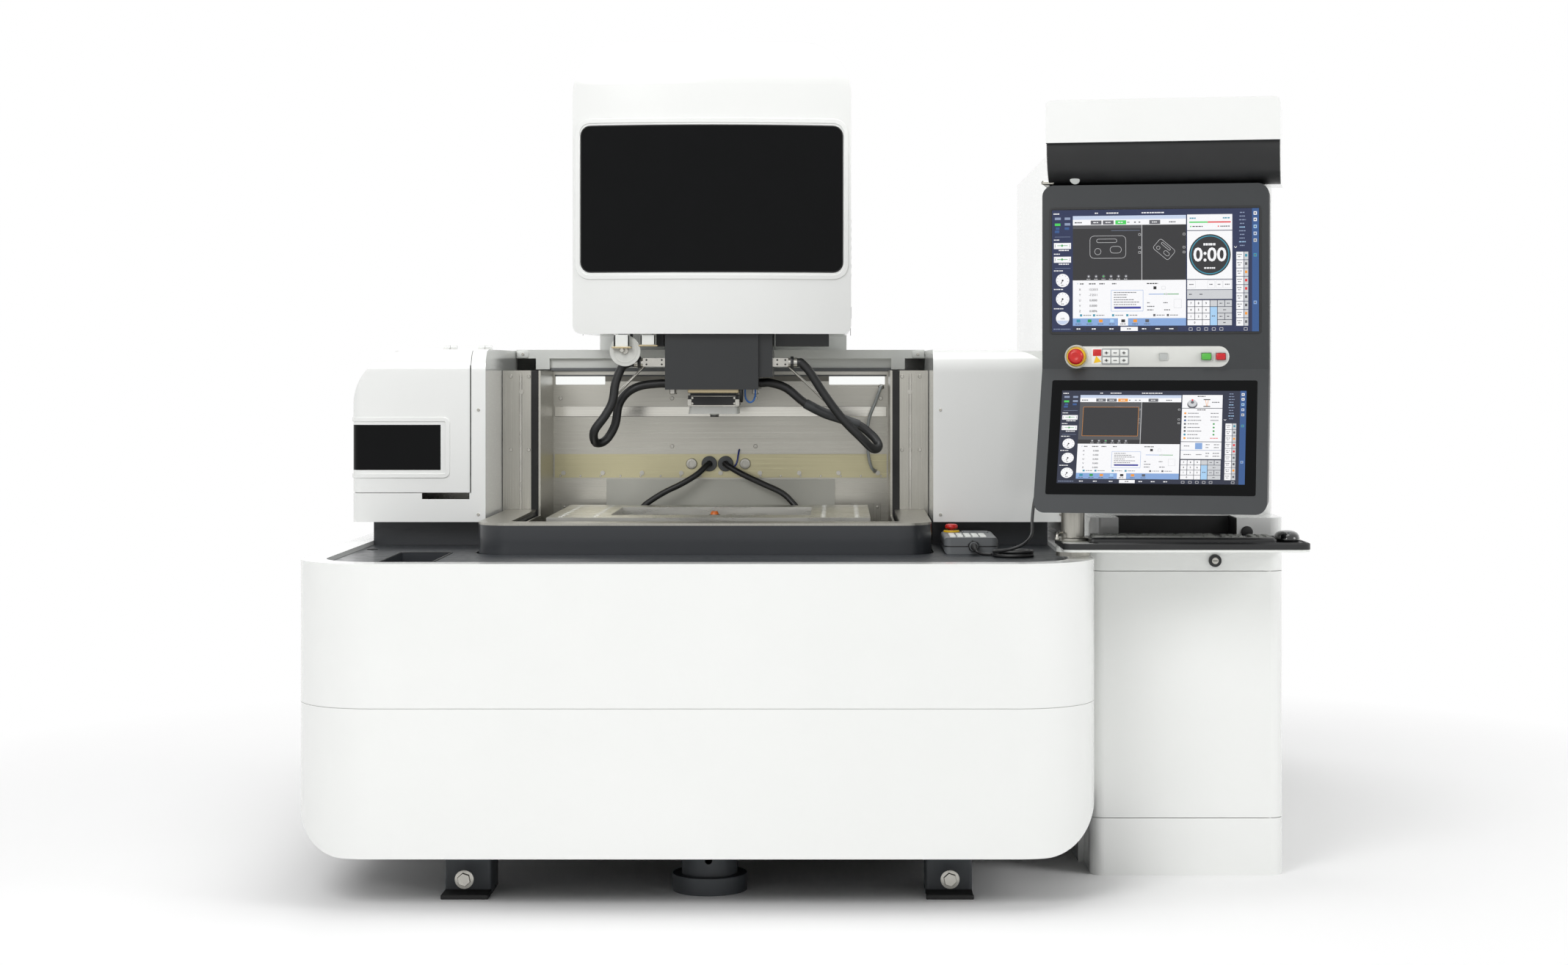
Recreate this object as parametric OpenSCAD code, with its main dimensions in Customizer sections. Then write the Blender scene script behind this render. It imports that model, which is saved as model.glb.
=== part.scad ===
// Wire EDM machine with a fixed table, a lifting three-sided tank door and a swivel console.
// X runs to the right, Y away from the operator, Z up. All lengths are millimetres.

/* [Base] */
// How far the base cover stands outside the wings
skirt_reach = 15; // [10:1:18]
// Depth of the base cover, front to back
skirt_d = 2150; // [2120:1:2200]
// Plan radius of the two front corners of the base cover
skirt_corner_r = 200; // [150:1:260]
// Radius of the lower front corners, seen from the front
skirt_foot_r = 140; // [100:1:180]
// Height of the base cover's lower edge above the floor
skirt_bottom_z = 123; // [115:1:135]
// Height of the seam between the two base covers
skirt_seam_z = 481; // [400:1:560]
// Height of the base cover's rim
skirt_top_z = 826; // [822:1:832]
// Sheet thickness of the base cover
skirt_t = 6; // [4:1:8]
// Width of the rim's inner lip
rim_w = 62; // [50:1:70]
// Height of the dark deck
deck_z = 815; // [812:1:818]
// Thickness of the deck plate
deck_t = 8; // [6:1:10]

/* [Feet] */
// Width of a square foot
foot_w = 114; // [90:1:130]
// How far a square foot's centre stands outside the tub
foot_reach = 93; // [70:1:100]
// Front face of the front feet
foot_front_y = 195; // [180:1:220]
// Radius of the flange under the round mount
mount_flange_r = 92; // [80:1:100]
// Radius of the round mount's neck
mount_neck_r = 69; // [55:1:75]

/* [Tank] */
// How far the tank door stands outside the tub
door_reach = 89; // [86:1:92]
// Thickness of the tank door's walls
door_t = 83; // [76:1:85]
// Front face of the tank door
door_front_y = 453; // [440:1:460]
// Back end of the door's two arms
door_back_y = 1095; // [1085:1:1097]
// Plan radius of the door's outer corners
door_corner_r = 88; // [85:1:120]
// Height of the door's top when it is down
door_top_z = 895; // [885:1:905]
// Height of the door's lower edge when it is down
door_bottom_z = 500; // [485:1:520]
// Height of the tank's fixed rear walls
tank_top_z = 1285; // [1278:1:1295]
// Half width of the tub inside the door
tub_half_w = 497; // [490:1:499]
// Sheet thickness of the tub
tub_t = 6; // [4:1:8]
// Height of the tub's floor
tub_floor_z = 690; // [670:1:700]
// Height of the tub's front rim
tub_rim_z = 878; // [870:1:884]
// Front face of the tank's back wall
wall_y = 1430; // [1425:1:1440]
// Face of the stainless side flanges
flange_y = 1100; // [1098:1:1104]
// Width of the side flanges
flange_w = 100; // [96:1:101]

/* [Table] */
// Gap between the work table and the tub
table_side_gap = 67; // [55:1:80]
// Front edge of the work table
table_front_y = 700; // [680:1:720]
// Back edge of the work table
table_back_y = 1340; // [1320:1:1350]
// Height of the table's top face
table_z = 895; // [893:1:900]
// Thickness of the table
table_t = 50; // [44:1:52]
// Half width of the table's opening, as a share of the table's
table_gap_share = 0.628; // [0.58:0.001:0.66]
// Front edge of the table's opening
table_gap_front_y = 824; // [810:1:840]
// Back edge of the table's opening
table_gap_back_y = 1214; // [1210:1:1230]
// Radius of the clamping holes, tapped M8
table_hole_r = 3.4; // [3:0.1:4]

/* [Wings] */
// Width of a wing
wing_w = 358; // [350:1:366]
// Gap between a side flange and its wing
wing_gap = 2; // [1:0.5:4]
// Front face of the wings
wing_front_y = 760; // [745:1:775]
// Height of the wings' lower edge
wing_bottom_z = 880; // [875:1:890]
// Height of the wings' top
wing_top_z = 1342; // [1335:1:1350]
// Radius of the wings' upper outer corner, as a share of their width
wing_corner_share = 0.447; // [0.34:0.001:0.5]
// Front face of the dark plinth under each wing
plinth_front_y = 828; // [820:1:840]
// Radius of the edge over the wings' front
wing_brow_r = 60; // [40:1:80]
// Width of the fixed inner strip beside the cover, as a share of the wing's
wing_strip_share = 0.109; // [0.09:0.001:0.13]
// Seam under the lift-up cover
wing_seam_z = 958; // [950:1:966]
// Hinge line of the lift-up cover
wing_hinge_y = 1300; // [1280:1:1320]
// Distance of the dark window from the wing's inner side, as a share of the wing's width
window_edge_share = 0.3352; // [0.29:0.001:0.38]
// Lower edge of the wing's dark window
window_low_z = 1019; // [1010:1:1030]
// Upper edge of the wing's dark window
window_high_z = 1140; // [1130:1:1150]

/* [Head] */
// Half width of the head cover
head_half_w = 380; // [370:1:390]
// Front of the head cover at its middle
head_front_y = 850; // [840:1:860]
// Back of the head cover
head_back_y = 1440; // [1420:1:1450]
// Lower edge of the head cover
head_bottom_z = 1385; // [1380:1:1400]
// Top of the head cover
head_top_z = 2190; // [2150:1:2200]
// Radius of the head cover's upper corners
head_corner_r = 155; // [120:1:170]
// How far the head cover's front bows forward
head_bow = 46; // [35:1:55]
// Half width of the dark window in the head cover
head_window_half_w = 358; // [340:1:362]
// Lower edge of the dark window
head_window_low_z = 1552; // [1540:1:1565]
// Height of the head cover above its window
window_brow_h = 238; // [225:1:250]
// Half width of the vertical ram
ram_half_w = 127; // [115:1:135]
// Front face of the vertical ram
ram_front_y = 880; // [875:1:890]
// Depth of the vertical ram
ram_d = 300; // [280:1:310]
// Lower end of the vertical ram
ram_bottom_z = 1233; // [1225:1:1240]
// Place of the wire guides along Y
guide_y = 1050; // [1040:1:1055]
// Lower face of the upper guide
guide_tip_z = 1166; // [1160:1:1172]
// Travel to each side along X
travel_x = 150; // [140:1:150]
// Travel down along Z
travel_down = 160; // [140:1:165]

/* [Column] */
// Half width of the column
column_half_w = 370; // [350:1:375]
// Front face of the column
column_front_y = 1600; // [1595:1:1610]
// Gap between the column and the back of the base cover
column_back_gap = 70; // [66:1:90]
// Top of the column
column_top_z = 2060; // [2000:1:2100]

/* [Console] */
// How far the console's pillar stands inside the base cover
pillar_inset = 44; // [38:1:52]
// Pillar axis along Y
pillar_y = 280; // [272:1:285]
// Radius of the pillar
pillar_r = 29; // [25:1:32]
// Angle that the console is turned to the operator
console_turn = 11; // [0:1:20]
// Width of the console
console_w = 568; // [560:1:580]
// Left edge of the console from the pillar axis
console_left = 89; // [80:1:95]
// Front of the console's upright part, behind the pillar axis
console_front = 115; // [105:1:120]
// Depth of the console's upright part
console_d = 120; // [100:1:130]
// Lower edge of the console
console_bottom_z = 937; // [930:1:945]
// Height where the console's front bends
console_bend_z = 1290; // [1285:1:1292]
// Top of the console
console_top_z = 1755; // [1745:1:1765]
// How far the sloping part reaches forward
console_reach = 212; // [190:1:225]
// Width of the upper screen
screen_w = 518; // [500:1:524]
// Height of the upper screen
screen_h = 308; // [290:1:315]
// Width of the hood
hood_w = 582; // [570:1:590]
// Depth of the hood
hood_d = 250; // [220:1:252]
// Top of the hood
hood_top_z = 1965; // [1950:1:1980]
// Lower front edge of the hood
hood_low_z = 1858; // [1850:1:1870]
// Radius of a round push button
button_r = 10; // [8:1:12]
// Radius of an emergency stop's head
estop_r = 20; // [17:1:22]
// Travel of an emergency stop
estop_travel = 5; // [3:1:6]
// Travel of a push button
button_travel = 3; // [2:1:4]

/* [Tray] */
// How far the tray reaches to the left of the pillar
tray_left_reach = 33; // [31:1:38]
// How far the tray reaches to the right of the pillar
tray_right_reach = 569; // [550:1:572]
// Front edge of the keyboard tray
tray_front_y = 147; // [140:1:155]
// Back edge of the keyboard tray
tray_back_y = 424; // [420:1:425]
// Top of the keyboard tray
tray_z = 862; // [855:1:868]
// Thickness of the keyboard tray
tray_t = 19; // [14:1:22]
// Width of the keyboard
keyboard_w = 460; // [430:1:470]
// Depth of the keyboard
keyboard_d = 150; // [130:1:160]

/* [Cabinets] */
// Width of the tall cabinet
cabinet_w = 510; // [498:1:528]
// Front of the tall electrical cabinet
cabinet_front_y = 610; // [608:1:620]
// Back of the tall electrical cabinet
cabinet_back_y = 2900; // [2850:1:2950]
// Top of the tall electrical cabinet
cabinet_top_z = 1930; // [1900:1:1940]
// Front of the low cabinet
low_front_y = 427; // [426:1:432]
// Gap between the base cover and the low cabinet
low_gap = 15; // [11:1:20]
// Width of the low cabinet
low_w = 492; // [483:1:495]
// Top of the low cabinet
low_top_z = 911; // [905:1:918]
// Upper edge of the low cabinet's door
low_door_top_z = 776; // [760:1:790]
// Lower edge of the low cabinet's door
low_door_bottom_z = 146; // [130:1:160]

/* [Pendant] */
// Gap between the tank door and the pendant, as a share of the deck beside the door
pendant_gap_share = 0.0803; // [0.07:0.001:0.09]
// Width of the pendant
pendant_w = 138; // [120:1:145]
// Front of the pendant
pendant_front_y = 475; // [465:1:480]
// Length of the pendant
pendant_len = 264; // [240:1:270]
// Thickness of the pendant
pendant_t = 42; // [34:1:48]
// Radius of the pendant's cord
cord_r = 4; // [4:0.5:4]

/* [Supply unit] */
// Half width of the dielectric reservoir
supply_half_w = 900; // [850:1:940]
// Height of the dielectric reservoir
supply_top_z = 760; // [700:1:800]
// Radius of a filter canister
filter_r = 150; // [120:1:160]
// Height of a filter canister
filter_h = 480; // [400:1:520]

/* [Hidden] */

// Overrun of cuts, seams between covers, running gap of slides and radial gap of shafts
over = 3;
seam = 1.5;
slide_gap = 0.1;
shaft_gap = 0.05;
$fn = 48;

// Half widths that follow from the tub's, and places along the wings and the deck
door_half_w = tub_half_w + door_reach;
flange_half_w = tub_half_w + flange_w;
table_half_w = tub_half_w - table_side_gap;
table_gap_half_w = table_half_w * table_gap_share;
wing_inner_x = flange_half_w + wing_gap;
wing_half_w = wing_inner_x + wing_w;
skirt_half_w = wing_half_w + skirt_reach;
wing_corner_r = wing_w * wing_corner_share;
wing_seam_x = wing_inner_x + wing_w * wing_strip_share;
window_edge_x = wing_inner_x + wing_w * window_edge_share;
column_back_y = skirt_d - column_back_gap;
foot_span = tub_half_w + foot_reach;
head_window_high_z = head_top_z - window_brow_h;
pillar_x = skirt_half_w - pillar_inset;
tray_left_x = pillar_x - tray_left_reach;
tray_right_x = pillar_x + tray_right_reach;
pendant_left_x = door_half_w + (skirt_half_w - door_half_w) * pendant_gap_share;

// The origin is the middle of the footprint, on the floor
supply_front_y = skirt_d;
cabinet_left_x = skirt_half_w;
cabinet_right_x = cabinet_left_x + cabinet_w;
low_left_x = cabinet_left_x + low_gap;
low_right_x = low_left_x + low_w;
shift_x = -(tray_right_x - skirt_half_w) / 2;
shift_y = -cabinet_back_y / 2;

module placed() translate([shift_x, shift_y, 0]) children();

// Things that turn with the console, built round the pillar's axis
module at_pillar(turn) translate([pillar_x, pillar_y, 0]) rotate([0, 0, -turn]) children();

// A box between two limits along each axis
module slab(x, y, z) translate([x[0], y[0], z[0]]) cube([x[1] - x[0], y[1] - y[0], z[1] - z[0]]);

// A rectangle whose corners have the radii r, from the low corner round by way of high x
module cornered(x, y, r) difference() {
    translate([x[0], y[0]]) square([x[1] - x[0], y[1] - y[0]]);
    for (i = [0:3]) if (r[i] > 0) {
        right = i == 1 || i == 2;
        high = i > 1;
        sx = right ? -1 : 1;
        sy = high ? -1 : 1;
        cx = x[right ? 1 : 0];
        cy = y[high ? 1 : 0];
        difference() {
            translate([cx + sx * (r[i] - over) / 2, cy + sy * (r[i] - over) / 2]) square(r[i] + over, center = true);
            translate([cx + sx * r[i], cy + sy * r[i]]) circle(r[i]);
        }
    }
}

function all4(r) = [r, r, r, r];
function inset(span, t) = [span[0] + t, span[1] - t];
function around(c, half) = [c - half, c + half];

// Slabs with corners rounded in the plan, in the front view and in the side view
module plan_slab(x, y, z, r) translate([0, 0, z[0]]) linear_extrude(z[1] - z[0]) cornered(x, y, r);
module front_slab(x, y, z, r) translate([0, y[1], 0]) rotate([90, 0, 0]) linear_extrude(y[1] - y[0]) cornered(x, z, r);
module side_slab(x, y, z, r) translate([x[0], 0, 0]) rotate([90, 0, 90]) linear_extrude(x[1] - x[0]) cornered(y, z, r);

// Rods along each axis, from one end to the other
module rod_x(x, y, z, r) translate([x[0], y, z]) rotate([0, 90, 0]) cylinder(h = x[1] - x[0], r = r);
module rod_y(x, y, z, r) translate([x, y[1], z]) rotate([90, 0, 0]) cylinder(h = y[1] - y[0], r = r);
module rod_z(x, y, z, r) translate([x, y, z[0]]) cylinder(h = z[1] - z[0], r = r);
module both_sides() for (side = [0, 1]) mirror([side, 0, 0]) children();

// A tube of n sides swept along points, square to the path at both ends
function unit(v) = v / norm(v);
function heading(p, i) = unit(p[min(i + 1, len(p) - 1)] - p[max(i - 1, 0)]);
function side_of(t, up) = unit(cross(t, up));
function rings(p, r, n, up) = [for (i = [0:len(p) - 1])
    let (t = heading(p, i), s = side_of(t, up), b = cross(s, t))
    for (k = [0:n - 1]) p[i] + r * (cos(360 * k / n) * s + sin(360 * k / n) * b)];
module sweep(p, r, n, up) polyhedron(
    points = rings(p, r, n, up),
    faces = concat(
        [[for (k = [n - 1:-1:0]) k]],
        [for (i = [0:len(p) - 2], k = [0:n - 1], h = [0, 1])
            let (a = i * n + k, b = i * n + (k + 1) % n)
            h == 0 ? [a, b, a + n] : [b, b + n, a + n]],
        [[for (k = [0:n - 1]) (len(p) - 1) * n + k]]
    )
);

// A smooth curve through hand-placed points, with the given number of steps between two of them
function blend(a, b, c, d, t) = 0.5 * (2 * b + (c - a) * t + (2 * a - 5 * b + 4 * c - d) * t * t
    + (3 * b - a - 3 * c + d) * t * t * t);
function smooth(p, steps) = concat([for (i = [0:len(p) - 2], k = [0:steps - 1])
    blend(p[max(i - 1, 0)], p[i], p[i + 1], p[min(i + 2, len(p) - 1)], k / steps)], [p[len(p) - 1]]);

// Outline of the base cover, drawn in from its outside by t
module skirt_plan(t) cornered(
    [t - skirt_half_w, skirt_half_w - t], [t, skirt_d - t],
    [skirt_corner_r - t, skirt_corner_r - t, skirt_back_r - t, skirt_back_r - t]
);
skirt_back_r = 70;
module skirt_ring(z, t_out, t_in) translate([0, 0, z[0]]) linear_extrude(z[1] - z[0]) difference() {
    skirt_plan(t_out);
    skirt_plan(t_in);
}

// Feet and bed
foot_shift = 26;
foot_d = 132;
foot_h = 85;
foot_stud_r = 22;
foot_edge_r = 8;
foot_back_gap = 270;
foot_back_y = skirt_d - foot_back_gap;
mount_flange_h = 42;
mount_hole_r = 9;
tub_drain_r = 30;
tub_drain_y = 640;
bed_wall = 45;
bed_side_w = 100;
bed_half_w = foot_span + bed_side_w;
bed_front_y = 190;
bed_ledge_z = 300;
bed_block_gap = 19;
bed_block_half_w = tub_half_w - bed_block_gap;
bed_block_front_y = 565;
bed_rear_reach = 63;
bed_rear_half_w = tub_half_w + bed_rear_reach;
bed_rear_y = 1452;
bed_back_gap = 66;
bed_back_y = skirt_d - bed_back_gap;
bed_rear_z = 700;

module foot(x, y) {
    plan_slab(around(x, foot_w / 2), [y, y + foot_d], [0, foot_h], all4(foot_edge_r));
    rod_z(x, y + foot_d / 2, [foot_h - over, skirt_bottom_z], foot_stud_r);
}

module round_mount(y) difference() {
    union() {
        rod_z(foot_shift, y, [0, mount_flange_h], mount_flange_r);
        rod_z(foot_shift, y, [mount_flange_h - over, skirt_bottom_z], mount_neck_r);
    }
    hole_z = (mount_flange_h + skirt_bottom_z) / 2;
    rod_y(foot_shift, [y - mount_flange_r, y], hole_z, mount_hole_r);
}

module floor_mounts() color([0.62, 0.63, 0.64]) placed() {
    for (side = [-1, 1], y = [foot_front_y, foot_back_y]) foot(foot_shift + side * foot_span, y);
    for (y = [foot_front_y + foot_d / 2, foot_back_y + foot_d / 2]) round_mount(y);
}

module bed_casting() color([0.25, 0.27, 0.28]) placed() {
    bed_body();
    for (side = [-1, 1], y = [foot_front_y, foot_back_y])
        rod_z(foot_shift + side * foot_span, y + foot_d / 2, [skirt_bottom_z, bed_ledge_z - bed_wall / 2], 2 * foot_stud_r);
    rod_z(foot_shift, foot_front_y + foot_d / 2, [skirt_bottom_z, bed_ledge_z - bed_wall / 2], mount_neck_r);
    rod_z(foot_shift, foot_back_y + foot_d / 2, [skirt_bottom_z, bed_rear_z - bed_wall / 2], mount_neck_r);
}

module bed_body() difference() {
    rod_top = tub_floor_z - tub_t + over;
    union() {
        slab(around(0, bed_half_w), [bed_front_y, bed_back_y], [skirt_bottom_z, bed_ledge_z]);
        slab(around(0, bed_block_half_w), [bed_block_front_y, bed_rear_y + over], [bed_ledge_z - over, tub_floor_z - tub_t]);
        slab(around(0, bed_rear_half_w), [bed_rear_y, bed_back_y], [bed_ledge_z - over, bed_rear_z]);
    }
    low = skirt_bottom_z - over;
    rod_z(0, tub_drain_y, [rod_top - 2 * bed_wall, rod_top], tub_drain_r);
    slab(
        around(0, bed_half_w - bed_wall), [bed_front_y + bed_wall, bed_block_front_y - bed_wall],
        [low, bed_ledge_z - bed_wall]
    );
    slab(
        around(0, bed_block_half_w - bed_wall), [bed_block_front_y + bed_wall, bed_rear_y - bed_wall],
        [low, tub_floor_z - tub_t - bed_wall]
    );
    slab(
        around(0, bed_rear_half_w - bed_wall), [bed_rear_y + bed_wall, bed_back_y - bed_wall],
        [low, bed_rear_z - bed_wall]
    );
}

// Base covers and deck
module skirt_front_mask(low) front_slab(
    around(0, skirt_half_w + over), [-over, skirt_d + over], [low, skirt_top_z + over],
    [skirt_foot_r, skirt_foot_r, 0, 0]
);

module skirt_upper() color([0.94, 0.95, 0.95]) placed() {
    skirt_ring([skirt_seam_z + seam / 2, skirt_top_z], 0, skirt_t);
    skirt_ring([skirt_top_z - skirt_t, skirt_top_z], skirt_t / 2, rim_w);
    skirt_ring([deck_z, skirt_top_z], rim_w - skirt_t, rim_w);
}

module skirt_lower() color([0.94, 0.95, 0.95]) placed() intersection() {
    union() {
        skirt_ring([skirt_bottom_z, skirt_seam_z - seam / 2], 0, skirt_t);
        skirt_ring([skirt_seam_z - seam / 2 - skirt_t, skirt_seam_z + seam / 2], skirt_t / 2, rim_w);
    }
    skirt_front_mask(skirt_bottom_z);
}

deck_cut_gap = 6;
pocket_gap = 69;
pocket_w = 127;
pocket_x = [-door_half_w - pocket_gap - pocket_w, -door_half_w - pocket_gap];
pocket_y = [190, 519];
pocket_depth = 150;
pocket_t = 4;
pocket_r = 14;

module deck_panel() color([0.17, 0.18, 0.19]) placed() difference() {
    union() {
        translate([0, 0, deck_z - deck_t]) linear_extrude(deck_t) skirt_plan(skirt_t);
        plan_slab(
            [pocket_x[0] - pocket_t, pocket_x[1] + pocket_t], [pocket_y[0] - pocket_t, pocket_y[1] + pocket_t],
            [deck_z - pocket_depth - pocket_t, deck_z - deck_t / 2], all4(pocket_r)
        );
        both_sides() slab([wing_inner_x, skirt_half_w - rim_w], [plinth_front_y, wing_back_y], [deck_z - deck_t / 2, wing_bottom_z]);
    }
    plan_slab(pocket_x, pocket_y, [deck_z - pocket_depth, deck_z + over], all4(pocket_r));
    plan_slab(
        around(0, door_half_w + deck_cut_gap), [door_front_y - deck_cut_gap, bed_back_y],
        [deck_z - deck_t - over, deck_z + over],
        [door_corner_r, door_corner_r, foot_edge_r, foot_edge_r]
    );
}
wing_back_y = 1436;

// Tank door: a hollow U whose arms point back, with a stainless rim on top
door_skin = 4;
door_inner_r = 20;
door_rim_t = 6;
door_inner_half_w = door_half_w - door_t;
door_inner_y = door_front_y + door_t;

module door_plan(t) difference() {
    cornered(around(0, door_half_w - t), [door_front_y + t, door_back_y - t], [door_corner_r - t, door_corner_r - t, 0, 0]);
    cornered(
        around(0, door_inner_half_w + t), [door_inner_y - t, door_back_y + over],
        [door_inner_r + t, door_inner_r + t, 0, 0]
    );
}

module tank_door() color([0.20, 0.21, 0.22]) placed() difference() {
    translate([0, 0, door_bottom_z]) linear_extrude(door_top_z - door_rim_t - door_bottom_z) door_plan(0);
    translate([0, 0, door_bottom_z - over])
        linear_extrude(door_top_z - door_rim_t - door_skin - door_bottom_z + over) door_plan(door_skin);
}

module door_rim() color([0.72, 0.74, 0.75]) placed()
    translate([0, 0, door_top_z - door_rim_t]) linear_extrude(door_rim_t) door_plan(0);

// Tub under and behind the door
tub_gap = 6;
tub_front_y = door_inner_y + tub_gap;
tub_inner_half_w = tub_half_w - tub_t;

module tank_tub() color([0.66, 0.68, 0.69]) placed() difference() {
    union() {
        slab(around(0, tub_half_w), [tub_front_y, wall_y], [tub_floor_z - tub_t, tub_rim_z]);
        slab(around(0, tub_half_w), [flange_y, wall_y], [tub_rim_z - over, tank_top_z]);
    }
    slab(around(0, tub_inner_half_w), [tub_front_y + tub_t, wall_y + over], [tub_floor_z, tank_top_z + over]);
    rod_z(0, tub_drain_y, [tub_floor_z - tub_t - over, tub_floor_z + over], tub_drain_r);
}

// Back wall with the slot that the lower arm moves along
arm_r = 30;
arm_z = 805;
sleeve_t = 4;
slot_gap = 4;
slot_half_h = arm_r + sleeve_t + slot_gap;
slot_half_w = slot_half_h + travel_x;

module tank_back_wall() color([0.60, 0.62, 0.63]) placed() difference() {
    slab(around(0, tub_half_w), [wall_y, wall_y + tub_t], [tub_floor_z - tub_t, tank_top_z]);
    slab(around(0, slot_half_w), [wall_y - over, wall_y + tub_t + over], around(arm_z, slot_half_h));
}

// Bronze clamping band with its screws, caps and flat earth cables
band_low_z = 970;
band_high_z = 1039;
band_t = 5;
band_bolt_r = 6.5;
band_bolt_h = 7;
band_bolt_z = 984;
band_bolt_count = 9;
band_half_w = tub_inner_half_w - slot_gap;
bolt_span = band_half_w - 4 * band_bolt_r;
flange_screw_z = 1225;
flange_screw_gap = 48;
flange_screw_x = tub_half_w + flange_screw_gap;
flange_screw_h = 4;
flange_t = 4;
flange_low_z = 860;
seal_w = 20;
beam_plate_reach = 3;
beam_plate_half_w = tub_half_w + beam_plate_reach;
beam_bracket_w = 40;
cap_r = 22;
cap_h = 14;
cap_z = 1011;
cap_x = [-33, 15];

module clamp_band() color([0.58, 0.52, 0.42]) placed() {
    slab(around(0, band_half_w), [wall_y - band_t, wall_y], [band_low_z, band_high_z]);
    for (x = cap_x) rod_y(x, [wall_y - band_t - cap_h, wall_y - band_t + over / 2], cap_z, cap_r);
}

module tank_screws() color([0.75, 0.76, 0.77]) placed() {
    for (i = [0:band_bolt_count - 1]) {
        x = bolt_span * (2 * i / (band_bolt_count - 1) - 1);
        rod_y(x, [wall_y - band_t - band_bolt_h, wall_y - band_t], band_bolt_z, band_bolt_r);
    }
    for (side = [-1, 1]) rod_y(side * flange_screw_x, [flange_y - flange_screw_h, flange_y], flange_screw_z, band_bolt_r);
}

module side_flanges() color([0.68, 0.70, 0.71]) placed() both_sides()
    slab([tub_half_w, flange_half_w], [flange_y, flange_y + flange_t], [flange_low_z, tank_top_z]);

module door_seals() color([0.04, 0.04, 0.04]) placed() both_sides()
    slab([tub_half_w, tub_half_w + seal_w], [door_back_y + slide_gap * 3, flange_y], [flange_low_z, tank_top_z]);

// Work table on four blocks
leg_x_share = [67 / 86, 83 / 86];
leg_x = table_half_w * leg_x_share;
leg_y_in = 20;
leg_d = 80;
hole_rows_share = [61 / 86, 79 / 86];
hole_rows_x = table_half_w * hole_rows_share;
hole_first_y = 740;
hole_pitch = 70;
hole_count = 9;
front_row_y = 762;
front_hole_count = 7;
notch_half_w = 34;
notch_d = 30;
notch_share = 116 / 215;
notch_x = table_half_w * notch_share;

module table_supports() color([0.45, 0.46, 0.47]) placed() both_sides()
    for (y = [table_front_y + leg_y_in, table_back_y - leg_y_in - leg_d])
        slab(leg_x, [y, y + leg_d], [tub_floor_z, table_z - table_t]);

module table_hole(x, y) rod_z(x, y, [table_z - table_t - over, table_z + over], table_hole_r);

module work_table() color([0.70, 0.71, 0.72]) placed() difference() {
    slab(around(0, table_half_w), [table_front_y, table_back_y], [table_z - table_t, table_z]);
    slab(
        around(0, table_gap_half_w), [table_gap_front_y, table_gap_back_y],
        [table_z - table_t - over, table_z + over]
    );
    for (side = [-1, 1]) slab(
        around(side * notch_x, notch_half_w), [table_back_y - notch_d, table_back_y + over],
        [table_z - table_t - over, table_z + over]
    );
    for (side = [-1, 1], x = hole_rows_x, i = [0:hole_count - 1]) table_hole(side * x, hole_first_y + i * hole_pitch);
    for (i = [0:front_hole_count - 1]) table_hole((i - (front_hole_count - 1) / 2) * hole_pitch, front_row_y);
}

// Flat earth cables held between the caps on the band and the back of the table
earth_r = 7;
// Routes from a cap to a notch of the table, with x as a share of the way across
earth_routes = [
    [[0, 1411, 1011], [0, 1406, 1011], [0, 1401, 1011], [0.0452, 1388, 1005], [0.1658, 1376, 982],
        [0.3869, 1368, 955], [0.6633, 1362, 928], [0.9095, 1352, 896], [0.9899, 1340, 876], [1, 1324, 870],
        [1, 1317, 870], [1, 1310, 870]],
    [[0, 1411, 1011], [0, 1406, 1011], [0, 1401, 1011], [0.0415, 1388, 1005], [0.235, 1376, 982],
        [0.5023, 1368, 955], [0.7696, 1362, 928], [0.9263, 1352, 896], [0.9908, 1340, 876], [1, 1324, 870],
        [1, 1317, 870], [1, 1310, 870]]
];
earth_end_x = [-notch_x, notch_x];
earth_points = [for (i = [0, 1]) [for (p = earth_routes[i]) [cap_x[i] + p[0] * (earth_end_x[i] - cap_x[i]), p[1], p[2]]]];

module earth_cables() color([0.03, 0.03, 0.03]) placed()
    for (p = earth_points) sweep(smooth(p, 3), earth_r, 8, [1, 0, 0.2]);

// Wings beside the tank. The left one has the wire spool behind a lift-up cover
wing_t = 4;
wing_edge_r = 28;
window_r = 14;
window_back_y = 880;
grip_share = [170 / 358, 43 / 358];
grip_x = [for (share = grip_share) -wing_inner_x - wing_w * share];
grip_h = 17;
spool_y = 1020;
spool_share = 201 / 358;
spool_x = -wing_inner_x - wing_w * spool_share;
spool_z = 1120;
hinge_z = wing_top_z + 9;
hinge_r = 8;
hinge_pin_r = 3;
knuckle_w = 18;
hinge_share = [193 / 358, 93 / 358];
hinge_x = [for (share = hinge_share) -wing_inner_x - wing_w * share];

module wing_body(t) intersection() {
    plan_slab(
        [t - wing_half_w, -wing_inner_x - t], [wing_front_y + t, wing_back_y - t],
        [wing_bottom_z + t, wing_top_z - t], [wing_edge_r - t, 0, 0, 0]
    );
    front_slab(
        [t - wing_half_w, over - wing_inner_x], [wing_front_y - over, wing_back_y + over],
        [wing_bottom_z - over, wing_top_z - t], [0, 0, 0, wing_corner_r - t]
    );
    side_slab(
        [-wing_half_w - over, over - wing_inner_x], [wing_front_y + t, wing_back_y + over],
        [wing_bottom_z - over, wing_top_z - t], [0, 0, 0, wing_brow_r - t]
    );
}

module wing_skin() difference() {
    wing_body(0);
    wing_body(wing_t);
}

// The part of the left wing that lifts, drawn in by t
module cover_zone(t) slab(
    [-wing_half_w - over, -wing_seam_x - t], [wing_front_y - over, wing_hinge_y - t],
    [wing_seam_z + t, wing_top_z + over]
);

module window_zone(t) side_slab(
    [-wing_half_w - over, t - window_edge_x], [wing_front_y - 2 * over, window_back_y + t],
    [window_low_z - t, window_high_z + t], [0, window_r, window_r, 0]
);

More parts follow.
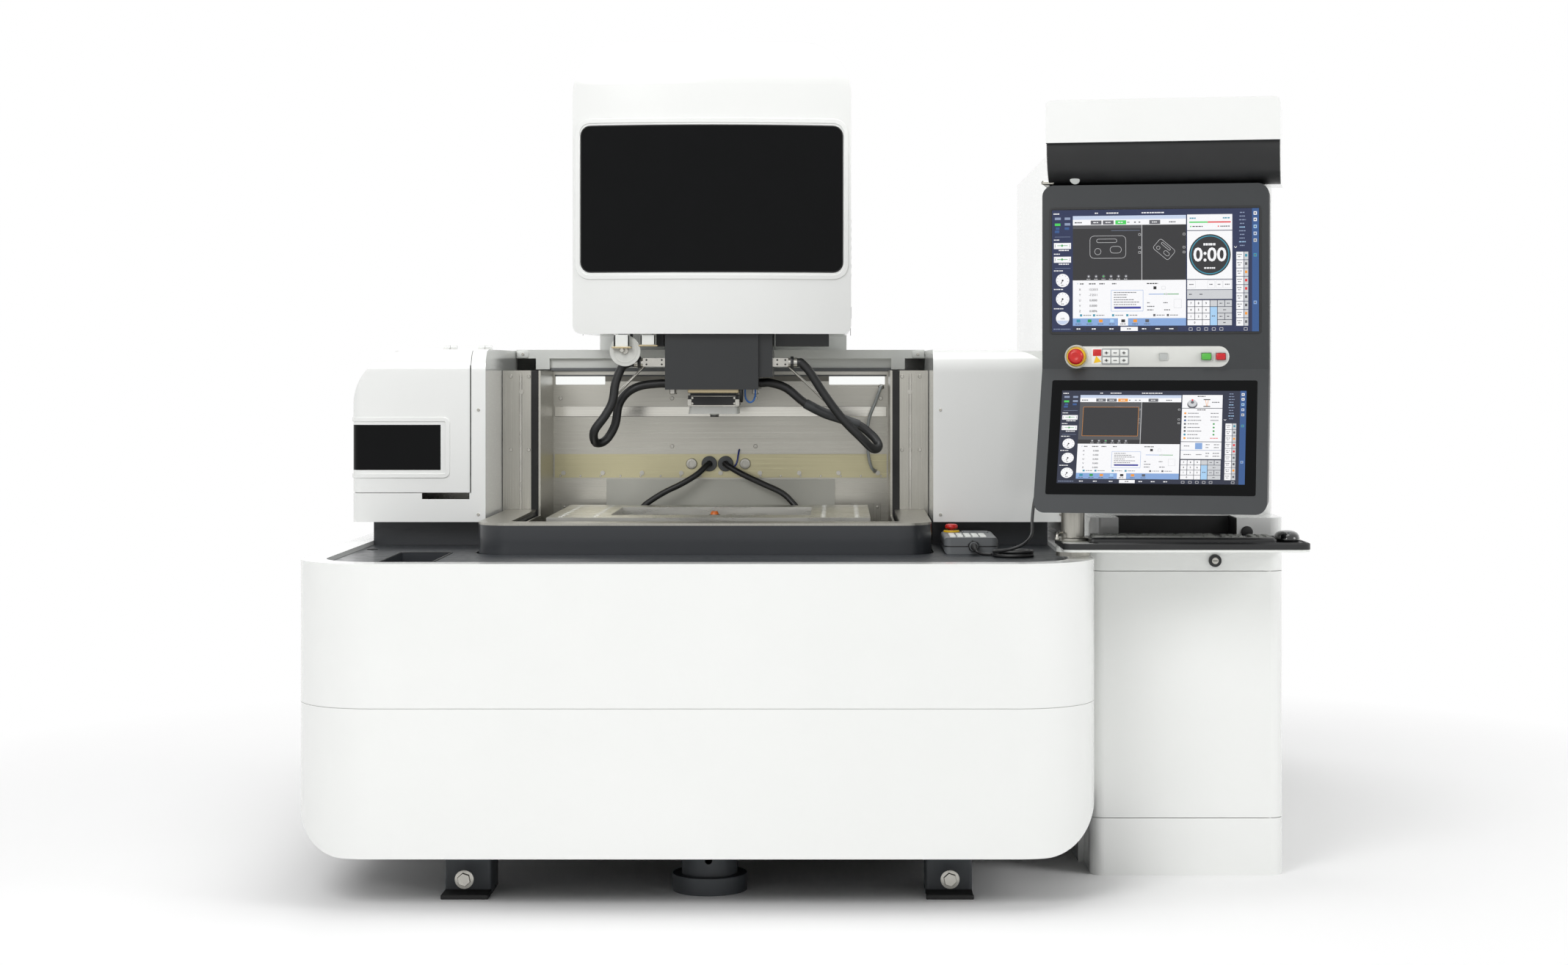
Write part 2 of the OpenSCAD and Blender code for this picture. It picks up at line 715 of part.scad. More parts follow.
module knuckle(x, r_in) difference() {
    union() {
        rod_x([x, x + knuckle_w], wing_hinge_y, hinge_z, hinge_r);
        children();
    }
    if (r_in > 0) rod_x([x - over, x + knuckle_w + over], wing_hinge_y, hinge_z, r_in);
}

module left_wing_shell() color([0.94, 0.95, 0.95]) placed() {
    difference() {
        wing_skin();
        cover_zone(-seam / 2);
        slab(grip_x, [wing_front_y - over, wing_front_y + wing_edge_r], [wing_seam_z - grip_h, wing_seam_z]);
    }
    for (x = hinge_x) knuckle(x + knuckle_w + seam, hinge_pin_r + shaft_gap)
        slab(
            [x + knuckle_w + seam, x + 2 * knuckle_w + seam], [wing_hinge_y + hinge_pin_r, wing_hinge_y + 3 * hinge_r],
            [wing_top_z - wing_t / 2, hinge_z - hinge_pin_r]
        );
}

module wing_cover() color([0.94, 0.95, 0.95]) placed() {
    difference() {
        intersection() {
            wing_skin();
            cover_zone(seam / 2);
        }
        window_zone(slide_gap);
    }
    for (x = hinge_x) {
        knuckle(x, 0) slab(
            [x, x + knuckle_w], [wing_hinge_y - 3 * hinge_r, wing_hinge_y - hinge_pin_r],
            [wing_top_z - wing_t / 2, hinge_z - hinge_pin_r]
        );
        rod_x([x, x + 2 * knuckle_w + seam], wing_hinge_y, hinge_z, hinge_pin_r);
    }
}

module wing_window() color([0.05, 0.06, 0.07]) placed() intersection() {
    wing_skin();
    window_zone(-slide_gap);
}

module right_wing_shell() color([0.94, 0.95, 0.95]) placed() mirror([1, 0, 0]) wing_skin();

// Wire spool on its plate inside the left wing
spool_plate_t = 10;
spool_plate_half_w = 130;
spindle_r = 12;
spindle_len = 150;
spool_flange_r = 80;
spool_flange_t = 6;
spool_w = 110;
spool_wire_r = 66;
spool_gap = 8;
spool_nut_r = 20;
spool_nut_h = 14;

module spool_bracket() color([0.55, 0.57, 0.58]) placed() {
    slab(around(spool_x, spool_plate_half_w), [spool_y, spool_y + spool_plate_t], [wing_bottom_z + wing_t, wing_top_z - wing_corner_r]);
    rod_y(spool_x, [spool_y - spindle_len, spool_y + over], spool_z, spindle_r);
    rod_y(spool_x, [spool_y - spindle_len, spool_y - spindle_len + spool_nut_h], spool_z, spool_nut_r);
}

module wire_spool() color([0.80, 0.62, 0.30]) placed() difference() {
    back = spool_y - spool_gap;
    union() {
        for (y = [back - spool_w, back - spool_flange_t]) rod_y(spool_x, [y, y + spool_flange_t], spool_z, spool_flange_r);
        rod_y(spool_x, [back - spool_w, back], spool_z, spool_wire_r);
    }
    rod_y(spool_x, [back - spool_w - over, back + over], spool_z, spindle_r + shaft_gap);
}

// Beam and housing behind the tank
beam_low_z = 1320;
housing_front_y = 1438;
beam_high_z = 1345;
beam_front_y = 1408;
beam_back_y = housing_front_y;
beam_plate_t = 6;
housing_t = 4;
housing_gap = 5;
housing_r = 60;

module cross_beam() color([0.92, 0.93, 0.93]) placed() {
    slab(around(0, flange_half_w), [beam_front_y, beam_back_y], [beam_low_z, beam_high_z]);
    slab(around(0, beam_plate_half_w), [wall_y - beam_plate_t, wall_y], [tank_top_z, beam_low_z + over / 2]);
    for (side = [-1, 1]) slab(
        around(side * (beam_plate_half_w + beam_bracket_w / 2), beam_bracket_w / 2),
        [beam_front_y, wall_y], [tank_top_z + over, beam_low_z + over / 2]
    );
}

module rear_housing() color([0.92, 0.93, 0.93]) placed() difference() {
    plan_slab(around(0, wing_half_w), [housing_front_y, skirt_d], [skirt_top_z, wing_top_z], [0, 0, housing_r, housing_r]);
    plan_slab(
        around(0, wing_half_w - housing_t), [housing_front_y + housing_t, skirt_d - housing_t],
        [skirt_top_z - over, wing_top_z - housing_t], [0, 0, housing_r - housing_t, housing_r - housing_t]
    );
    slab(around(0, wing_inner_x), [housing_front_y - over, housing_front_y + 2 * housing_t], [skirt_top_z - over, beam_low_z]);
    slab(
        around(0, column_half_w + housing_gap), [column_front_y - housing_gap, skirt_d + over],
        [wing_top_z - 2 * housing_t, wing_top_z + over]
    );
    slab(
        around(0, column_half_w), [skirt_d - 2 * housing_t, skirt_d + over],
        [wing_top_z - travel_down, wing_top_z + over]
    );
}

// Column with a low arch for the lower arm and a window for the upper ram
column_wall = 40;
column_r = 40;
arch_half_w = 222;
arch_top_z = 875;
boom_half_w = 110;
boom_low_z = 1580;
boom_high_z = 1760;
boom_back_gap = 220;
boom_back_y = column_back_y - boom_back_gap;
boom_gap = 14;

module column() color([0.90, 0.91, 0.91]) placed() difference() {
    plan_slab(around(0, column_half_w), [column_front_y, column_back_y], [bed_rear_z, column_top_z], [0, 0, column_r, column_r]);
    slab(
        around(0, column_half_w - column_wall), inset([column_front_y, column_back_y], column_wall),
        [bed_rear_z - over, column_top_z - column_wall]
    );
    slab(around(0, arch_half_w), [column_front_y - over, column_back_y + over], [bed_rear_z - over, arch_top_z]);
    slab(
        around(0, boom_half_w + travel_x + boom_gap), [column_front_y - over, column_front_y + column_wall + over],
        [boom_low_z - boom_gap, boom_high_z + boom_gap]
    );
}

// Rails: a low pair on the bed and a high pair on the column
rail_w = 22;
rail_h = 25;
low_rail_half = 290;
low_rail_y = [1484, 1556];
high_rail_half = 362;
high_rail_z = [1500, 1826];
carriage_half_w = 196;

module guide_rails() color([0.62, 0.63, 0.65]) placed() {
    for (y = low_rail_y) slab(around(0, low_rail_half), around(y, rail_w / 2), [bed_rear_z, bed_rear_z + rail_h]);
    for (z = high_rail_z) slab(
        around(0, high_rail_half), [column_front_y - rail_h, column_front_y], around(z, rail_w / 2)
    );
}

// Upper carriage, ram that moves to and fro, and vertical ram
carriage_front_y = 1482;
carriage_low_z = 1452;
carriage_high_z = 1880;
ram_plate_t = 34;
ram_plate_half_w = 190;
cover_t = 4;
ram_plate_low_z = head_bottom_z + cover_t;
ram_plate_gap = 140;
ram_plate_high_z = head_top_z - ram_plate_gap;
ram_wall = 18;
ram_top_gap = 190;
ram_top_z = head_top_z - ram_top_gap;
ram_back_y = ram_front_y + ram_d;

module x_carriage() color([0.35, 0.37, 0.39]) placed() difference() {
    slab(
        around(0, carriage_half_w), [carriage_front_y, column_front_y - rail_h - slide_gap],
        [carriage_low_z, carriage_high_z]
    );
    slab(
        around(0, boom_half_w + slide_gap), [carriage_front_y - over, column_front_y],
        [boom_low_z - slide_gap, boom_high_z + slide_gap]
    );
}

module y_ram() color([0.38, 0.40, 0.42]) placed() {
    slab(
        around(0, ram_plate_half_w), [ram_back_y + slide_gap, ram_back_y + slide_gap + ram_plate_t],
        [ram_plate_low_z, ram_plate_high_z]
    );
    difference() {
        slab(around(0, boom_half_w), [ram_back_y + ram_plate_t, boom_back_y], [boom_low_z, boom_high_z]);
        slab(
            around(0, boom_half_w - ram_wall), [ram_back_y + 2 * ram_plate_t, boom_back_y + over],
            inset([boom_low_z, boom_high_z], ram_wall)
        );
    }
}

// Head cover, open to the rear. Its front bows forward in plan
head_foot_r = 24;
head_side_r = 60;
head_roll_r = 125;
head_top_lap = 0.25;
head_pan_gap = 5;
window_corner_r = 27;
unit_x = [127, 165];
unit_y = [900, 1100];
unit_low_z = 1267;
bow_r = (head_half_w * head_half_w + head_bow * head_bow) / (2 * head_bow);

// The cover's outside, pulled in by t, as far back as back_y: a bowed front that rolls over into the top, cut to
// the sides, top and foot. The roll is the bow's own outline turned about the bow's centre.
module head_body(t, back_y) intersection() {
    translate([0, head_front_y + bow_r, 0]) rotate_extrude($fn = 360)
        cornered([0, bow_r - t], [head_bottom_z - over, head_top_z - t], [0, 0, head_roll_r - t, 0]);
    slab(around(0, head_half_w + over), [head_front_y - over, back_y], [head_bottom_z - over, head_top_z + over]);
    front_slab(
        around(0, head_half_w - t), [head_front_y - 2 * over, back_y + over],
        [head_bottom_z + t, head_top_z - t + head_top_lap],
        [head_foot_r, head_foot_r, head_corner_r - t, head_corner_r - t]
    );
}

module head_window_zone(t, y) front_slab(
    around(0, head_window_half_w + t), y,
    [head_window_low_z - t, head_window_high_z + t], all4(window_corner_r + t)
);

module head_cover() color([0.95, 0.96, 0.96]) placed() difference() {
    head_body(0, head_back_y);
    head_body(cover_t, head_back_y + over);
    head_window_zone(0, [head_front_y - over, head_front_y + head_bow + head_side_r]);
    slab(
        [-ram_half_w - head_pan_gap, unit_x[1] + head_pan_gap], [ram_front_y - head_pan_gap, ram_back_y + slide_gap],
        [head_bottom_z - over, head_bottom_z + 2 * cover_t]
    );
}

module head_window() color([0.04, 0.05, 0.06]) placed() intersection() {
    difference() {
        head_body(slide_gap, head_back_y);
        head_body(cover_t, head_back_y + over);
    }
    head_window_zone(-slide_gap, [head_front_y - over, head_front_y + head_bow + head_side_r]);
}

module z_ram() color([0.13, 0.14, 0.15]) placed() {
    difference() {
        slab(around(0, ram_half_w), [ram_front_y, ram_back_y], [ram_bottom_z, ram_top_z]);
        slab(
            around(0, ram_half_w - ram_wall), [ram_front_y + ram_wall, ram_back_y - ram_wall],
            [ram_bottom_z + ram_wall, ram_top_z + over]
        );
    }
    slab([ram_half_w - over, unit_x[1]], unit_y, [unit_low_z, ram_plate_high_z - head_corner_r]);
}

// Boxes, roller bracket and pin under the head cover
side_unit_low_z = 1352;
right_unit_x = [172, 319];
right_unit_y = [990, 1150];
left_unit_x = [-170, -138];
roller_x = -236;
roller_z = 1339;
roller_r = 42;
roller_w = 12;
roller_front_y = 886;
roller_pin_r = 5;
bracket_t = 8;
bracket_half_w = 20;
roller_gap = 2;
bracket_y = roller_front_y + roller_w + roller_gap;

module ram_side_units() color([0.14, 0.15, 0.16]) placed() {
    slab(right_unit_x, right_unit_y, [side_unit_low_z, head_bottom_z]);
    slab(left_unit_x, right_unit_y, [side_unit_low_z, head_bottom_z]);
    slab(
        around(roller_x, bracket_half_w), [bracket_y, bracket_y + bracket_t],
        [roller_z - bracket_half_w, head_bottom_z]
    );
    rod_y(roller_x, [roller_front_y - roller_gap, bracket_y + over], roller_z, roller_pin_r);
}

module wire_roller() color([0.93, 0.93, 0.92]) placed() difference() {
    rod_y(roller_x, [roller_front_y, roller_front_y + roller_w], roller_z, roller_r);
    rod_y(roller_x, [roller_front_y - over, bracket_y], roller_z, roller_pin_r + shaft_gap);
}

// White blocks, glands and steel rods that hold the feeder cables to the ram
block_y = [915, 975];
block_z = [1296, 1319];
left_block_x = [-190, -ram_half_w];
right_block_x = [unit_x[1], 208];
gland_len = 24;
gland_r = 13;
gland_y = 930;
gland_z = 1307;
rod_r = 3.5;
feeder_r = 10;
left_rod_end = [-285, 958, 1198];
right_rod_end = [346, 958, 1166];

module rod_between(a, b, r) {
    v = b - a;
    translate(a) rotate([0, acos(v[2] / norm(v)), atan2(v[1], v[0])]) cylinder(h = norm(v), r = r);
}

module cable_brackets() color([0.90, 0.90, 0.89]) placed() {
    slab(left_block_x, block_y, block_z);
    slab(right_block_x, block_y, block_z);
    rod_x([left_block_x[0] - gland_len, left_block_x[0] + over], gland_y, gland_z, gland_r);
    rod_x([right_block_x[1] - over, right_block_x[1] + gland_len], gland_y, gland_z, gland_r);
    rod_between([left_block_x[0] + rod_r, left_rod_end[1], block_z[0] + rod_r], left_rod_end, rod_r);
    rod_between([right_block_x[1] - rod_r, right_rod_end[1], block_z[0] + rod_r], right_rod_end, rod_r);
}

// Routes of the two feeder cables: out of a gland, along the rod, round and back to the ram
feeder_points = [
    [[-214, 930, 1307], [-220, 930, 1307], [-226, 930, 1307], [-248, 930, 1294], [-266, 930, 1250], [-274, 930, 1200], [-295, 930, 1160], [-325, 935, 1118],
        [-322, 960, 1086], [-296, 984, 1094], [-272, 990, 1135], [-262, 990, 1190], [-238, 990, 1224], [-200, 990, 1243], [-150, 990, 1249], [-138, 990, 1249], [-127, 990, 1249]],
    [[232, 930, 1307], [237, 930, 1307], [242, 930, 1307], [266, 930, 1282], [305, 930, 1222], [355, 930, 1154], [406, 932, 1102], [440, 945, 1070],
        [456, 970, 1076], [444, 984, 1100], [402, 990, 1134], [352, 990, 1152], [305, 990, 1168], [254, 990, 1194], [202, 990, 1236], [157, 990, 1251], [139, 990, 1251], [127, 990, 1251]]
];

module feeder_cables() color([0.04, 0.04, 0.04]) placed()
    for (p = feeder_points) sweep(smooth(p, 2), feeder_r, 8, [0, 1, 0.1]);

// Stages that shift the upper guide sideways and to and fro
stage_half_w = 64;
neck_low_z = 1216;
block_low_z = 1187;
pad_half_w = 70;
nozzle_r = 12;
nozzle_len = 10;

module u_slide() color([0.30, 0.31, 0.33]) placed()
    slab(around(0, stage_half_w), around(guide_y, stage_half_w), [neck_low_z, ram_bottom_z - slide_gap]);

module guide_block() color([0.10, 0.11, 0.12]) placed() {
    slab(around(0, pad_half_w), around(guide_y, pad_half_w), [block_low_z, neck_low_z - slide_gap]);
    translate([0, guide_y, guide_tip_z]) cylinder(h = block_low_z - guide_tip_z, r1 = pad_half_w - nozzle_r, r2 = pad_half_w);
    rod_z(0, guide_y, [guide_tip_z - nozzle_len, guide_tip_z + over], nozzle_r);
}

// Lower carriage, seal plate and arm
low_carriage_half_w = 105;
low_carriage_y = [1474, 1580];
low_carriage_high_z = 868;
seal_half_w = 335;
seal_low_z = 745;
seal_high_z = 965;
seal_plate_t = 4;
seal_plate_gap = 2;
arm_front_y = 1012;
arm_back_y = 1716;
head_block_half_w = 34;
head_block_z = [768, 838];
head_block_d = 78;
post_r = 16;
tip_z = 893;
tip_r = 4;
tip_base_r = 10;
tip_base_z = 884;

module lower_carriage() color([0.35, 0.37, 0.39]) placed() difference() {
    union() {
        slab(
            around(0, low_carriage_half_w), low_carriage_y,
            [bed_rear_z + rail_h + slide_gap, low_carriage_high_z]
        );
        rod_y(0, [wall_y - seal_plate_gap - seal_plate_t, low_carriage_y[0] + over], arm_z, arm_r + sleeve_t);
    }
    rod_y(0, [wall_y - over * 3, low_carriage_y[1] + over], arm_z, arm_r + shaft_gap);
}

module seal_plate() color([0.74, 0.76, 0.77]) placed() difference() {
    back = wall_y - seal_plate_gap;
    slab(around(0, seal_half_w), [back - seal_plate_t, back], [seal_low_z, seal_high_z]);
    rod_y(0, [back - seal_plate_t - over, back + over], arm_z, arm_r + sleeve_t);
}

module lower_arm() color([0.72, 0.73, 0.74]) placed() {
    rod_y(0, [arm_front_y + head_block_half_w, arm_back_y], arm_z, arm_r);
    slab(around(0, head_block_half_w), [arm_front_y, arm_front_y + head_block_d], head_block_z);
    rod_z(0, guide_y, [head_block_z[1] - over, tip_base_z], post_r);
    translate([0, guide_y, tip_base_z]) cylinder(h = tip_z - tip_base_z, r1 = tip_base_r, r2 = tip_r);
}

// Supply unit behind the machine
supply_d = 730;
supply_back_y = supply_front_y + supply_d;
supply_foot_h = 60;
supply_foot_w = 90;
supply_t = 4;
supply_hatch_x = [260, 760];
supply_hatch_gap = [210, 550];
supply_hatch_y = [for (gap = supply_hatch_gap) supply_front_y + gap];
filter_x = [-640, -250];
filter_gap_y = 370;
filter_y = supply_front_y + filter_gap_y;
filter_lid_h = 24;
filter_lid_rim = 10;
filter_knob_r = 18;
filter_knob_h = 30;

module dielectric_reservoir() color([0.78, 0.79, 0.80]) placed() {
    difference() {
        slab(around(0, supply_half_w), [supply_front_y, supply_back_y], [supply_foot_h, supply_top_z]);
        slab(
            around(0, supply_half_w - supply_t), inset([supply_front_y, supply_back_y], supply_t),
            inset([supply_foot_h, supply_top_z], supply_t)
        );
        slab(supply_hatch_x, supply_hatch_y, [supply_top_z - 2 * supply_t, supply_top_z + over]);
    }
    for (side = [-1, 1], y = [supply_front_y + supply_foot_w, supply_back_y - supply_foot_w])
        slab(
            around(side * (supply_half_w - supply_foot_w), supply_foot_w / 2), around(y, supply_foot_w / 2),
            [0, supply_foot_h]
        );
}

module filter_canisters() color([0.86, 0.87, 0.88]) placed() for (x = filter_x) {
    rod_z(x, filter_y, [supply_top_z, supply_top_z + filter_h], filter_r);
    rod_z(x, filter_y, [supply_top_z + filter_h, supply_top_z + filter_h + filter_lid_h], filter_r + filter_lid_rim);
    rod_z(
        x, filter_y, [supply_top_z + filter_h + filter_lid_h, supply_top_z + filter_h + filter_lid_h + filter_knob_h],
        filter_knob_r
    );
}

// Electrical cabinets
cabinet_t = 3;
cabinet_r = 24;
low_r = 34;
low_lip = 26;
slot_gap_x = [71, 372];
slot_x = [for (gap = slot_gap_x) low_left_x + gap];
slot_low_z = 862;
slot_d = 130;
lock_gap = 316;
lock_x = low_left_x + lock_gap;
lock_z = 802;
lock_r = 16;
lock_head_h = 9;
lock_len = 40;
lock_barrel_r = 9;
lock_lever_w = 44;

module tall_cabinet() color([0.93, 0.94, 0.94]) placed() difference() {
    plan_slab(
        [cabinet_left_x, cabinet_right_x], [cabinet_front_y, cabinet_back_y], [0, cabinet_top_z],
        [0, cabinet_r, cabinet_r, cabinet_r]
    );
    plan_slab(
        inset([cabinet_left_x, cabinet_right_x], cabinet_t), inset([cabinet_front_y, cabinet_back_y], cabinet_t),
        [-over, cabinet_top_z - cabinet_t], [0, cabinet_r - cabinet_t, cabinet_r - cabinet_t, cabinet_r - cabinet_t]
    );
}

module low_box(t, z) plan_slab(
    inset([low_left_x, low_right_x], t), [low_front_y + t, cabinet_front_y], z,
    [low_r - t, low_r - t, 0, 0]
);

module control_cabinet() color([0.93, 0.94, 0.94]) placed() {
    difference() {
        low_box(0, [0, low_top_z]);
        low_box(cabinet_t, [-over, low_top_z - cabinet_t]);
        slab(
            [low_left_x - over, low_right_x + over], [low_front_y - over, low_front_y + low_r + slide_gap],
            [low_door_bottom_z, low_door_top_z]
        );
        slab(slot_x, [low_front_y - over, low_front_y + low_r], [slot_low_z, low_top_z + over]);
        slab(slot_x, [low_front_y - over, low_front_y + slot_d], [low_top_z - 2 * cabinet_t, low_top_z + over]);
        rod_y(lock_x, [low_front_y - over, low_front_y + low_r], lock_z, lock_barrel_r + shaft_gap);
    }
    difference() {
        slab(
            [slot_x[0] - cabinet_t, slot_x[1] + cabinet_t], [low_front_y + cabinet_t / 2, low_front_y + slot_d + cabinet_t],
            [slot_low_z - cabinet_t, low_top_z]
        );
        slab(slot_x, [low_front_y - over, low_front_y + slot_d], [slot_low_z, low_top_z + over]);
    }
    difference() {
        low_box(cabinet_t / 2, [low_door_top_z, low_door_top_z + cabinet_t]);
        low_box(low_lip, [low_door_top_z - over, low_door_top_z + 2 * cabinet_t]);
    }
}

module cabinet_door() color([0.94, 0.95, 0.95]) placed() intersection() {
    difference() {
        low_box(0, inset([low_door_bottom_z, low_door_top_z], seam));
        low_box(cabinet_t, inset([low_door_bottom_z, low_door_top_z], -over));
    }
    slab(
        [low_left_x - over, low_right_x + over], [low_front_y - over, low_front_y + low_r - slide_gap],
        [low_door_bottom_z, low_door_top_z]
    );
}

module cam_lock() color([0.05, 0.05, 0.05]) placed() {
    rod_y(lock_x, [low_front_y - lock_head_h, low_front_y - slide_gap], lock_z, lock_r);
    rod_y(lock_x, [low_front_y - lock_head_h, low_front_y + lock_len], lock_z, lock_barrel_r);
    slab(
        [lock_x - lock_barrel_r, lock_x + lock_lever_w],
        [low_front_y + lock_len, low_front_y + lock_len + cabinet_t], around(lock_z, lock_barrel_r)
    );
}

// Console on its pillar
pillar_foot_r = 42;
pillar_foot_h = 10;
pillar_top_z = 1000;
console_t = 6;
console_foot_d = 157;
console_r = 28;
console_back_z = 1250;
console_boss_r = 45;
screen_t = 4;
screen_r = 5;
screen_inset = 3;
screen_mid = 195;
screen_low_z = 1384;
touch_w = 512;
touch_h = 326;
touch_start = 34;
button_mid_z = 1321;
estop_x = -2;
green_x = 324;
red_x = 360;
stem_r = 6;
stem_len = 30;
estop_base_r = 24;
estop_base_h = 12;
estop_head_h = 16;
cap_len = 6;
console_x = [-console_left, console_w - console_left];
console_back = console_front + console_d;
console_toe = console_front - console_reach;
slope_angle = atan2(console_reach, console_bend_z - console_bottom_z);

module console_pillar() color([0.74, 0.75, 0.76]) placed() {
    rod_z(pillar_x, pillar_y, [skirt_top_z, pillar_top_z], pillar_r);
    rod_z(pillar_x, pillar_y, [skirt_top_z, skirt_top_z + pillar_foot_h], pillar_foot_r);
}

module console_side(t) translate([console_x[0] + t, 0, 0]) rotate([90, 0, 90])
    linear_extrude(console_w - 2 * t) polygon([
        [console_front + t, console_top_z - t],
        [console_front + t, console_bend_z + t / 4],
        [console_toe + t * 4 / 3, console_bottom_z + t],
        [console_toe + console_foot_d - t, console_bottom_z + t],
        [console_back - t, console_back_z],
        [console_back - t, console_top_z - t]
    ]);

module console_solid(t) intersection() {
    console_side(t);
    front_slab(
        inset(console_x, t), [console_toe - over, console_back + over],
        inset([console_bottom_z, console_top_z], t), all4(console_r - t)
    );
}

// The sloping panel's own frame: x across, y down the slope, z out of the face
module on_slope() translate([screen_mid, console_front, console_bend_z]) rotate([-slope_angle, 0, 0])
    rotate([90, 0, 0]) mirror([0, 1, 0]) children();

module touch_panel(t, z) on_slope() translate([0, 0, z[0]]) linear_extrude(z[1] - z[0])
    cornered(around(0, touch_w / 2 + t), [touch_start - t, touch_start + touch_h + t], all4(screen_r));

module top_screen(t, y) front_slab(
    around(screen_mid, screen_w / 2 + t), y, [screen_low_z - t, screen_low_z + screen_h + t], all4(screen_r)
);

module console_housing() color([0.15, 0.16, 0.17]) placed() at_pillar(console_turn) difference() {
    union() {
        difference() {
            console_solid(0);
            console_solid(console_t);
        }
        rod_z(0, 0, [console_bottom_z + console_t / 2, pillar_top_z], console_boss_r);
        rod_y(estop_x, [console_front - estop_base_h, console_front + over], button_mid_z, estop_base_r);
    }
    rod_z(0, 0, [console_bottom_z - over, pillar_top_z + over], pillar_r + shaft_gap);
    top_screen(slide_gap, [console_front - over, console_front + screen_inset]);
    touch_panel(slide_gap, [-screen_inset, over]);
    for (x = [estop_x, green_x, red_x])
        rod_y(x, [console_front - 2 * estop_base_h, console_front + 2 * console_t], button_mid_z, stem_r + shaft_gap);
}

module console_screens() color([0.05, 0.07, 0.12]) placed() at_pillar(console_turn) {
    top_screen(0, [console_front + screen_inset - screen_t, console_front + screen_inset]);
    touch_panel(0, [-screen_inset, screen_t - screen_inset]);
}

module push_button(x, y, travel, r, h) {
    rod_y(x, [y - travel - h, y - travel], button_mid_z, r);
    rod_y(x, [y - travel - over / 2, console_front + stem_len], button_mid_z, stem_r);
}

module console_estop() color([0.80, 0.05, 0.05]) placed() at_pillar(console_turn)
    push_button(estop_x, console_front - estop_base_h, estop_travel + over / 3, estop_r, estop_head_h);

module green_button() color([0.10, 0.60, 0.25]) placed() at_pillar(console_turn)
    push_button(green_x, console_front, button_travel + over / 3, button_r, cap_len);

module red_button() color([0.75, 0.08, 0.08]) placed() at_pillar(console_turn)
    push_button(red_x, console_front, button_travel + over / 3, button_r, cap_len);

// Hood over the console: a box whose underside sweeps back down to the console's top
hood_left = 74;
hood_front = 53;
hood_t = 4;
hood_r = 14;
hood_lip = 16;
hood_neck = 102;
hood_steps = 8;
hood_x = [-hood_left, hood_w - hood_left];
hood_back = hood_front + hood_d;
function hood_curve(t) = [for (i = [0:hood_steps]) let (a = 90 * i / hood_steps) [
    hood_front + hood_lip + t + (hood_neck - hood_lip) * (1 - cos(a)),
    console_top_z + t + (hood_low_z - console_top_z) * (1 - sin(a))
]];

module hood_side(t) translate([hood_x[0] + t, 0, 0]) rotate([90, 0, 90])
    linear_extrude(hood_w - 2 * t) polygon(concat(
        [[hood_front + t, hood_top_z - t], [hood_front + t, hood_low_z + t]],
        hood_curve(t),
        [[hood_back - t, console_top_z + t], [hood_back - t, hood_top_z - t]]
    ));

module console_hood() color([0.94, 0.95, 0.95]) placed() at_pillar(console_turn) intersection() {
    difference() {
        hood_side(0);
        hood_side(hood_t);
    }
    front_slab(
        hood_x, [hood_front - over, hood_back + over], [console_top_z - over, hood_top_z],
        [0, 0, hood_r, hood_r]
    );
}

// Keyboard tray, which swings on the pillar, with the loose keyboard and mouse
tray_r = 22;
tray_collar_r = 41;
keyboard_gap = 67;
keyboard_left_x = tray_left_x + keyboard_gap;
keyboard_front_y = 188;
keyboard_h = 16;
keyboard_r = 10;
mouse_gap = [73, 11];
mouse_x = [for (gap = mouse_gap) tray_right_x - gap];
mouse_y = [196, 304];
mouse_h = 30;
mouse_r = 26;
tray_low_z = tray_z - tray_t;

module keyboard_tray() color([0.92, 0.93, 0.93]) placed() difference() {
    union() {
        plan_slab([tray_left_x, tray_right_x], [tray_front_y, tray_back_y], [tray_low_z, tray_z], all4(tray_r));
        rod_z(pillar_x, pillar_y, [skirt_top_z + pillar_foot_h, tray_low_z + over], tray_collar_r);
    }
    rod_z(pillar_x, pillar_y, [skirt_top_z, tray_z + over], pillar_r + shaft_gap);
}

module keyboard_set() color([0.06, 0.06, 0.07]) placed() {
    plan_slab(
        [keyboard_left_x, keyboard_left_x + keyboard_w], [keyboard_front_y, keyboard_front_y + keyboard_d],
        [tray_z, tray_z + keyboard_h], all4(keyboard_r)
    );
    intersection() {
        plan_slab(mouse_x, mouse_y, [tray_z, tray_z + mouse_h], all4(mouse_r));
        side_slab(mouse_x, mouse_y, [tray_z - over, tray_z + mouse_h], [0, 0, mouse_h * 2 / 3, mouse_h / 2]);
    }
}

// Pendant lying on the deck
pendant_r = 18;
pendant_edge_r = 9;
pendant_stop_gap = 28;
pendant_stop_x = pendant_left_x + pendant_stop_gap;
pendant_stop_y = 704;
pendant_stop_r = 17;
pendant_stop_base_r = 21;
pendant_stop_base_h = 4;
pendant_stop_head_h = 12;
pendant_gland_gap = 74;
pendant_gland_x = pendant_left_x + pendant_gland_gap;
pendant_gland_r = 11;
pendant_gland_len = 30;
pendant_top_z = deck_z + pendant_t;
pendant_x = [pendant_left_x, pendant_left_x + pendant_w];
pendant_y = [pendant_front_y, pendant_front_y + pendant_len];

module pendant_body() color([0.42, 0.44, 0.45]) placed() difference() {
    union() {
        intersection() {
            plan_slab(pendant_x, pendant_y, [deck_z, pendant_top_z], all4(pendant_r));
            front_slab(pendant_x, inset(pendant_y, -over), [deck_z, pendant_top_z], all4(pendant_edge_r));
        }
        rod_z(pendant_stop_x, pendant_stop_y, [pendant_top_z - over, pendant_top_z + pendant_stop_base_h], pendant_stop_base_r);
        rod_y(
            pendant_gland_x, [pendant_front_y - pendant_gland_len, pendant_front_y + over],
            deck_z + pendant_t / 2, pendant_gland_r
        );
    }
    rod_z(
        pendant_stop_x, pendant_stop_y, [pendant_top_z - pendant_t / 2, pendant_top_z + 2 * pendant_stop_base_h],
        stem_r + shaft_gap
    );
}

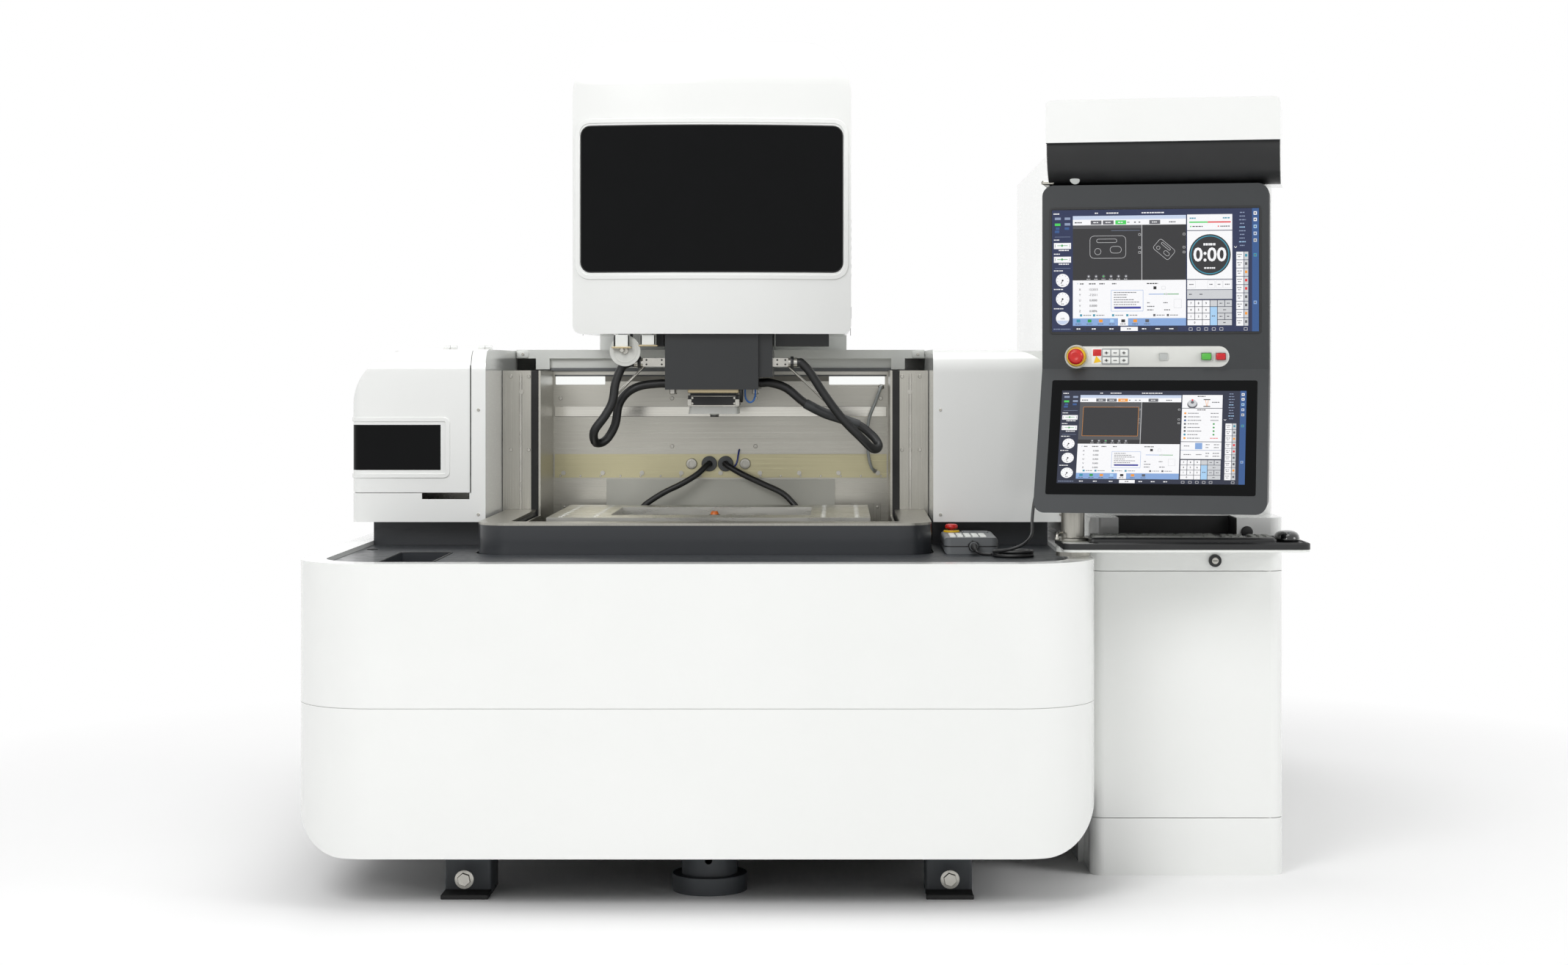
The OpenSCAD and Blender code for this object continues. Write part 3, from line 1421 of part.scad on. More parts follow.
module pendant_estop() color([0.80, 0.05, 0.05]) placed() {
    low = pendant_top_z + pendant_stop_base_h + estop_travel + over / 3;
    rod_z(pendant_stop_x, pendant_stop_y, [low, low + pendant_stop_head_h], pendant_stop_r);
    rod_z(pendant_stop_x, pendant_stop_y, [pendant_top_z - pendant_stop_base_h, low + over / 3], stem_r);
}

// Pendant cord: gland, small pile of loops on the deck, then up to the tall cabinet
cord_gland_r = 12;
cord_gland_len = 32;
cord_gland_y = 660;
cord_gland_z = 1080;

module cord_gland() color([0.05, 0.05, 0.05]) placed()
    rod_x([cabinet_left_x - cord_gland_len, cabinet_left_x], cord_gland_y, cord_gland_z, cord_gland_r);

coil_gap_x = 173;
coil_x = pendant_left_x + coil_gap_x;
coil_y = 384;
coil_r_out = 52;
coil_r_in = 28;
coil_turns = 2;
coil_steps = 24;
coil_layer = 9;
coil_z = 819.4;
// Place along the coil: t runs from 0 to 4 turns, spiralling in and then out one layer higher
function coil_radius(t) = t < coil_turns
    ? coil_r_out - (coil_r_out - coil_r_in) * t / coil_turns
    : coil_r_in + (coil_r_out - coil_r_in) * (t - coil_turns) / coil_turns;
function coil_height(t) = coil_z + coil_layer * min(1, max(0, (t - coil_turns + 1 / 4) * 2));
coil_loops = [for (i = [0:2 * coil_turns * coil_steps])
    let (t = i / coil_steps, a = 180 + 360 * t)
    [coil_x + coil_radius(t) * cos(a), coil_y + coil_radius(t) * sin(a), coil_height(t)]];
coil_end = [0, 2 * cord_r, 0];
coil_points = concat([coil_loops[0] + coil_end], coil_loops, [coil_loops[len(coil_loops) - 1] - coil_end]);
coil_gap = min([for (i = [0:len(coil_points) - 1], j = [i + coil_steps / 2:len(coil_points) - 1])
    norm(coil_points[i] - coil_points[j])]) - 2 * cord_r;
echo("least gap between loops of the coil", coil_gap);

// From the pendant's gland to the coil, with x from the pendant's left side
cord_low_route = [
    [74, 445, 836], [74, 440, 836], [74, 434, 836], [75, 420, 833], [80, 412, 826], [91, 412, 820.5],
    [105, 412, 819.4], [116, 410, 819.4], [121, 402, 819.4], [121, 397, 819.4], [121, 392, 819.4]
];
// From the coil to the cabinet's gland, with x as a share of the way
cord_high_route = [
    [0, 376, 828.4], [0, 371, 828.4], [0, 366, 828.4], [0.0495, 338, 832], [0.1683, 316, 838],
    [0.3366, 316, 850], [0.4554, 345, 872], [0.4851, 400, 905], [0.5347, 470, 945], [0.6238, 545, 995],
    [0.7327, 610, 1042], [0.8614, 648, 1072], [0.9307, 660, 1080], [0.9653, 660, 1080], [1, 660, 1080]
];
cord_rise_x = coil_x - coil_r_out;
cord_points_low = [for (p = cord_low_route) p + [pendant_left_x, 0, 0]];
cord_points_high = [for (p = cord_high_route)
    [cord_rise_x + p[0] * (cabinet_left_x - cord_gland_len - cord_rise_x), p[1], p[2]]];

module pendant_cord() color([0.04, 0.04, 0.04]) placed() {
    sweep(smooth(cord_points_low, 2), cord_r, 8, [0, 0.1, 1]);
    sweep(smooth(cord_points_high, 3), cord_r, 8, [0, 0.1, 1]);
}

module cord_coil() color([0.04, 0.04, 0.04]) placed() sweep(coil_points, cord_r, 6, [0, 0, 1]);

bed_casting();
floor_mounts();
skirt_upper();
skirt_lower();
deck_panel();
tank_tub();
tank_back_wall();
clamp_band();
tank_screws();
side_flanges();
door_seals();
table_supports();
work_table();
earth_cables();
left_wing_shell();
right_wing_shell();
spool_bracket();
cross_beam();
rear_housing();
column();
guide_rails();
dielectric_reservoir();
filter_canisters();
tall_cabinet();
control_cabinet();
console_pillar();
cord_gland();
pendant_cord();
cord_coil();
pendant_body();
tank_door();
door_rim();
x_carriage();
y_ram();
head_cover();
head_window();
z_ram();
ram_side_units();
cable_brackets();
feeder_cables();
wire_roller();
u_slide();
guide_block();
wing_cover();
wing_window();
wire_spool();
lower_carriage();
seal_plate();
lower_arm();
console_housing();
console_screens();
console_hood();
console_estop();
green_button();
red_button();
keyboard_tray();
keyboard_set();
pendant_estop();
cabinet_door();
cam_lock();
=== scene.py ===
# Wire EDM machine dressed for its picture.
# Places are the part's own millimetres; frameOf turns them into the frame's metres.
import math
import bmesh
import bpy
import mathutils
import numpy as np
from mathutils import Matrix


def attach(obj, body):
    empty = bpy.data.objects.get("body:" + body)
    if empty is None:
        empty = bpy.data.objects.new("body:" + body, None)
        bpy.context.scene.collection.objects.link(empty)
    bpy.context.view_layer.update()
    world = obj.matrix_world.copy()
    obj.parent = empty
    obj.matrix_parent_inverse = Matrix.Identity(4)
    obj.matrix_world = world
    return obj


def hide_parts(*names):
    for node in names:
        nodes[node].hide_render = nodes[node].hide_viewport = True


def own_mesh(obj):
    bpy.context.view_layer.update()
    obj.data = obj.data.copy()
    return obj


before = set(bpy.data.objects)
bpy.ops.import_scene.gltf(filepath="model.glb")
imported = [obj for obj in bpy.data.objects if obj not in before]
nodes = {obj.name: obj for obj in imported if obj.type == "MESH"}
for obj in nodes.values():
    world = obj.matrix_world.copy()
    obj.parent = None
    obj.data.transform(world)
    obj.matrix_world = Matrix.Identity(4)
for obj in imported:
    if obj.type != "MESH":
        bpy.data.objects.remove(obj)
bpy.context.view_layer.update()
partOrigin = np.array([262.5, 1450.0, 0.0])  # the frame's origin in the part's millimetres
consoleTurn = math.radians(11)  # the console stands turned on its pillar
pillarSpot = np.array([928.0, 280.0, 0.0])
right, left, forward, backward, upward = (1, 0, 0), (-1, 0, 0), (0, -1, 0), (0, 1, 0), (0, 0, 1)
bothSides = (-1, 1)


def frameOf(points):  # part millimetres to frame metres
    return (np.asarray(points, float) - partOrigin) / 1000


def consoleAt(points):  # the console's own x, y, z to part millimetres: a turn about the pillar
    p = np.asarray(points, float)
    c, s = math.cos(consoleTurn), math.sin(consoleTurn)
    return np.stack([p[..., 0] * c + p[..., 1] * s, p[..., 1] * c - p[..., 0] * s, p[..., 2]], -1) + pillarSpot


def unitOf(v):
    v = np.asarray(v, float)
    return v / np.maximum(np.linalg.norm(v, axis=-1, keepdims=True), 1e-12)


# shapes: each returns (points, faces), and joined() makes one shape of several
def joined(shapes):
    points, faces, start = [], [], 0
    for p, f in shapes:
        points.append(np.asarray(p, float))
        faces += [[int(i) + start for i in face] for face in f]
        start += len(p)
    return np.concatenate(points), faces


# point (i, k) is ring i, place k round it; quads join neighbours, and an n-gon closes each end
def ringSkin(rings, capped=True, loop=False):
    rings = np.asarray(rings, float)
    count, around = rings.shape[:2]
    i, k = np.meshgrid(np.arange(count if loop else count - 1), np.arange(around), indexing="ij")
    j, m = (i + 1) % count, (k + 1) % around
    quads = np.stack(
        [i * around + k, i * around + m, j * around + m, j * around + k], -1
    ).reshape(-1, 4).tolist()
    if capped and not loop:
        quads += [list(range(around))[::-1], list(range((count - 1) * around, count * around))]
    return rings.reshape(-1, 3), quads


# profile is rows of radius and height; a point is place + height * axis + radius turned about it
def lathe(profile, place, axis, sides=32):
    profile = np.asarray(profile, float)
    axis = unitOf(axis)
    side = unitOf(np.cross(axis, [0.3, 0.9, 0.2] if abs(axis[0]) > 0.5 else [1.0, 0.1, 0.2]))
    other = np.cross(axis, side)
    turn = np.arange(sides) * 2 * np.pi / sides
    spoke = np.cos(turn)[:, None] * side + np.sin(turn)[:, None] * other
    return ringSkin(
        np.asarray(place, float) + profile[:, 1, None, None] * axis
        + np.maximum(profile[:, 0, None, None], 0.02) * spoke
    )


def curveThrough(points, steps):  # Catmull-Rom through the given points, steps to each stretch
    p = np.asarray(points, float)
    a, b, c, d = (p[np.clip(np.arange(len(p) - 1) + k, 0, len(p) - 1)] for k in (-1, 0, 1, 2))
    t = (np.arange(steps) / steps)[None, :, None]
    a, b, c, d = (q[:, None] for q in (a, b, c, d))
    body = 0.5 * (2 * b + (c - a) * t + (2 * a - 5 * b + 4 * c - d) * t ** 2 + (3 * b - a - 3 * c + d) * t ** 3)
    return np.concatenate([body.reshape(-1, 3), p[-1:]])


# rings square to the path, carried along it without twist; flat thins them across
def tube(path, radius, sides=12, flat=1.0, up=(0, 0.1, 1)):
    p = np.asarray(path, float)
    radius = np.broadcast_to(np.asarray(radius, float), (len(p),))
    ahead = unitOf(np.gradient(p, axis=0))
    side = np.zeros_like(p)
    last = unitOf(np.cross(ahead[0], up))
    for n, direction in enumerate(ahead):
        last = unitOf(last - direction * (last @ direction))
        side[n] = last
    other = np.cross(ahead, side)
    turn = np.arange(sides) * 2 * np.pi / sides
    rings = p[:, None] + radius[:, None, None] * (
        np.cos(turn)[None, :, None] * side[:, None] + flat * np.sin(turn)[None, :, None] * other[:, None]
    )
    return ringSkin(rings)


def roundedLoop(w, h, r, steps=6):  # a rectangle w by h about zero with corners of radius r, anticlockwise
    r = max(min(r, w / 2 - 1e-3, h / 2 - 1e-3), 1e-3)
    turn = (np.arange(4)[:, None] + np.arange(steps + 1)[None, :] / steps) * np.pi / 2
    corner = np.array([[1, 1], [-1, 1], [-1, -1], [1, -1]]) * [w / 2 - r, h / 2 - r]
    return (corner[:, None] + r * np.stack([np.cos(turn), np.sin(turn)], -1)).reshape(-1, 2)


# a rounded plate whose back lies at centre and whose face stands thick off it
def plate(centre, across, up, w, h, r, thick, bevel=0.6, steps=6):
    across, up = unitOf(across), unitOf(up)
    out = np.cross(across, up)
    bevel = min(bevel, thick * 0.45, w * 0.2, h * 0.2)
    levels = [(0, 0), (0, thick - bevel), (bevel * 0.3, thick - bevel * 0.3), (bevel, thick)]
    rings = []
    for inset, height in levels:
        loop = roundedLoop(w - 2 * inset, h - 2 * inset, r - inset, steps)
        rings.append(np.asarray(centre, float) + loop[:, :1] * across + loop[:, 1:] * up + height * out)
    return ringSkin(rings)


# a flat rounded frame: rings out, up, in and down again round its opening
def hoop(centre, across, up, w, h, r, wide, thick, bevel=0.5, steps=6):
    across, up = unitOf(across), unitOf(up)
    out = np.cross(across, up)
    levels = [
        (0, 0), (0, thick - bevel), (bevel, thick), (wide - bevel, thick), (wide, thick - bevel), (wide, 0)
    ]
    rings = []
    for inset, height in levels:
        loop = roundedLoop(w - 2 * inset, h - 2 * inset, r - inset, steps)
        rings.append(np.asarray(centre, float) + loop[:, :1] * across + loop[:, 1:] * up + height * out)
    return ringSkin(rings, loop=True)


# boxes are rows of low and high corner; each is four stacked rings with cut corners
def blocks(boxes, bevel=1.0):
    boxes = np.asarray(boxes, float).reshape(-1, 2, 3)
    mid, half = boxes.mean(1)[:, None, None], ((boxes[:, 1] - boxes[:, 0]) / 2)[:, None, None]
    cut = np.minimum(bevel, half.min(-1, keepdims=True) * 0.6)
    signs = np.array(
        [
            [1, 1, 0, 1], [1, 1, 1, 0], [-1, 1, 1, 0], [-1, 1, 0, 1], [-1, -1, 0, 1], [-1, -1, 1, 0],
            [1, -1, 1, 0], [1, -1, 0, 1]
        ],
        float
    )
    flip = np.array([[1, 0], [0, 1], [0, 1], [1, 0], [1, 0], [0, 1], [0, 1], [1, 0]], float)
    inset = np.array([1, 0, 0, 1.0])[None, :, None]
    level = np.array([-1, -1, 1, 1.0])[None, :, None]
    x = signs[:, 0] * (half[..., 0] - cut[..., 0] * (inset + flip[:, 0]))
    y = signs[:, 1] * (half[..., 1] - cut[..., 0] * (inset + flip[:, 1]))
    z = level * (half[..., 2] - cut[..., 0] * (1 - inset)) + 0 * x
    rings = np.stack([x, y, z], -1) + mid
    return joined([ringSkin(r) for r in rings])


def latheRow(profile, places, axis, sides=32):  # the same turned shape at each place
    return joined([lathe(profile, place, axis, sides) for place in places])


def plateRow(places, across, up, *size):  # the same plate at each place
    return joined([plate(place, across, up, *size) for place in places])


def onConsole(shape):
    return consoleAt(shape[0]), shape[1]


# millimetre shape to a Blender piece that rides on body
def makePiece(name, shape, material, body, smooth=35, closed=True, colours=None):
    points, faces = shape
    mesh = bpy.data.meshes.new(name)
    mesh.from_pydata(frameOf(points).tolist(), [], faces)
    if colours is not None:
        layer = mesh.attributes.new("ink", "FLOAT_COLOR", "POINT")
        layer.data.foreach_set("color", np.asarray(colours, np.float32).ravel())
    if closed:
        shell = bmesh.new()
        shell.from_mesh(mesh)
        bmesh.ops.recalc_face_normals(shell, faces=shell.faces)
        shell.to_mesh(mesh)
        shell.free()
    mesh.materials.append(material)
    piece = bpy.data.objects.new(name, mesh)
    bpy.context.scene.collection.objects.link(piece)
    mesh.shade_smooth()
    mesh.set_sharp_from_angle(angle=math.radians(smooth))
    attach(piece, body)
    return piece


# the camera first: level, in front of the head, framed off centre as the picture is
cameraView = {
    "place": (341.0, -6100.0, 1295.0), "focalPixels": 3493.0, "centrePixel": (1140.0, 500.0),
    "image": (2136, 1315)
}


def setCamera(v):
    lens = bpy.data.cameras.new("Camera")
    wide, high = v["image"]
    lens.sensor_width = 36
    lens.lens = v["focalPixels"] / wide * 36
    lens.shift_x = (wide / 2 - v["centrePixel"][0]) / wide
    lens.shift_y = (v["centrePixel"][1] - high / 2) / wide
    lens.clip_start, lens.clip_end = 0.1, 100
    camera = bpy.data.objects.new("Camera", lens)
    camera.location = frameOf(v["place"])
    camera.rotation_euler = (math.pi / 2, 0, 0)
    bpy.context.scene.collection.objects.link(camera)
    bpy.context.scene.camera = camera


setCamera(cameraView)
print("camera set")


# finishes: the effects that several materials share are node groups, and each material sets its own values
def tint(code, alpha=1.0):  # a written sRGB colour to linear
    parts = [int(code[k:k + 2], 16) / 255 for k in (1, 3, 5)]
    return tuple(c / 12.92 if c <= 0.04045 else ((c + 0.055) / 1.055) ** 2.4 for c in parts) + (alpha,)


class NodeTree:  # short hand for placing nodes and joining them
    def __init__(self, tree):
        self.tree = tree

    def add(self, kind, inputs=None, **settings):
        node = self.tree.nodes.new(kind)
        for key, value in settings.items():
            setattr(node, key, value)
        for key, value in (inputs or {}).items():
            self.feed(node.inputs[key], value)
        return node

    def feed(self, socket, value):
        if isinstance(value, bpy.types.NodeSocket):
            self.tree.links.new(value, socket)
        else:
            socket.default_value = value

    def math(self, operation, a, b=0.0, clamp=False):
        node = self.add("ShaderNodeMath", operation=operation, use_clamp=clamp)
        self.feed(node.inputs[0], a)
        self.feed(node.inputs[1], b)
        return node.outputs[0]

    def mix(self, share, a, b):
        node = self.add("ShaderNodeMix", data_type="RGBA")
        self.feed(node.inputs[0], share)
        self.feed(node.inputs[6], a)
        self.feed(node.inputs[7], b)
        return node.outputs[2]

    def spread(self, value, low, high, toLow, toHigh):
        node = self.add("ShaderNodeMapRange", clamp=True)
        for k, v in enumerate((value, low, high, toLow, toHigh)):
            self.feed(node.inputs[k], v)
        return node.outputs[0]


def effectGroup(name, inputs, build):
    group = bpy.data.node_groups.new(name, "ShaderNodeTree")
    kinds = {"c": "NodeSocketColor", "f": "NodeSocketFloat", "v": "NodeSocketVector"}
    for label, kind, value in inputs:
        socket = group.interface.new_socket(name=label, in_out="INPUT", socket_type=kinds[kind])
        socket.default_value = value
    for label, kind in (("Color", "c"), ("Roughness", "f"), ("Height", "f")):
        group.interface.new_socket(name=label, in_out="OUTPUT", socket_type=kinds[kind])
    t = NodeTree(group)
    source, result = t.add("NodeGroupInput"), t.add("NodeGroupOutput")
    for label, value in build(t, source.outputs).items():
        t.feed(result.inputs[label], value)
    return group


def buildPaint(t, given):  # sprayed paint: slow drift of tone, fine orange peel, a few fine rubs
    place = t.add("ShaderNodeTexCoord").outputs["Object"]
    drift = t.add("ShaderNodeTexNoise", {"Vector": place, "Scale": 1.7, "Detail": 3.0}).outputs[0]
    peel = t.add(
        "ShaderNodeTexNoise", {"Vector": place, "Scale": given["Peel scale"], "Detail": 2.0}
    ).outputs[0]
    stretched = t.add("ShaderNodeMapping", {"Vector": place, "Scale": (9.0, 9.0, 70.0)}).outputs[0]
    rubs = t.add(
        "ShaderNodeTexNoise", {"Vector": stretched, "Scale": 3.0, "Detail": 5.0, "Roughness": 0.7}
    ).outputs[0]
    share = t.math("MULTIPLY", t.spread(drift, 0.35, 0.65, 0.0, 1.0), given["Drift"])
    rough = t.math(
        "ADD", given["Gloss loss"], t.math("MULTIPLY", t.spread(rubs, 0.5, 0.75, 0.0, 1.0), given["Rubs"])
    )
    return {"Color": t.mix(share, given["Paint"], given["Shade"]), "Roughness": rough, "Height": peel}


def buildBrushed(t, given):  # brushed sheet: long streaks along one axis over a slow drift
    place = t.add("ShaderNodeTexCoord").outputs["Object"]
    stretched = t.add("ShaderNodeMapping", {"Vector": place, "Scale": given["Stretch"]}).outputs[0]
    streaks = t.add(
        "ShaderNodeTexNoise", {"Vector": stretched, "Scale": 1.0, "Detail": 6.0, "Roughness": 0.65}
    ).outputs[0]
    drift = t.add("ShaderNodeTexNoise", {"Vector": place, "Scale": 6.0, "Detail": 4.0}).outputs[0]
    tone = t.math("ADD", t.math("MULTIPLY", streaks, 0.6), t.math("MULTIPLY", drift, 0.4))
    share = t.math("MULTIPLY", t.spread(tone, 0.35, 0.65, 0.0, 1.0), given["Drift"])
    rough = t.math(
        "ADD", given["Gloss loss"], t.math("MULTIPLY", t.spread(streaks, 0.3, 0.7, -0.5, 0.5), given["Rubs"])
    )
    return {"Color": t.mix(share, given["Metal"], given["Shade"]), "Roughness": rough, "Height": streaks}


# moulded or cast skin: fine pebble grain and soft blotches
def buildGrain(t, given):
    place = t.add("ShaderNodeTexCoord").outputs["Object"]
    grain = t.add(
        "ShaderNodeTexVoronoi", {"Vector": place, "Scale": given["Grain scale"]}, feature="SMOOTH_F1"
    ).outputs[0]
    blotch = t.add("ShaderNodeTexNoise", {"Vector": place, "Scale": 14.0, "Detail": 5.0}).outputs[0]
    share = t.math("MULTIPLY", t.spread(blotch, 0.4, 0.7, 0.0, 1.0), given["Drift"])
    rough = t.math(
        "ADD", given["Gloss loss"], t.math("MULTIPLY", t.spread(blotch, 0.3, 0.7, -0.5, 0.5), given["Rubs"])
    )
    return {"Color": t.mix(share, given["Base"], given["Shade"]), "Roughness": rough, "Height": grain}


grey = tint("#808080")
paintGroup = effectGroup(
    "sprayedPaint",
    [
        ("Paint", "c", grey), ("Shade", "c", grey), ("Drift", "f", 0.3), ("Peel scale", "f", 420.0),
        ("Gloss loss", "f", 0.25), ("Rubs", "f", 0.06)
    ],
    buildPaint
)
brushedGroup = effectGroup(
    "brushedSheet",
    [
        ("Metal", "c", grey), ("Shade", "c", grey), ("Drift", "f", 0.5), ("Stretch", "v", (4.0, 4.0, 500.0)),
        ("Gloss loss", "f", 0.3), ("Rubs", "f", 0.15)
    ],
    buildBrushed
)
grainGroup = effectGroup(
    "mouldedGrain",
    [
        ("Base", "c", grey), ("Shade", "c", grey), ("Drift", "f", 0.4), ("Grain scale", "f", 900.0),
        ("Gloss loss", "f", 0.45), ("Rubs", "f", 0.12)
    ],
    buildGrain
)


# a material with its own Principled, fed by one effect group
def finishOf(name, group, values, bump=0.1, distance=0.0005, **sockets):
    material = bpy.data.materials.new(name)
    material.use_nodes = True
    t = NodeTree(material.node_tree)
    shader = material.node_tree.nodes["Principled BSDF"]
    effect = t.add("ShaderNodeGroup", node_tree=group)
    for key, value in values.items():
        effect.inputs[key].default_value = value
    t.feed(shader.inputs["Base Color"], effect.outputs["Color"])
    t.feed(shader.inputs["Roughness"], effect.outputs["Roughness"])
    relief = t.add(
        "ShaderNodeBump", {"Height": effect.outputs["Height"], "Strength": bump, "Distance": distance}
    )
    t.feed(shader.inputs["Normal"], relief.outputs["Normal"])
    for key, value in sockets.items():
        shader.inputs[key.replace("_", " ")].default_value = value
    return material


def paint(name, colour, shade, gloss=0.25, coat=0.4, **values):
    return finishOf(
        name, paintGroup, {"Paint": tint(colour), "Shade": tint(shade), "Gloss loss": gloss, **values},
        bump=0.06, Coat_Weight=coat, Coat_Roughness=0.08
    )


def brushed(name, colour, shade, stretch, gloss=0.32, rubs=0.16, **values):
    return finishOf(
        name, brushedGroup,
        {
            "Metal": tint(colour), "Shade": tint(shade), "Stretch": stretch, "Gloss loss": gloss, "Rubs": rubs,
            **values
        },
        bump=0.05, distance=0.0002, Metallic=1.0
    )


def moulded(name, colour, shade, gloss=0.45, bump=0.12, metallic=0.0, **values):
    return finishOf(
        name, grainGroup, {"Base": tint(colour), "Shade": tint(shade), "Gloss loss": gloss, **values},
        bump=bump, distance=0.0003, Metallic=metallic
    )


# finishes for the solids: one row for each finish, with the solids that wear it
alongX, alongZ, flatX = (3.0, 30.0, 520.0), (520.0, 520.0, 3.0), (3.0, 520.0, 30.0)
gloss = {
    "white": paint("glossWhitePaint", "#f1f2f0", "#e9ebe8", gloss=0.16, coat=0.55),
    "softWhite": paint("satinWhitePaint", "#eceeea", "#e3e5e1", gloss=0.32, coat=0.15),
    "charcoal": paint("charcoalPaint", "#2a2d31", "#33363a", gloss=0.3, coat=0.2, Rubs=0.14),
    "deck": paint("deckPaint", "#25282c", "#2e3136", gloss=0.38, coat=0.1, Rubs=0.16)
}
steel = {
    "wall": brushed("brushedWallSheet", "#b3b1a9", "#a6a49c", (1.2, 30.0, 1400.0), Drift=0.25),
    "trim": brushed("brushedTrim", "#b5b3ab", "#8f8d86", alongZ),
    "table": brushed("groundTableTop", "#d9d8d2", "#c6c5bf", flatX, gloss=0.28, Drift=0.35),
    "gold": brushed("passivatedBand", "#b9b394", "#aaa487", alongX, gloss=0.34, Drift=0.35),
    "bolt": moulded("steelScrews", "#b9b7b0", "#8b8983", gloss=0.28, metallic=1.0),
    "rail": brushed("groundRails", "#bcbcba", "#8d8d8b", alongZ, gloss=0.2)
}
plastic = {
    "body": moulded("consoleCasing", "#26292b", "#2f3234", gloss=0.5),
    "black": moulded("blackPlastic", "#131415", "#1e1f20", gloss=0.4),
    "rubber": moulded("rubberSeal", "#121212", "#1c1c1c", gloss=0.62),
    "cable": moulded("cableJacket", "#141516", "#222324", gloss=0.42),
    "iron": moulded("paintedIron", "#303438", "#3c4044", gloss=0.48, bump=0.25),
    "grey": moulded("greyCasting", "#6f7274", "#5a5d5f", gloss=0.42, bump=0.2),
    "feet": moulded("footIron", "#3d4145", "#4c5054", gloss=0.5, bump=0.25),
    "pale": moulded("paleMoulding", "#d9dad5", "#c9cac5", gloss=0.4),
    "ram": paint("ramPaint", "#15181a", "#1e2123", gloss=0.36, coat=0.08)
}
glass = {
    "dark": moulded("smokedWindow", "#050607", "#0b0c0e", gloss=0.08, bump=0.01, Drift=0.2, Rubs=0.03),
    "screen": moulded("screenGlass", "#040506", "#08090b", gloss=0.07, bump=0.0, Rubs=0.02)
}
for pane in glass.values():
    pane.node_tree.nodes["Principled BSDF"].inputs["Specular IOR Level"].default_value = 0.12
signal = {
    "red": moulded("stopRed", "#c8201c", "#b01a17", gloss=0.3),
    "green": moulded("startGreen", "#58b947", "#4ba63c", gloss=0.25),
    "offRed": moulded("offRed", "#c81a22", "#a8141a", gloss=0.25),
    "brass": brushed("spoolBrass", "#c99a4a", "#9c7433", (3.0, 900.0, 3.0), gloss=0.28),
    "yellow": moulded("warningYellow", "#f1c414", "#dcb010", gloss=0.35)
}
sealPaint = paint("paleSealPanel", "#cfcfc6", "#c4c4bb", gloss=0.35, coat=0.1)
wears = [
    (
        gloss["white"],
        "skirt_upper skirt_lower head_cover wing_cover left_wing_shell right_wing_shell rear_housing "
        "console_hood control_cabinet tall_cabinet cabinet_door"
    ),
    (gloss["softWhite"], "cross_beam column keyboard_tray"), (gloss["charcoal"], "tank_door"),
    (gloss["deck"], "deck_panel"), (steel["wall"], "tank_back_wall tank_tub"), (sealPaint, "seal_plate"),
    (steel["gold"], "clamp_band"), (steel["trim"], "side_flanges door_rim console_pillar lower_arm"),
    (steel["bolt"], "tank_screws cable_brackets spool_bracket"), (steel["table"], "work_table"),
    (steel["rail"], "guide_rails"),
    (plastic["iron"], "bed_casting x_carriage y_ram lower_carriage u_slide table_supports"),
    (plastic["feet"], "floor_mounts"), (plastic["ram"], "z_ram ram_side_units"),
    (plastic["rubber"], "door_seals"), (plastic["black"], "cord_gland guide_block cam_lock keyboard_set"),
    (plastic["cable"], "earth_cables feeder_cables pendant_cord cord_coil"),
    (plastic["body"], "console_housing"), (plastic["pale"], "wire_roller"),
    (glass["dark"], "head_window wing_window"), (glass["screen"], "console_screens"),
    (signal["red"], "console_estop pendant_estop"), (signal["green"], "green_button"),
    (signal["offRed"], "red_button"), (signal["brass"], "wire_spool"), (plastic["grey"], "pendant_body"),
    (gloss["softWhite"], "dielectric_reservoir filter_canisters")
]
for finish, names in wears:
    for name in names.split():
        skin = nodes[name].data.materials
        skin.clear()
        skin.append(finish)
print("solids finished", len(nodes))

# the cords and cables, on the routes of the part's source
pendantLead = {
    "radius": 4.0,
    "coil": {
        "centre": (790.0, 384.0), "outer": 52.0, "inner": 28.0, "turns": 2, "steps": 24, "layer": 9.0,
        "level": 819.4
    },
    "low": [
        (691, 445, 836), (691, 440, 836), (691, 434, 836), (692, 420, 833), (697, 412, 826), (708, 412, 820.5),
        (722, 412, 819.4), (733, 410, 819.4), (738, 402, 819.4), (738, 397, 819.4), (738, 392, 819.4)
    ],
    "high": [
        (738, 376, 828.4), (738, 371, 828.4), (738, 366, 828.4), (748, 338, 832), (772, 316, 838),
        (806, 316, 850), (830, 345, 872), (836, 400, 905), (846, 470, 945), (864, 545, 995), (886, 610, 1042),
        (912, 648, 1072), (926, 660, 1080), (933, 660, 1080), (940, 660, 1080)
    ]
}
feederRoutes = {
    "radius": 12.0,
    "left": [
        (-214, 930, 1307), (-220, 930, 1307), (-226, 930, 1307), (-248, 930, 1294), (-266, 930, 1250),
        (-274, 930, 1200), (-295, 930, 1160), (-325, 935, 1118), (-322, 960, 1086), (-296, 984, 1094),
        (-272, 990, 1135), (-262, 990, 1190), (-238, 990, 1224), (-200, 990, 1243), (-150, 990, 1249),
        (-138, 990, 1249), (-127, 990, 1249)
    ],
    "right": [
        (232, 930, 1307), (237, 930, 1307), (242, 930, 1307), (266, 930, 1282), (305, 930, 1222),
        (355, 930, 1154), (406, 932, 1102), (440, 945, 1070), (456, 970, 1076), (444, 984, 1100),
        (402, 990, 1134), (352, 990, 1152), (305, 990, 1168), (254, 990, 1194), (202, 990, 1236),
        (157, 990, 1251), (139, 990, 1251), (119, 990, 1251)
    ]
}
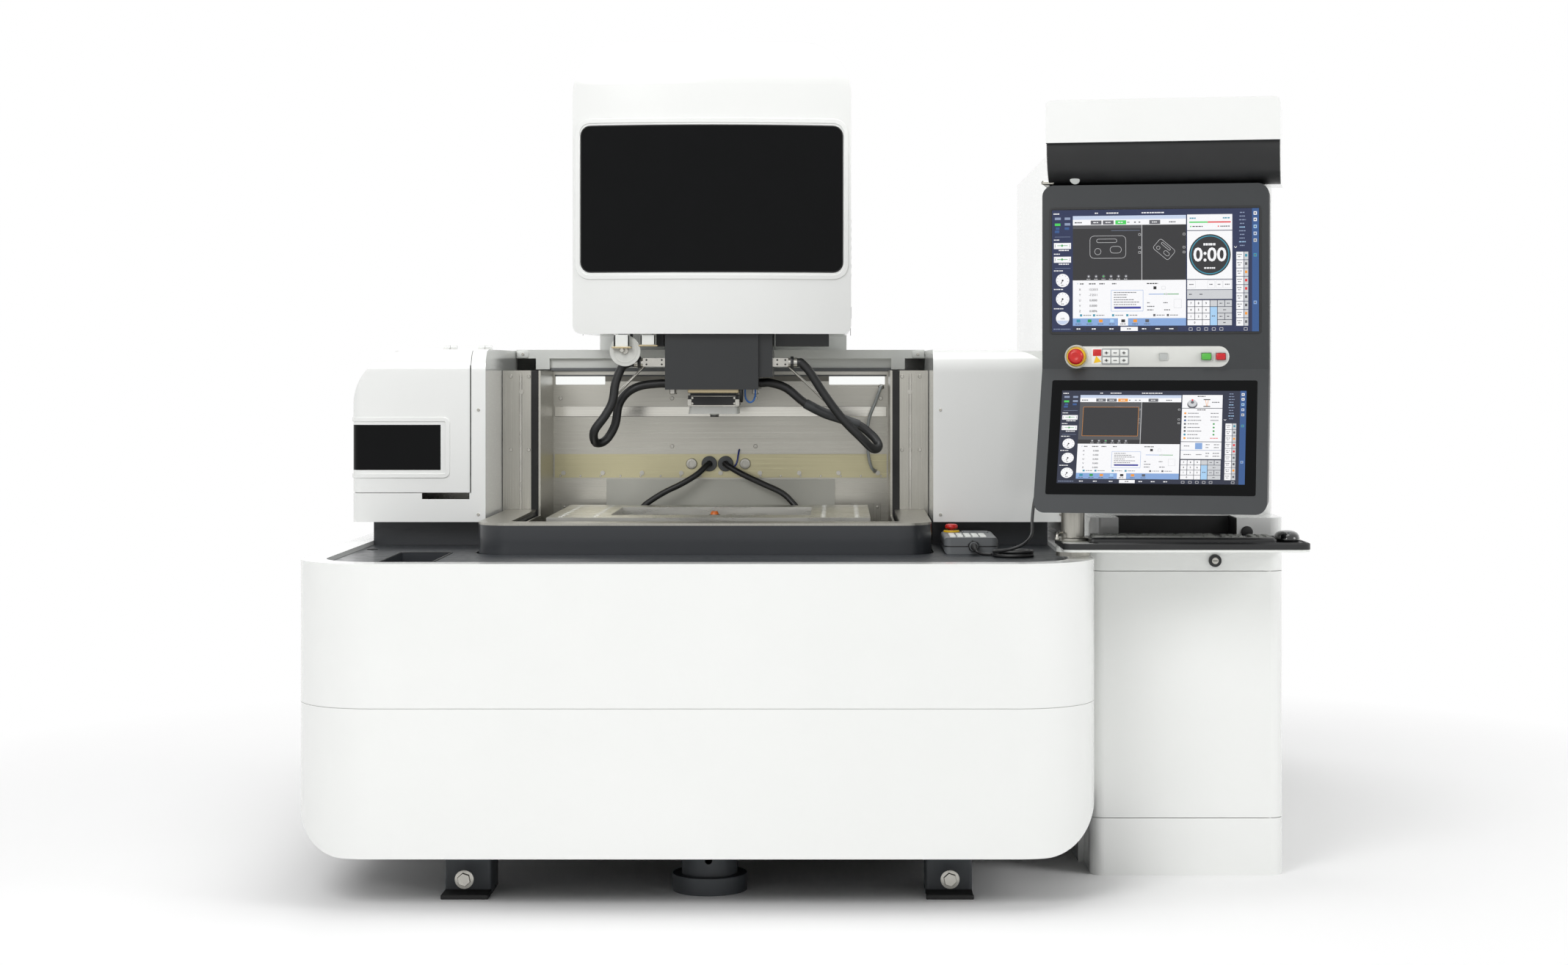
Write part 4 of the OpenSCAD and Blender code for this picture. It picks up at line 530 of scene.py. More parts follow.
earthRoutes = {
    "radius": 8.5,
    "left": [
        (-33, 1411, 1011), (-33, 1406, 1011), (-33, 1401, 1011), (-42, 1388, 1005), (-66, 1376, 982),
        (-110, 1368, 955), (-165, 1362, 928), (-214, 1352, 896), (-230, 1340, 876), (-232, 1324, 870),
        (-232, 1317, 870), (-232, 1310, 870)
    ],
    "right": [
        (15, 1411, 1011), (15, 1406, 1011), (15, 1401, 1011), (24, 1388, 1005), (66, 1376, 982),
        (124, 1368, 955), (182, 1362, 928), (216, 1352, 896), (230, 1340, 876), (232, 1324, 870),
        (232, 1317, 870), (232, 1310, 870)
    ]
}


def coilLoops(c):  # a flat spiral in and a second one out, a layer higher
    t = np.arange(2 * c["turns"] * c["steps"] + 1) / c["steps"]
    inward = t < c["turns"]
    fall = (c["outer"] - c["inner"]) / c["turns"]
    radius = np.where(inward, c["outer"] - fall * t, c["inner"] + fall * (t - c["turns"]))
    angle = np.pi + 2 * np.pi * t
    height = c["level"] + c["layer"] * np.clip((t - c["turns"] + 0.25) * 2, 0, 1)
    return np.stack(
        [c["centre"][0] + radius * np.cos(angle), c["centre"][1] + radius * np.sin(angle), height], -1
    )


def lengthOf(path):
    return float(np.linalg.norm(np.diff(path, axis=0), axis=1).sum()) / 1000


def cable(name, path, radius, body, slot, replaced, end, **facts):
    piece = makePiece(name, tube(path, radius, 14), plastic["cable"], body, smooth=60)
    for node in replaced:
        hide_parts(node)
    return piece


leadLoops = coilLoops(pendantLead["coil"])
leadPath = np.concatenate(
    [
        curveThrough(pendantLead["low"], 3)[:-1], [leadLoops[0] + (0, 8, 0)], leadLoops,
        [leadLoops[-1] - (0, 8, 0)], curveThrough(pendantLead["high"], 3)[1:]
    ]
)
print("pendant lead", round(lengthOf(leadPath), 3), "m")
cable(
    "pendantLead", leadPath, pendantLead["radius"], "machine", "pendant_cord", ["pendant_cord", "cord_coil"],
    "object", stiffness="medium", lay="coiled"
)
for side in ("left", "right"):
    cable(
        side + "FeederCable", curveThrough(feederRoutes[side], 4), feederRoutes["radius"], "z_stage",
        "feeder_cables", ["feeder_cables"], "object", stiffness="stiff", lay="hanging"
    )
    cable(
        side + "EarthCable", curveThrough(earthRoutes[side], 4), earthRoutes["radius"], "machine",
        "earth_cables", ["earth_cables"], "object", stiffness="medium", lay="hanging"
    )
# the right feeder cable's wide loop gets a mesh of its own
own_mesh(bpy.data.objects["rightFeederCable"])
print("cords laid")


# the console: two lit screens, the button strip, the hood's dark lining
def glowing(name, strength=1.0, code=None):  # ink comes from the mesh's own colour attribute, or from one code
    material = bpy.data.materials.new(name)
    material.use_nodes = True
    t = NodeTree(material.node_tree)
    shader = material.node_tree.nodes["Principled BSDF"]
    shader.inputs["Roughness"].default_value = 0.12
    shader.inputs["Emission Strength"].default_value = strength
    if code is None:
        ink = t.add("ShaderNodeAttribute", attribute_name="ink").outputs["Color"]
        place = t.add("ShaderNodeTexCoord").outputs["Object"]
        dots = t.add("ShaderNodeTexNoise", {"Vector": place, "Scale": 1500.0, "Detail": 0.0}).outputs[0]
        ink = t.mix(t.spread(dots, 0.3, 0.7, 0.0, 0.12), ink, (0, 0, 0, 1))
        t.feed(shader.inputs["Emission Color"], ink)
    else:
        shader.inputs["Emission Color"].default_value = tint(code)
        place = t.add("ShaderNodeTexCoord").outputs["Object"]
        haze = t.add("ShaderNodeTexNoise", {"Vector": place, "Scale": 300.0}).outputs[0]
        t.feed(shader.inputs["Roughness"], t.spread(haze, 0.3, 0.7, 0.1, 0.3))
    shader.inputs["Base Color"].default_value = (0.01, 0.01, 0.012, 1)
    return material


picture = glowing("litScreen")
ink = {
    "navy": "#0a1f4c", "deep": "#071634", "blue": "#24538f", "white": "#fbfbfd", "pale": "#c9d6ee",
    "tab": "#86a9dc", "mid": "#5f6066", "view": "#1d1d1e", "bar": "#4b4b4d", "text": "#55565c",
    "dim": "#8d9bb8", "green": "#41d257", "leaf": "#1f9e3f", "red": "#e5232b", "grey": "#cfd1d4",
    "teal": "#2f93ad", "black": "#111214", "sky": "#a9d2f5", "amber": "#f59a1b", "line": "#d8d8da",
    "mark": "#28309c"
}
# the picture's own units, and how far each level lies over the last
panelSize = {"w": 1100, "h": 654, "lift": 0.10, "layer": 0.05}


class ScreenPicture:  # thin slabs, discs and lines laid over one another on a panel; x runs right and y down
    def __init__(self, seed):
        self.shapes, self.inks, self.origin = [], [], (0.0, 0.0)
        self.random = np.random.default_rng(seed)

    # rows of a shape and its values from x, y; a colour may stand for another
    def draw(self, rows, x=0.0, y=0.0, **colours):
        self.origin = (x, y)
        for shape, *values in rows:
            getattr(self, shape)(*(colours.get(v, v) if isinstance(v, str) else v for v in values))
        self.origin = (0.0, 0.0)

    def top(self, level):
        return panelSize["lift"] + panelSize["layer"] * level

    def lay(self, outline, colour, level):
        outline = np.asarray(outline, float) + self.origin
        rings = np.stack([np.column_stack([outline, np.full(len(outline), h)]) for h in (0.0, self.top(level))])
        self.shapes.append(ringSkin(rings))
        self.inks.append(np.tile(tint(ink[colour]), (2 * len(outline), 1)))

    def box(self, x, y, w, h, colour, level=1):
        self.lay([(x, y), (x + w, y), (x + w, y + h), (x, y + h)], colour, level)

    def disc(self, x, y, r, colour, level=1, sides=28):
        a = np.arange(sides) * 2 * np.pi / sides
        self.lay(np.column_stack([x + r * np.cos(a), y + r * np.sin(a)]), colour, level)

    def line(self, points, wide, colour, level=3):
        for a, b in zip(np.asarray(points[:-1], float), np.asarray(points[1:], float)):
            across = unitOf([a[1] - b[1], b[0] - a[0]]) * wide / 2
            self.lay([a + across, a - across, b - across, b + across], colour, level)

    def words(self, x, y, wide, colour, level=3, tall=5.0):  # unreadable text: short dashes of uneven length
        shortest, longest, inkShare, leftOver = 7, 17, 0.8, 3
        at = x
        while at < x + wide - leftOver:
            step = min(self.random.uniform(shortest, longest), x + wide - at)
            self.box(at, y - tall / 2, step * inkShare, tall, colour, level)
            at += step

    def text(self, words, x, y, tall, colour, level=4, bold=0.0):
        points, faces = letters(words, tall, bold)
        x, y = x + self.origin[0], y + self.origin[1]
        height = np.where(points[:, 2] > 0, self.top(level), 0.0)
        self.shapes.append((np.column_stack([x + points[:, 0], y - points[:, 1], height]), faces))
        self.inks.append(np.tile(tint(ink[colour]), (len(points), 1)))

    def frame(self, x, y, w, h, wide, colour, level=3):
        self.line([(x, y), (x + w, y), (x + w, y + h), (x, y + h), (x, y)], wide, colour, level)


def letters(words, tall, bold=0.0):  # generic digits and axis letters, centred, as a closed mesh
    curve = bpy.data.curves.new("words", "FONT")
    curve.body, curve.size, curve.align_x, curve.align_y = words, tall * 1.38, "CENTER", "CENTER"
    curve.extrude, curve.offset, curve.resolution_u = 0.5, bold, 3
    holder = bpy.data.objects.new("words", curve)
    mesh = bpy.data.meshes.new_from_object(holder)
    points = np.zeros(len(mesh.vertices) * 3)
    mesh.vertices.foreach_get("co", points)
    faces = [list(p.vertices) for p in mesh.polygons]
    bpy.data.objects.remove(holder)
    bpy.data.curves.remove(curve)
    bpy.data.meshes.remove(mesh)
    return points.reshape(-1, 3), faces


# layouts: in each row, a shape's name, its place and size on the panel, its ink and its level
leftColumn = {
    "tabs": [
        ("box", x, y, w, 13, c, 2)
        for x, y, w, c in (
            (15, 39, 32, "dim"), (68, 39, 30, "dim"), (15, 71, 30, "green"), (68, 69, 30, "dim"),
            (20, 92, 20, "blue"), (68, 92, 24, "blue"), (15, 109, 24, "blue")
        )
    ],
    "rules": [
        ("box", 15, 143, 84, 1.5, "dim", 2), ("box", 15, 312, 84, 1.5, "dim", 2),
        ("words", 8, 20, 34, "white", 3, 6)
    ],
    "gaugeY": ((160, 176), (236, 250)), "gaugeName": [("words", 10, 0, 34, "white", 3, 5)],
    "gauge": [
        ("box", 10, 0, 92, 32, "white", 2), ("box", 28, 13, 56, 3, "leaf", 3), ("box", 50, 9, 8, 11, "leaf", 4),
        ("box", 16, 8, 2, 16, "text", 3), ("box", 94, 8, 2, 16, "text", 3), ("words", 36, 40, 56, "white", 3, 6)
    ],
    "foot": [("words", 8, 640, 92, "dim", 3, 4)]
}
dials = {
    "x": 57, "y": (378, 478, 582), "tickFrom": 31, "tickTo": 26, "sweep": (-0.25, 1.25, 9), "fill": 34,
    "fillSweep": (0.35, math.pi - 0.35, 16),
    "plate": [("words", -47, -52, 52, "white", 3, 5), ("disc", 0, 0, 36, "white", 2)],
    "hand": [
        ("line", [(0, 0), (-9, 18)], 3.5, "black", 4), ("disc", 0, 0, 5, "black", 5),
        ("words", -8, 26, 16, "text", 3, 4)
    ],
    "value": [("text", "0.00", 0, 2, 9, "black", 4)]
}


def drawLeftColumn(s, allDials):
    s.draw(leftColumn["tabs"] + leftColumn["rules"])
    for name, top in leftColumn["gaugeY"]:
        s.draw(leftColumn["gaugeName"], y=name)
        s.draw(leftColumn["gauge"], y=top)
    for k, y in enumerate(dials["y"]):
        s.draw(dials["plate"], dials["x"], y)
        if k < 2 or allDials:
            for turn in np.linspace(*dials["sweep"]) * np.pi:
                colour = "leaf" if allDials and k == 2 and turn < 1 else "text"
                tick = [
                    (-r * math.cos(turn), -r * math.sin(turn)) for r in (dials["tickFrom"], dials["tickTo"])
                ]
                s.draw([("line", tick, 1.6, colour, 4)], dials["x"], y)
            s.draw(dials["hand"], dials["x"], y)
        else:
            fill = [
                (dials["fill"] * math.cos(v), dials["fill"] * math.sin(v))
                for v in np.linspace(*dials["fillSweep"])
            ]
            s.draw(dials["value"] + [("lay", fill, "pale", 3)], dials["x"], y)
    s.draw(leftColumn["foot"])


mainWindow = {
    "head": [
        ("box", 112, 32, 604, 590, "white", 1), ("box", 112, 32, 604, 20, "pale", 2),
        ("words", 122, 68, 40, "black", 3, 6)
    ],
    "tabs": ((208, "mid"), (273, "mid"), (340, "live"), (521, "mid")),
    "tab": [("box", 0, 57, 58, 22, "tabInk", 3), ("words", 14, 68, 30, "white", 4, 5)],
    "views": [("words", x, 68, w, "text", 3, 6) for x, w in ((404, 12), (440, 12), (464, 12), (626, 36))] + [
        ("box", 112, 82, 368, 296, "view", 2), ("box", 112, 82, 368, 19, "bar", 3),
        ("box", 480, 82, 3, 296, "line", 3), ("box", 483, 82, 233, 296, "view", 2)
    ] + [("frame", x, y, 11, 10, 1.6, "line", 3) for x in (464, 700) for y in (129, 199, 225)] + [
        ("line", [(318, 112), (470, 112)], 1.4, "dim", 3)
    ],
    "dots": 6, "dotPitch": 40, "litDot": 2,
    "dot": [
        ("disc", 197, 357, 9, "mid", 3, 16), ("disc", 197, 357, 4, "dotInk", 4, 12),
        ("words", 186, 372, 22, "line", 3, 3)
    ],
    "axisY": 428, "axisPitch": 29, "letter": (150, 0, 11, "text", 3, 0.3),
    "value": (222, 0, 11, "text", 3, 0.3),
    "table": [("text", "+", 138, 397, 12, "teal", 3)] + [
        ("words", x, 397, w, "black", 3, 6) for x, w in ((150, 22), (198, 38), (254, 30), (322, 24), (508, 60))
    ] + [("frame", 318, 432, 170, 112, 2.0, "tab", 3)],
    "program": {"x": 332, "y": 444, "pitch": 13, "lines": 7, "shortest": 60, "spread": 80},
    "status": [
        ("box", 334, 520, 142, 11, "mark", 3), ("box", 518, 452, 80, 4, "tab", 3),
        ("box", 598, 452, 80, 4, "leaf", 3), ("disc", 612, 454, 6, "grey", 4, 14),
        ("box", 543, 412, 16, 16, "black", 3), ("frame", 588, 412, 18, 16, 1.4, "grey", 3)
    ] + [
        ("words", x, y, w, "text", 3, 5)
        for x, y, w in ((510, 500, 14), (596, 500, 24), (510, 519, 40), (510, 538, 34), (600, 538, 34))
    ] + [("frame", 652, 482, 40, 46, 1.4, "grey", 3)],
    "ticks": ((150, "teal"), (220, "teal"), (322, "teal"), (398, "teal"), (542, "text"), (614, "text")),
    "tick": [("box", 0, 560, 12, 12, "tickInk", 3), ("words", 18, 566, 44, "text", 3, 4)],
    "toolBar": [("box", 112, 582, 604, 40, "tab", 2), ("box", 354, 582, 54, 40, "white", 3)],
    "tool": [("box", 0, 588, 20, 16, "toolInk", 4), ("words", -6, 613, 32, "text", 4, 4)],
    "tools": (
        (132, "teal"), (192, "leaf"), (252, "amber"), (312, "sky"), (372, "black"), (436, "amber"),
        (500, "text")
    ),
    "sheets": ((112, 64), (180, 92), (275, 90), (368, 92), (463, 62), (530, 72), (606, 66)), "openSheet": 3,
    "title": [("words", x, 18, w, "white", 3, 6) for x, w in ((230, 18), (292, 66), (480, 124))]
}


def drawMainWindow(s, live, digits):
    m = mainWindow
    s.draw(m["head"])
    for x, colour in m["tabs"]:
        s.draw(m["tab"], x, tabInk=live if colour == "live" else colour)
    s.draw(m["views"])
    for k in range(m["dots"]):
        s.draw(m["dot"], m["dotPitch"] * k, dotInk="green" if k == m["litDot"] else "line")
    for k, (letter, value) in enumerate(zip("XYUVZ", digits)):
        s.draw(
            [("text", letter, *m["letter"]), ("text", value, *m["value"])], y=m["axisY"] + m["axisPitch"] * k
        )
    s.draw(m["table"])
    program = m["program"]
    for k in range(program["lines"]):
        wide = program["shortest"] + s.random.uniform(0, program["spread"])
        s.words(program["x"], program["y"] + program["pitch"] * k, wide, "text", 3, 4)
    s.draw(m["status"])
    for x, colour in m["ticks"]:
        s.draw(m["tick"], x, tickInk=colour)
    s.draw(m["toolBar"])
    for x, colour in m["tools"]:
        s.draw(m["tool"], x, toolInk=colour)
    for k, (x, w) in enumerate(m["sheets"]):
        sheet, name = ("white", "text") if k == m["openSheet"] else ("deep", "white")
        s.draw([("box", 0, 628, w, 22, sheet, 2), ("words", w / 2 - 12, 639, 24, name, 3, 6)], x)
    s.draw(m["title"])


numberPad = {
    "back": [("box", 722, 486, 238, 136, "deep", 1)], "pitch": (40, 35),
    "key": ("box", 724, 488, 37, 32, "white", 2), "digit": (742, 504, 11, "black", 3, 0.4),
    "rest": [
        ("box", 724, 593, 77, 28, "white", 2), ("text", "0", 762, 607, 11, "black", 3, 0.4),
        ("box", 804, 593, 37, 28, "white", 2), ("text", ".", 822, 607, 11, "black", 3, 0.6),
        ("box", 844, 488, 36, 32, "grey", 2), ("box", 844, 523, 36, 98, "sky", 2),
        ("words", 852, 572, 22, "text", 3, 5)
    ],
    "greyKeys": (
        (883, 488, 36, 32), (922, 488, 36, 32), (883, 523, 75, 32), (883, 558, 36, 32), (922, 558, 36, 32),
        (883, 593, 75, 28)
    )
}


def drawNumberPad(s):
    s.draw(numberPad["back"])
    for row, digits in enumerate(("789", "456", "123")):
        for k, digit in enumerate(digits):
            s.draw(
                [numberPad["key"], ("text", digit, *numberPad["digit"])], numberPad["pitch"][0] * k,
                numberPad["pitch"][1] * row
            )
    s.draw(numberPad["rest"])
    for x, y, w, h in numberPad["greyKeys"]:
        s.draw([("box", x, y, w, h, "grey", 2), ("words", x + w / 2 - 8, y + h / 2, 16, "text", 3, 5)])


sideColumns = {
    "back": [("box", 1064, 0, 36, 654, "blue", 1)],
    "list": [
        ("words", 1000 - 2 * (k % 3), 22 + 19.5 * k, 26 + 5 * (k % 3), "sky" if k in (4, 8) else "dim", 3, 5)
        for k in range(10)
    ],
    "arrow": [("line", [(970, 202), (977, 210), (984, 202)], 2.5, "white", 3)], "keyY": 231, "keyPitch": 44,
    "key": [
        ("box", 981, 0, 38, 41, "white", 2), ("words", 986, 14, 26, "text", 3, 4),
        ("words", 990, 26, 16, "text", 3, 4), ("box", 1022, 0, 22, 41, "grey", 2),
        ("box", 1027, 12, 12, 14, "signInk", 3)
    ],
    "signs": ("teal", "mid", "amber", "red", "red", "mid", "text", "amber", "mid"),
    "icon": [("box", 1072, -9, 17, 18, "iconInk", 3), ("disc", 1080, 0, 5, "mid", 4, 10)],
    "icons": (
        (26, "white"), (60, "white"), (97, "sky"), (134, "pale"), (170, "grey"), (248, "teal"), (500, "tab")
    ),
    "marks": [("frame", x, 634, 17, 14, 2.0, "line", 3) for x in (732, 774, 814, 854, 894, 1022)]
}


def drawSideColumns(s):
    s.draw(sideColumns["back"] + sideColumns["list"] + sideColumns["arrow"])
    for k, sign in enumerate(sideColumns["signs"]):
        s.draw(sideColumns["key"], y=sideColumns["keyY"] + sideColumns["keyPitch"] * k, signInk=sign)
    for y, colour in sideColumns["icons"]:
        s.draw(sideColumns["icon"], y=y, iconInk=colour)
    s.draw(sideColumns["marks"])


timerPanel = [
    ("box", 722, 30, 238, 84, "white", 1), ("box", 733, 68, 98, 7, "green", 2),
    ("box", 831, 68, 121, 7, "red", 2), ("words", 735, 50, 34, "teal", 3, 7),
    ("words", 910, 50, 40, "teal", 3, 7), ("disc", 741, 94, 4, "green", 3, 10),
    ("words", 750, 94, 56, "black", 3, 5), ("disc", 887, 94, 4, "red", 3, 10),
    ("words", 897, 94, 52, "black", 3, 5), ("box", 722, 118, 238, 256, "white", 1),
    ("disc", 842, 246, 110, "black", 2, 64), ("disc", 842, 246, 103, "teal", 3, 64),
    ("disc", 842, 246, 98, "view", 4, 64), ("text", "0:00", 842, 248, 74, "white", 6, 2.0),
    ("words", 808, 190, 68, "white", 6, 12), ("words", 812, 316, 60, "white", 6, 8),
    ("box", 722, 378, 238, 52, "white", 1)
]
for x, w in ((724, 42), (830, 38), (874, 34), (912, 44)):
    timerPanel += [("frame", x, 384, w, 38, 1.4, "grey", 3), ("words", x + 9, 403, w - 18, "text", 3, 5)]
timerPanel += [
    ("box", 722, 433, 238, 48, "grey", 1), ("words", 732, 456, 16, "text", 3, 6),
    ("words", 788, 456, 16, "text", 3, 6)
]

checkPanel = [
    ("box", 722, 30, 238, 92, "white", 1), ("words", 812, 40, 48, "black", 3, 6),
    ("disc", 782, 96, 30, "mid", 2, 24), ("disc", 782, 88, 26, "grey", 3, 24),
    ("disc", 782, 82, 10, "mid", 4, 16), ("disc", 782, 66, 6, "red", 5, 12),
    ("box", 848, 60, 40, 6, "black", 2), ("box", 848, 108, 40, 6, "black", 2),
    ("line", [(860, 66), (866, 108)], 2.5, "amber", 3), ("line", [(876, 66), (870, 108)], 2.5, "amber", 3),
    ("words", 898, 82, 46, "text", 3, 6), ("box", 722, 126, 238, 232, "white", 1),
    ("words", 812, 136, 52, "black", 3, 6)
]
checkRows = {
    "y": 160, "pitch": 25, "dots": ("amber", "text", "blue", "text", "text", "text", "teal", "amber"),
    "passed": (3, 4, 5, 6)
}
for k, dot in enumerate(checkRows["dots"]):
    y = checkRows["y"] + checkRows["pitch"] * k
    state = ("disc", 912, y, 6, "leaf", 3, 14) if k in checkRows["passed"] else (
        "words", 892, y, 48, "text" if k < 7 else "red", 3, 5
    )
    checkPanel += [("disc", 742, y, 7, dot, 3, 12), ("words", 758, y, 64 + 10 * (k % 3), "text", 3, 5), state]
checkPanel += [
    ("box", 722, 362, 238, 118, "white", 1), ("box", 722, 418, 238, 2, "blue", 2),
    ("box", 806, 368, 42, 44, "tab", 2)
]
for x, y, w in (
    (740, 390, 34), (868, 380, 24), (868, 400, 18), (740, 450, 44), (812, 450, 34), (868, 440, 24),
    (868, 460, 20), (916, 380, 32), (916, 400, 32), (910, 440, 40), (910, 460, 40)
):
    checkPanel.append(("words", x, y, w, "text", 3, 5))
checkView = [
    ("box", 112, 101, 368, 248, "bar", 3), ("box", 134, 118, 330, 204, "view", 4),
    ("frame", 134, 118, 330, 204, 1.6, "amber", 5)
]

# a made-up workpiece contour: width, height, corner, arc steps and middle of a plate, its bores and a slot
contour = (
    (1.6, 1.0, 0.18, 3, (0, 0)), (0.5, 0.3, 0.14, 3, (0.35, 0.12)), (0.28, 0.28, 0.13, 3, (-0.45, 0.2)),
    (0.9, 0.16, 0.07, 2, (-0.05, -0.28))
)


def partOutline(s, x, y, size, turn, colour):
    c, d = math.cos(turn), math.sin(turn)
    for w, h, r, steps, middle in contour:
        p = (roundedLoop(w, h, r, steps) + middle) * size @ np.array([[c, d], [-d, c]]) + (x, y)
        s.line(np.vstack([p, p[:1]]), 1.7, colour, 4)


screens = {
    "timer": {
        "seed": 11, "back": "navy", "live": "green",
        "digits": ("13.3515", "-7.2511", "0.0000", "0.0000", "0.0896"),
        "outlines": ((300, 200, 120, 0.0, "line"), (600, 215, 66, 0.7, "line"))
    },
    "check": {"seed": 12, "back": "deep", "live": "amber", "digits": ("0.000",) * 5, "outlines": ()}
}


# the picture is laid on the screen's face, base above its centre plane
def drawnScreen(name, kind, centre, across, up, w, h, base):
    settings = screens[kind]
    s = ScreenPicture(settings["seed"])
    s.box(0, 0, panelSize["w"], panelSize["h"], settings["back"], 0)
    drawLeftColumn(s, kind == "check")
    drawMainWindow(s, settings["live"], settings["digits"])
    drawSideColumns(s)
    drawNumberPad(s)
    s.draw(timerPanel if kind == "timer" else checkPanel + checkView)
    for outline in settings["outlines"]:
        partOutline(s, *outline)
    points, faces = joined(s.shapes)
    across, up = unitOf(across), unitOf(up)
    alongX = (points[:, :1] / panelSize["w"] - 0.5) * w * across
    alongZ = (0.5 - points[:, 1:2] / panelSize["h"]) * h * up
    placed = np.asarray(centre, float) + alongX + alongZ + (points[:, 2:] + base) * np.cross(across, up)
    colours = np.concatenate(s.inks)
    return makePiece(name, onConsole((placed, faces)), picture, "console", colours=colours)


upperScreen = {"centre": (195, 114, 1538), "size": (518, 308), "base": 0.02}
slopeDown, slopeOut = unitOf((0, -212, -353)), unitOf((0, -353, 212))
touchScreen = {
    "start": np.array([195, 115, 1290.0]), "edge": 34.0, "height": 326, "proud": 1.0, "picture": (459, 265),
    "base": 0.02
}
drawnScreen(
    "upperScreenPicture", "timer", upperScreen["centre"], right, upward, *upperScreen["size"],
    upperScreen["base"]
)
touchCentre = touchScreen["start"] + slopeDown * (
    touchScreen["edge"] + touchScreen["height"] / 2
) + slopeOut * touchScreen["proud"]
drawnScreen(
    "touchScreenPicture", "check", touchCentre, right, -slopeDown, *touchScreen["picture"], touchScreen["base"]
)
print("screens drawn")

# the console's small parts: places are in the console's own x, y and z, and its face looks toward lower y
face = {"y": 115.0, "row": 1321.0, "stop": -2.0, "lamp": 217.0, "green": 324.0, "red": 360.0}
strip = {"x": 177.5, "w": 407.0, "h": 52.0, "r": 26.0, "thick": 1.2}
stripFace = face["y"] - strip["thick"]
clearWhite = glowing("lampGlassWhite", 0.55, "#e8ece8")


def faceBar(x, z, w, h, r, thick, proud=0.0, bevel=0.6):  # a rounded plate on the console's upright face
    return plate((x, face["y"] - proud, z), right, upward, w, h, r, thick, bevel)


def consolePiece(name, shape, material, body="console"):
    return makePiece(name, onConsole(shape), material, body)


consolePiece(
    "buttonStrip", faceBar(strip["x"], face["row"], *(strip[k] for k in ("w", "h", "r", "thick"))),
    plastic["pale"]
)
# width, height, corner radius, rim, thickness and bevel of the frame round each button
buttonFrames = {
    "stop": (60, 60, 30, 4.5, 1.4, 0.5), "green": (31, 24, 5.5, 3.2, 4.6, 0.9),
    "red": (31, 24, 5.5, 3.2, 4.6, 0.9), "lamp": (25, 21, 5, 3, 3.6, 0.8)
}
frames = [
    hoop((face[spot], stripFace, face["row"]), right, upward, *size) for spot, size in buttonFrames.items()
]
consolePiece("buttonFrames", joined(frames), moulded("paleFrames", "#c4c6c2", "#b5b7b3", gloss=0.3))

stopButton = {
    "place": (face["stop"], face["y"], face["row"]), "sides": 40,
    "base": [(7.2, -0.6), (24.6, -0.6), (24.6, 9.6), (23.4, 12.2), (20.5, 13.0), (7.2, 13.0)],
    "cap": [
        (5.9, -30), (5.9, 17.4), (17.6, 17.2), (19.6, 18.4), (20.0, 20.4), (19.8, 24.5), (18.4, 28.6),
        (15.6, 31.6), (11.6, 33.0), (8.4, 32.9), (6.6, 32.2), (0.02, 31.9)
    ]
}
consolePiece(
    "stopBaseRing", lathe(stopButton["base"], stopButton["place"], forward, stopButton["sides"]),
    signal["yellow"]
)
stopShape = lathe(stopButton["cap"], stopButton["place"], forward, stopButton["sides"])
stopCap = consolePiece("stopCap", stopShape, signal["red"], "stop_button")
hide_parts("console_estop")

keyTops = {"size": (23.4, 16.4, 3.6, 6.1, 1.6), "proud": 4.5, "stem": [(5.8, -28), (5.8, 5)], "stemSides": 20}
for code, skin, body in (("green", "green", "start_button"), ("red", "offRed", "off_button")):
    top = plate((face[code], face["y"] - keyTops["proud"], face["row"]), right, upward, *keyTops["size"])
    stem = lathe(keyTops["stem"], (face[code], face["y"], face["row"]), forward, keyTops["stemSides"])
    node = code + "_button"
    cap = consolePiece(code + "KeyTop", joined([top, stem]), signal[skin], body)
    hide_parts(node)
lampGlass = {"size": (18.5, 14.5, 3, 4.4, 1.6)}
glassPlate = plate((face["lamp"], stripFace, face["row"]), right, upward, *lampGlass["size"])
consolePiece("stripLamp", glassPlate, clearWhite)

warning = {
    "x": 50, "card": {"z": 1322, "w": 27, "h": 40, "r": 1.5, "thick": 0.5, "bevel": 0.2},
    "sign": {"z": 1331, "w": 21, "h": 17, "r": 1.2, "thick": 0.4, "bevel": 0.15},
    "lift": 0.4, "triangleZ": 1312, "triangle": [(11.5, 0), (11.5, 0.4), (11.0, 0.6)]
}
consolePiece("warningCard", faceBar(warning["x"], **warning["card"], proud=strip["thick"]), gloss["softWhite"])
consolePiece(
    "warningRed", faceBar(warning["x"], **warning["sign"], proud=strip["thick"] + warning["lift"]),
    signal["red"]
)
triangleSpot = (warning["x"], stripFace - warning["lift"], warning["triangleZ"])
consolePiece("warningTriangle", lathe(warning["triangle"], triangleSpot, forward, 3), signal["yellow"])

stripPad = {
    "x": (74, 96, 118), "z": (1311.5, 1330.5),
    "key": {"w": 19.5, "h": 15.5, "r": 2.4, "thick": 3.4, "bevel": 1.0}, "lift": 0.5,
    "bed": {"x": 96, "z": 1321, "w": 70, "h": 42, "r": 4, "thick": 1.0}, "markY": (107.2, 110.0),
    "markHalf": (4.5, 3.6), "markThin": 0.7
}
keys = [
    faceBar(x, z, **stripPad["key"], proud=strip["thick"] + stripPad["lift"]) for z in stripPad["z"]
    for x in stripPad["x"]
]
consolePiece("stripKeys", joined(keys), gloss["softWhite"])
consolePiece(
    "stripKeyBed", faceBar(**stripPad["bed"], proud=strip["thick"]), moulded("keyBed", "#9fa2a2", "#8d9090")
)


def markBars(columns, halfWide, halfTall):  # a bar across each key of these columns
    low, high = stripPad["markY"]
    return blocks(
        [
            [(x - halfWide, low, z - halfTall), (x + halfWide, high, z + halfTall)] for z in stripPad["z"]
            for x in columns
        ],
        0.2
    )


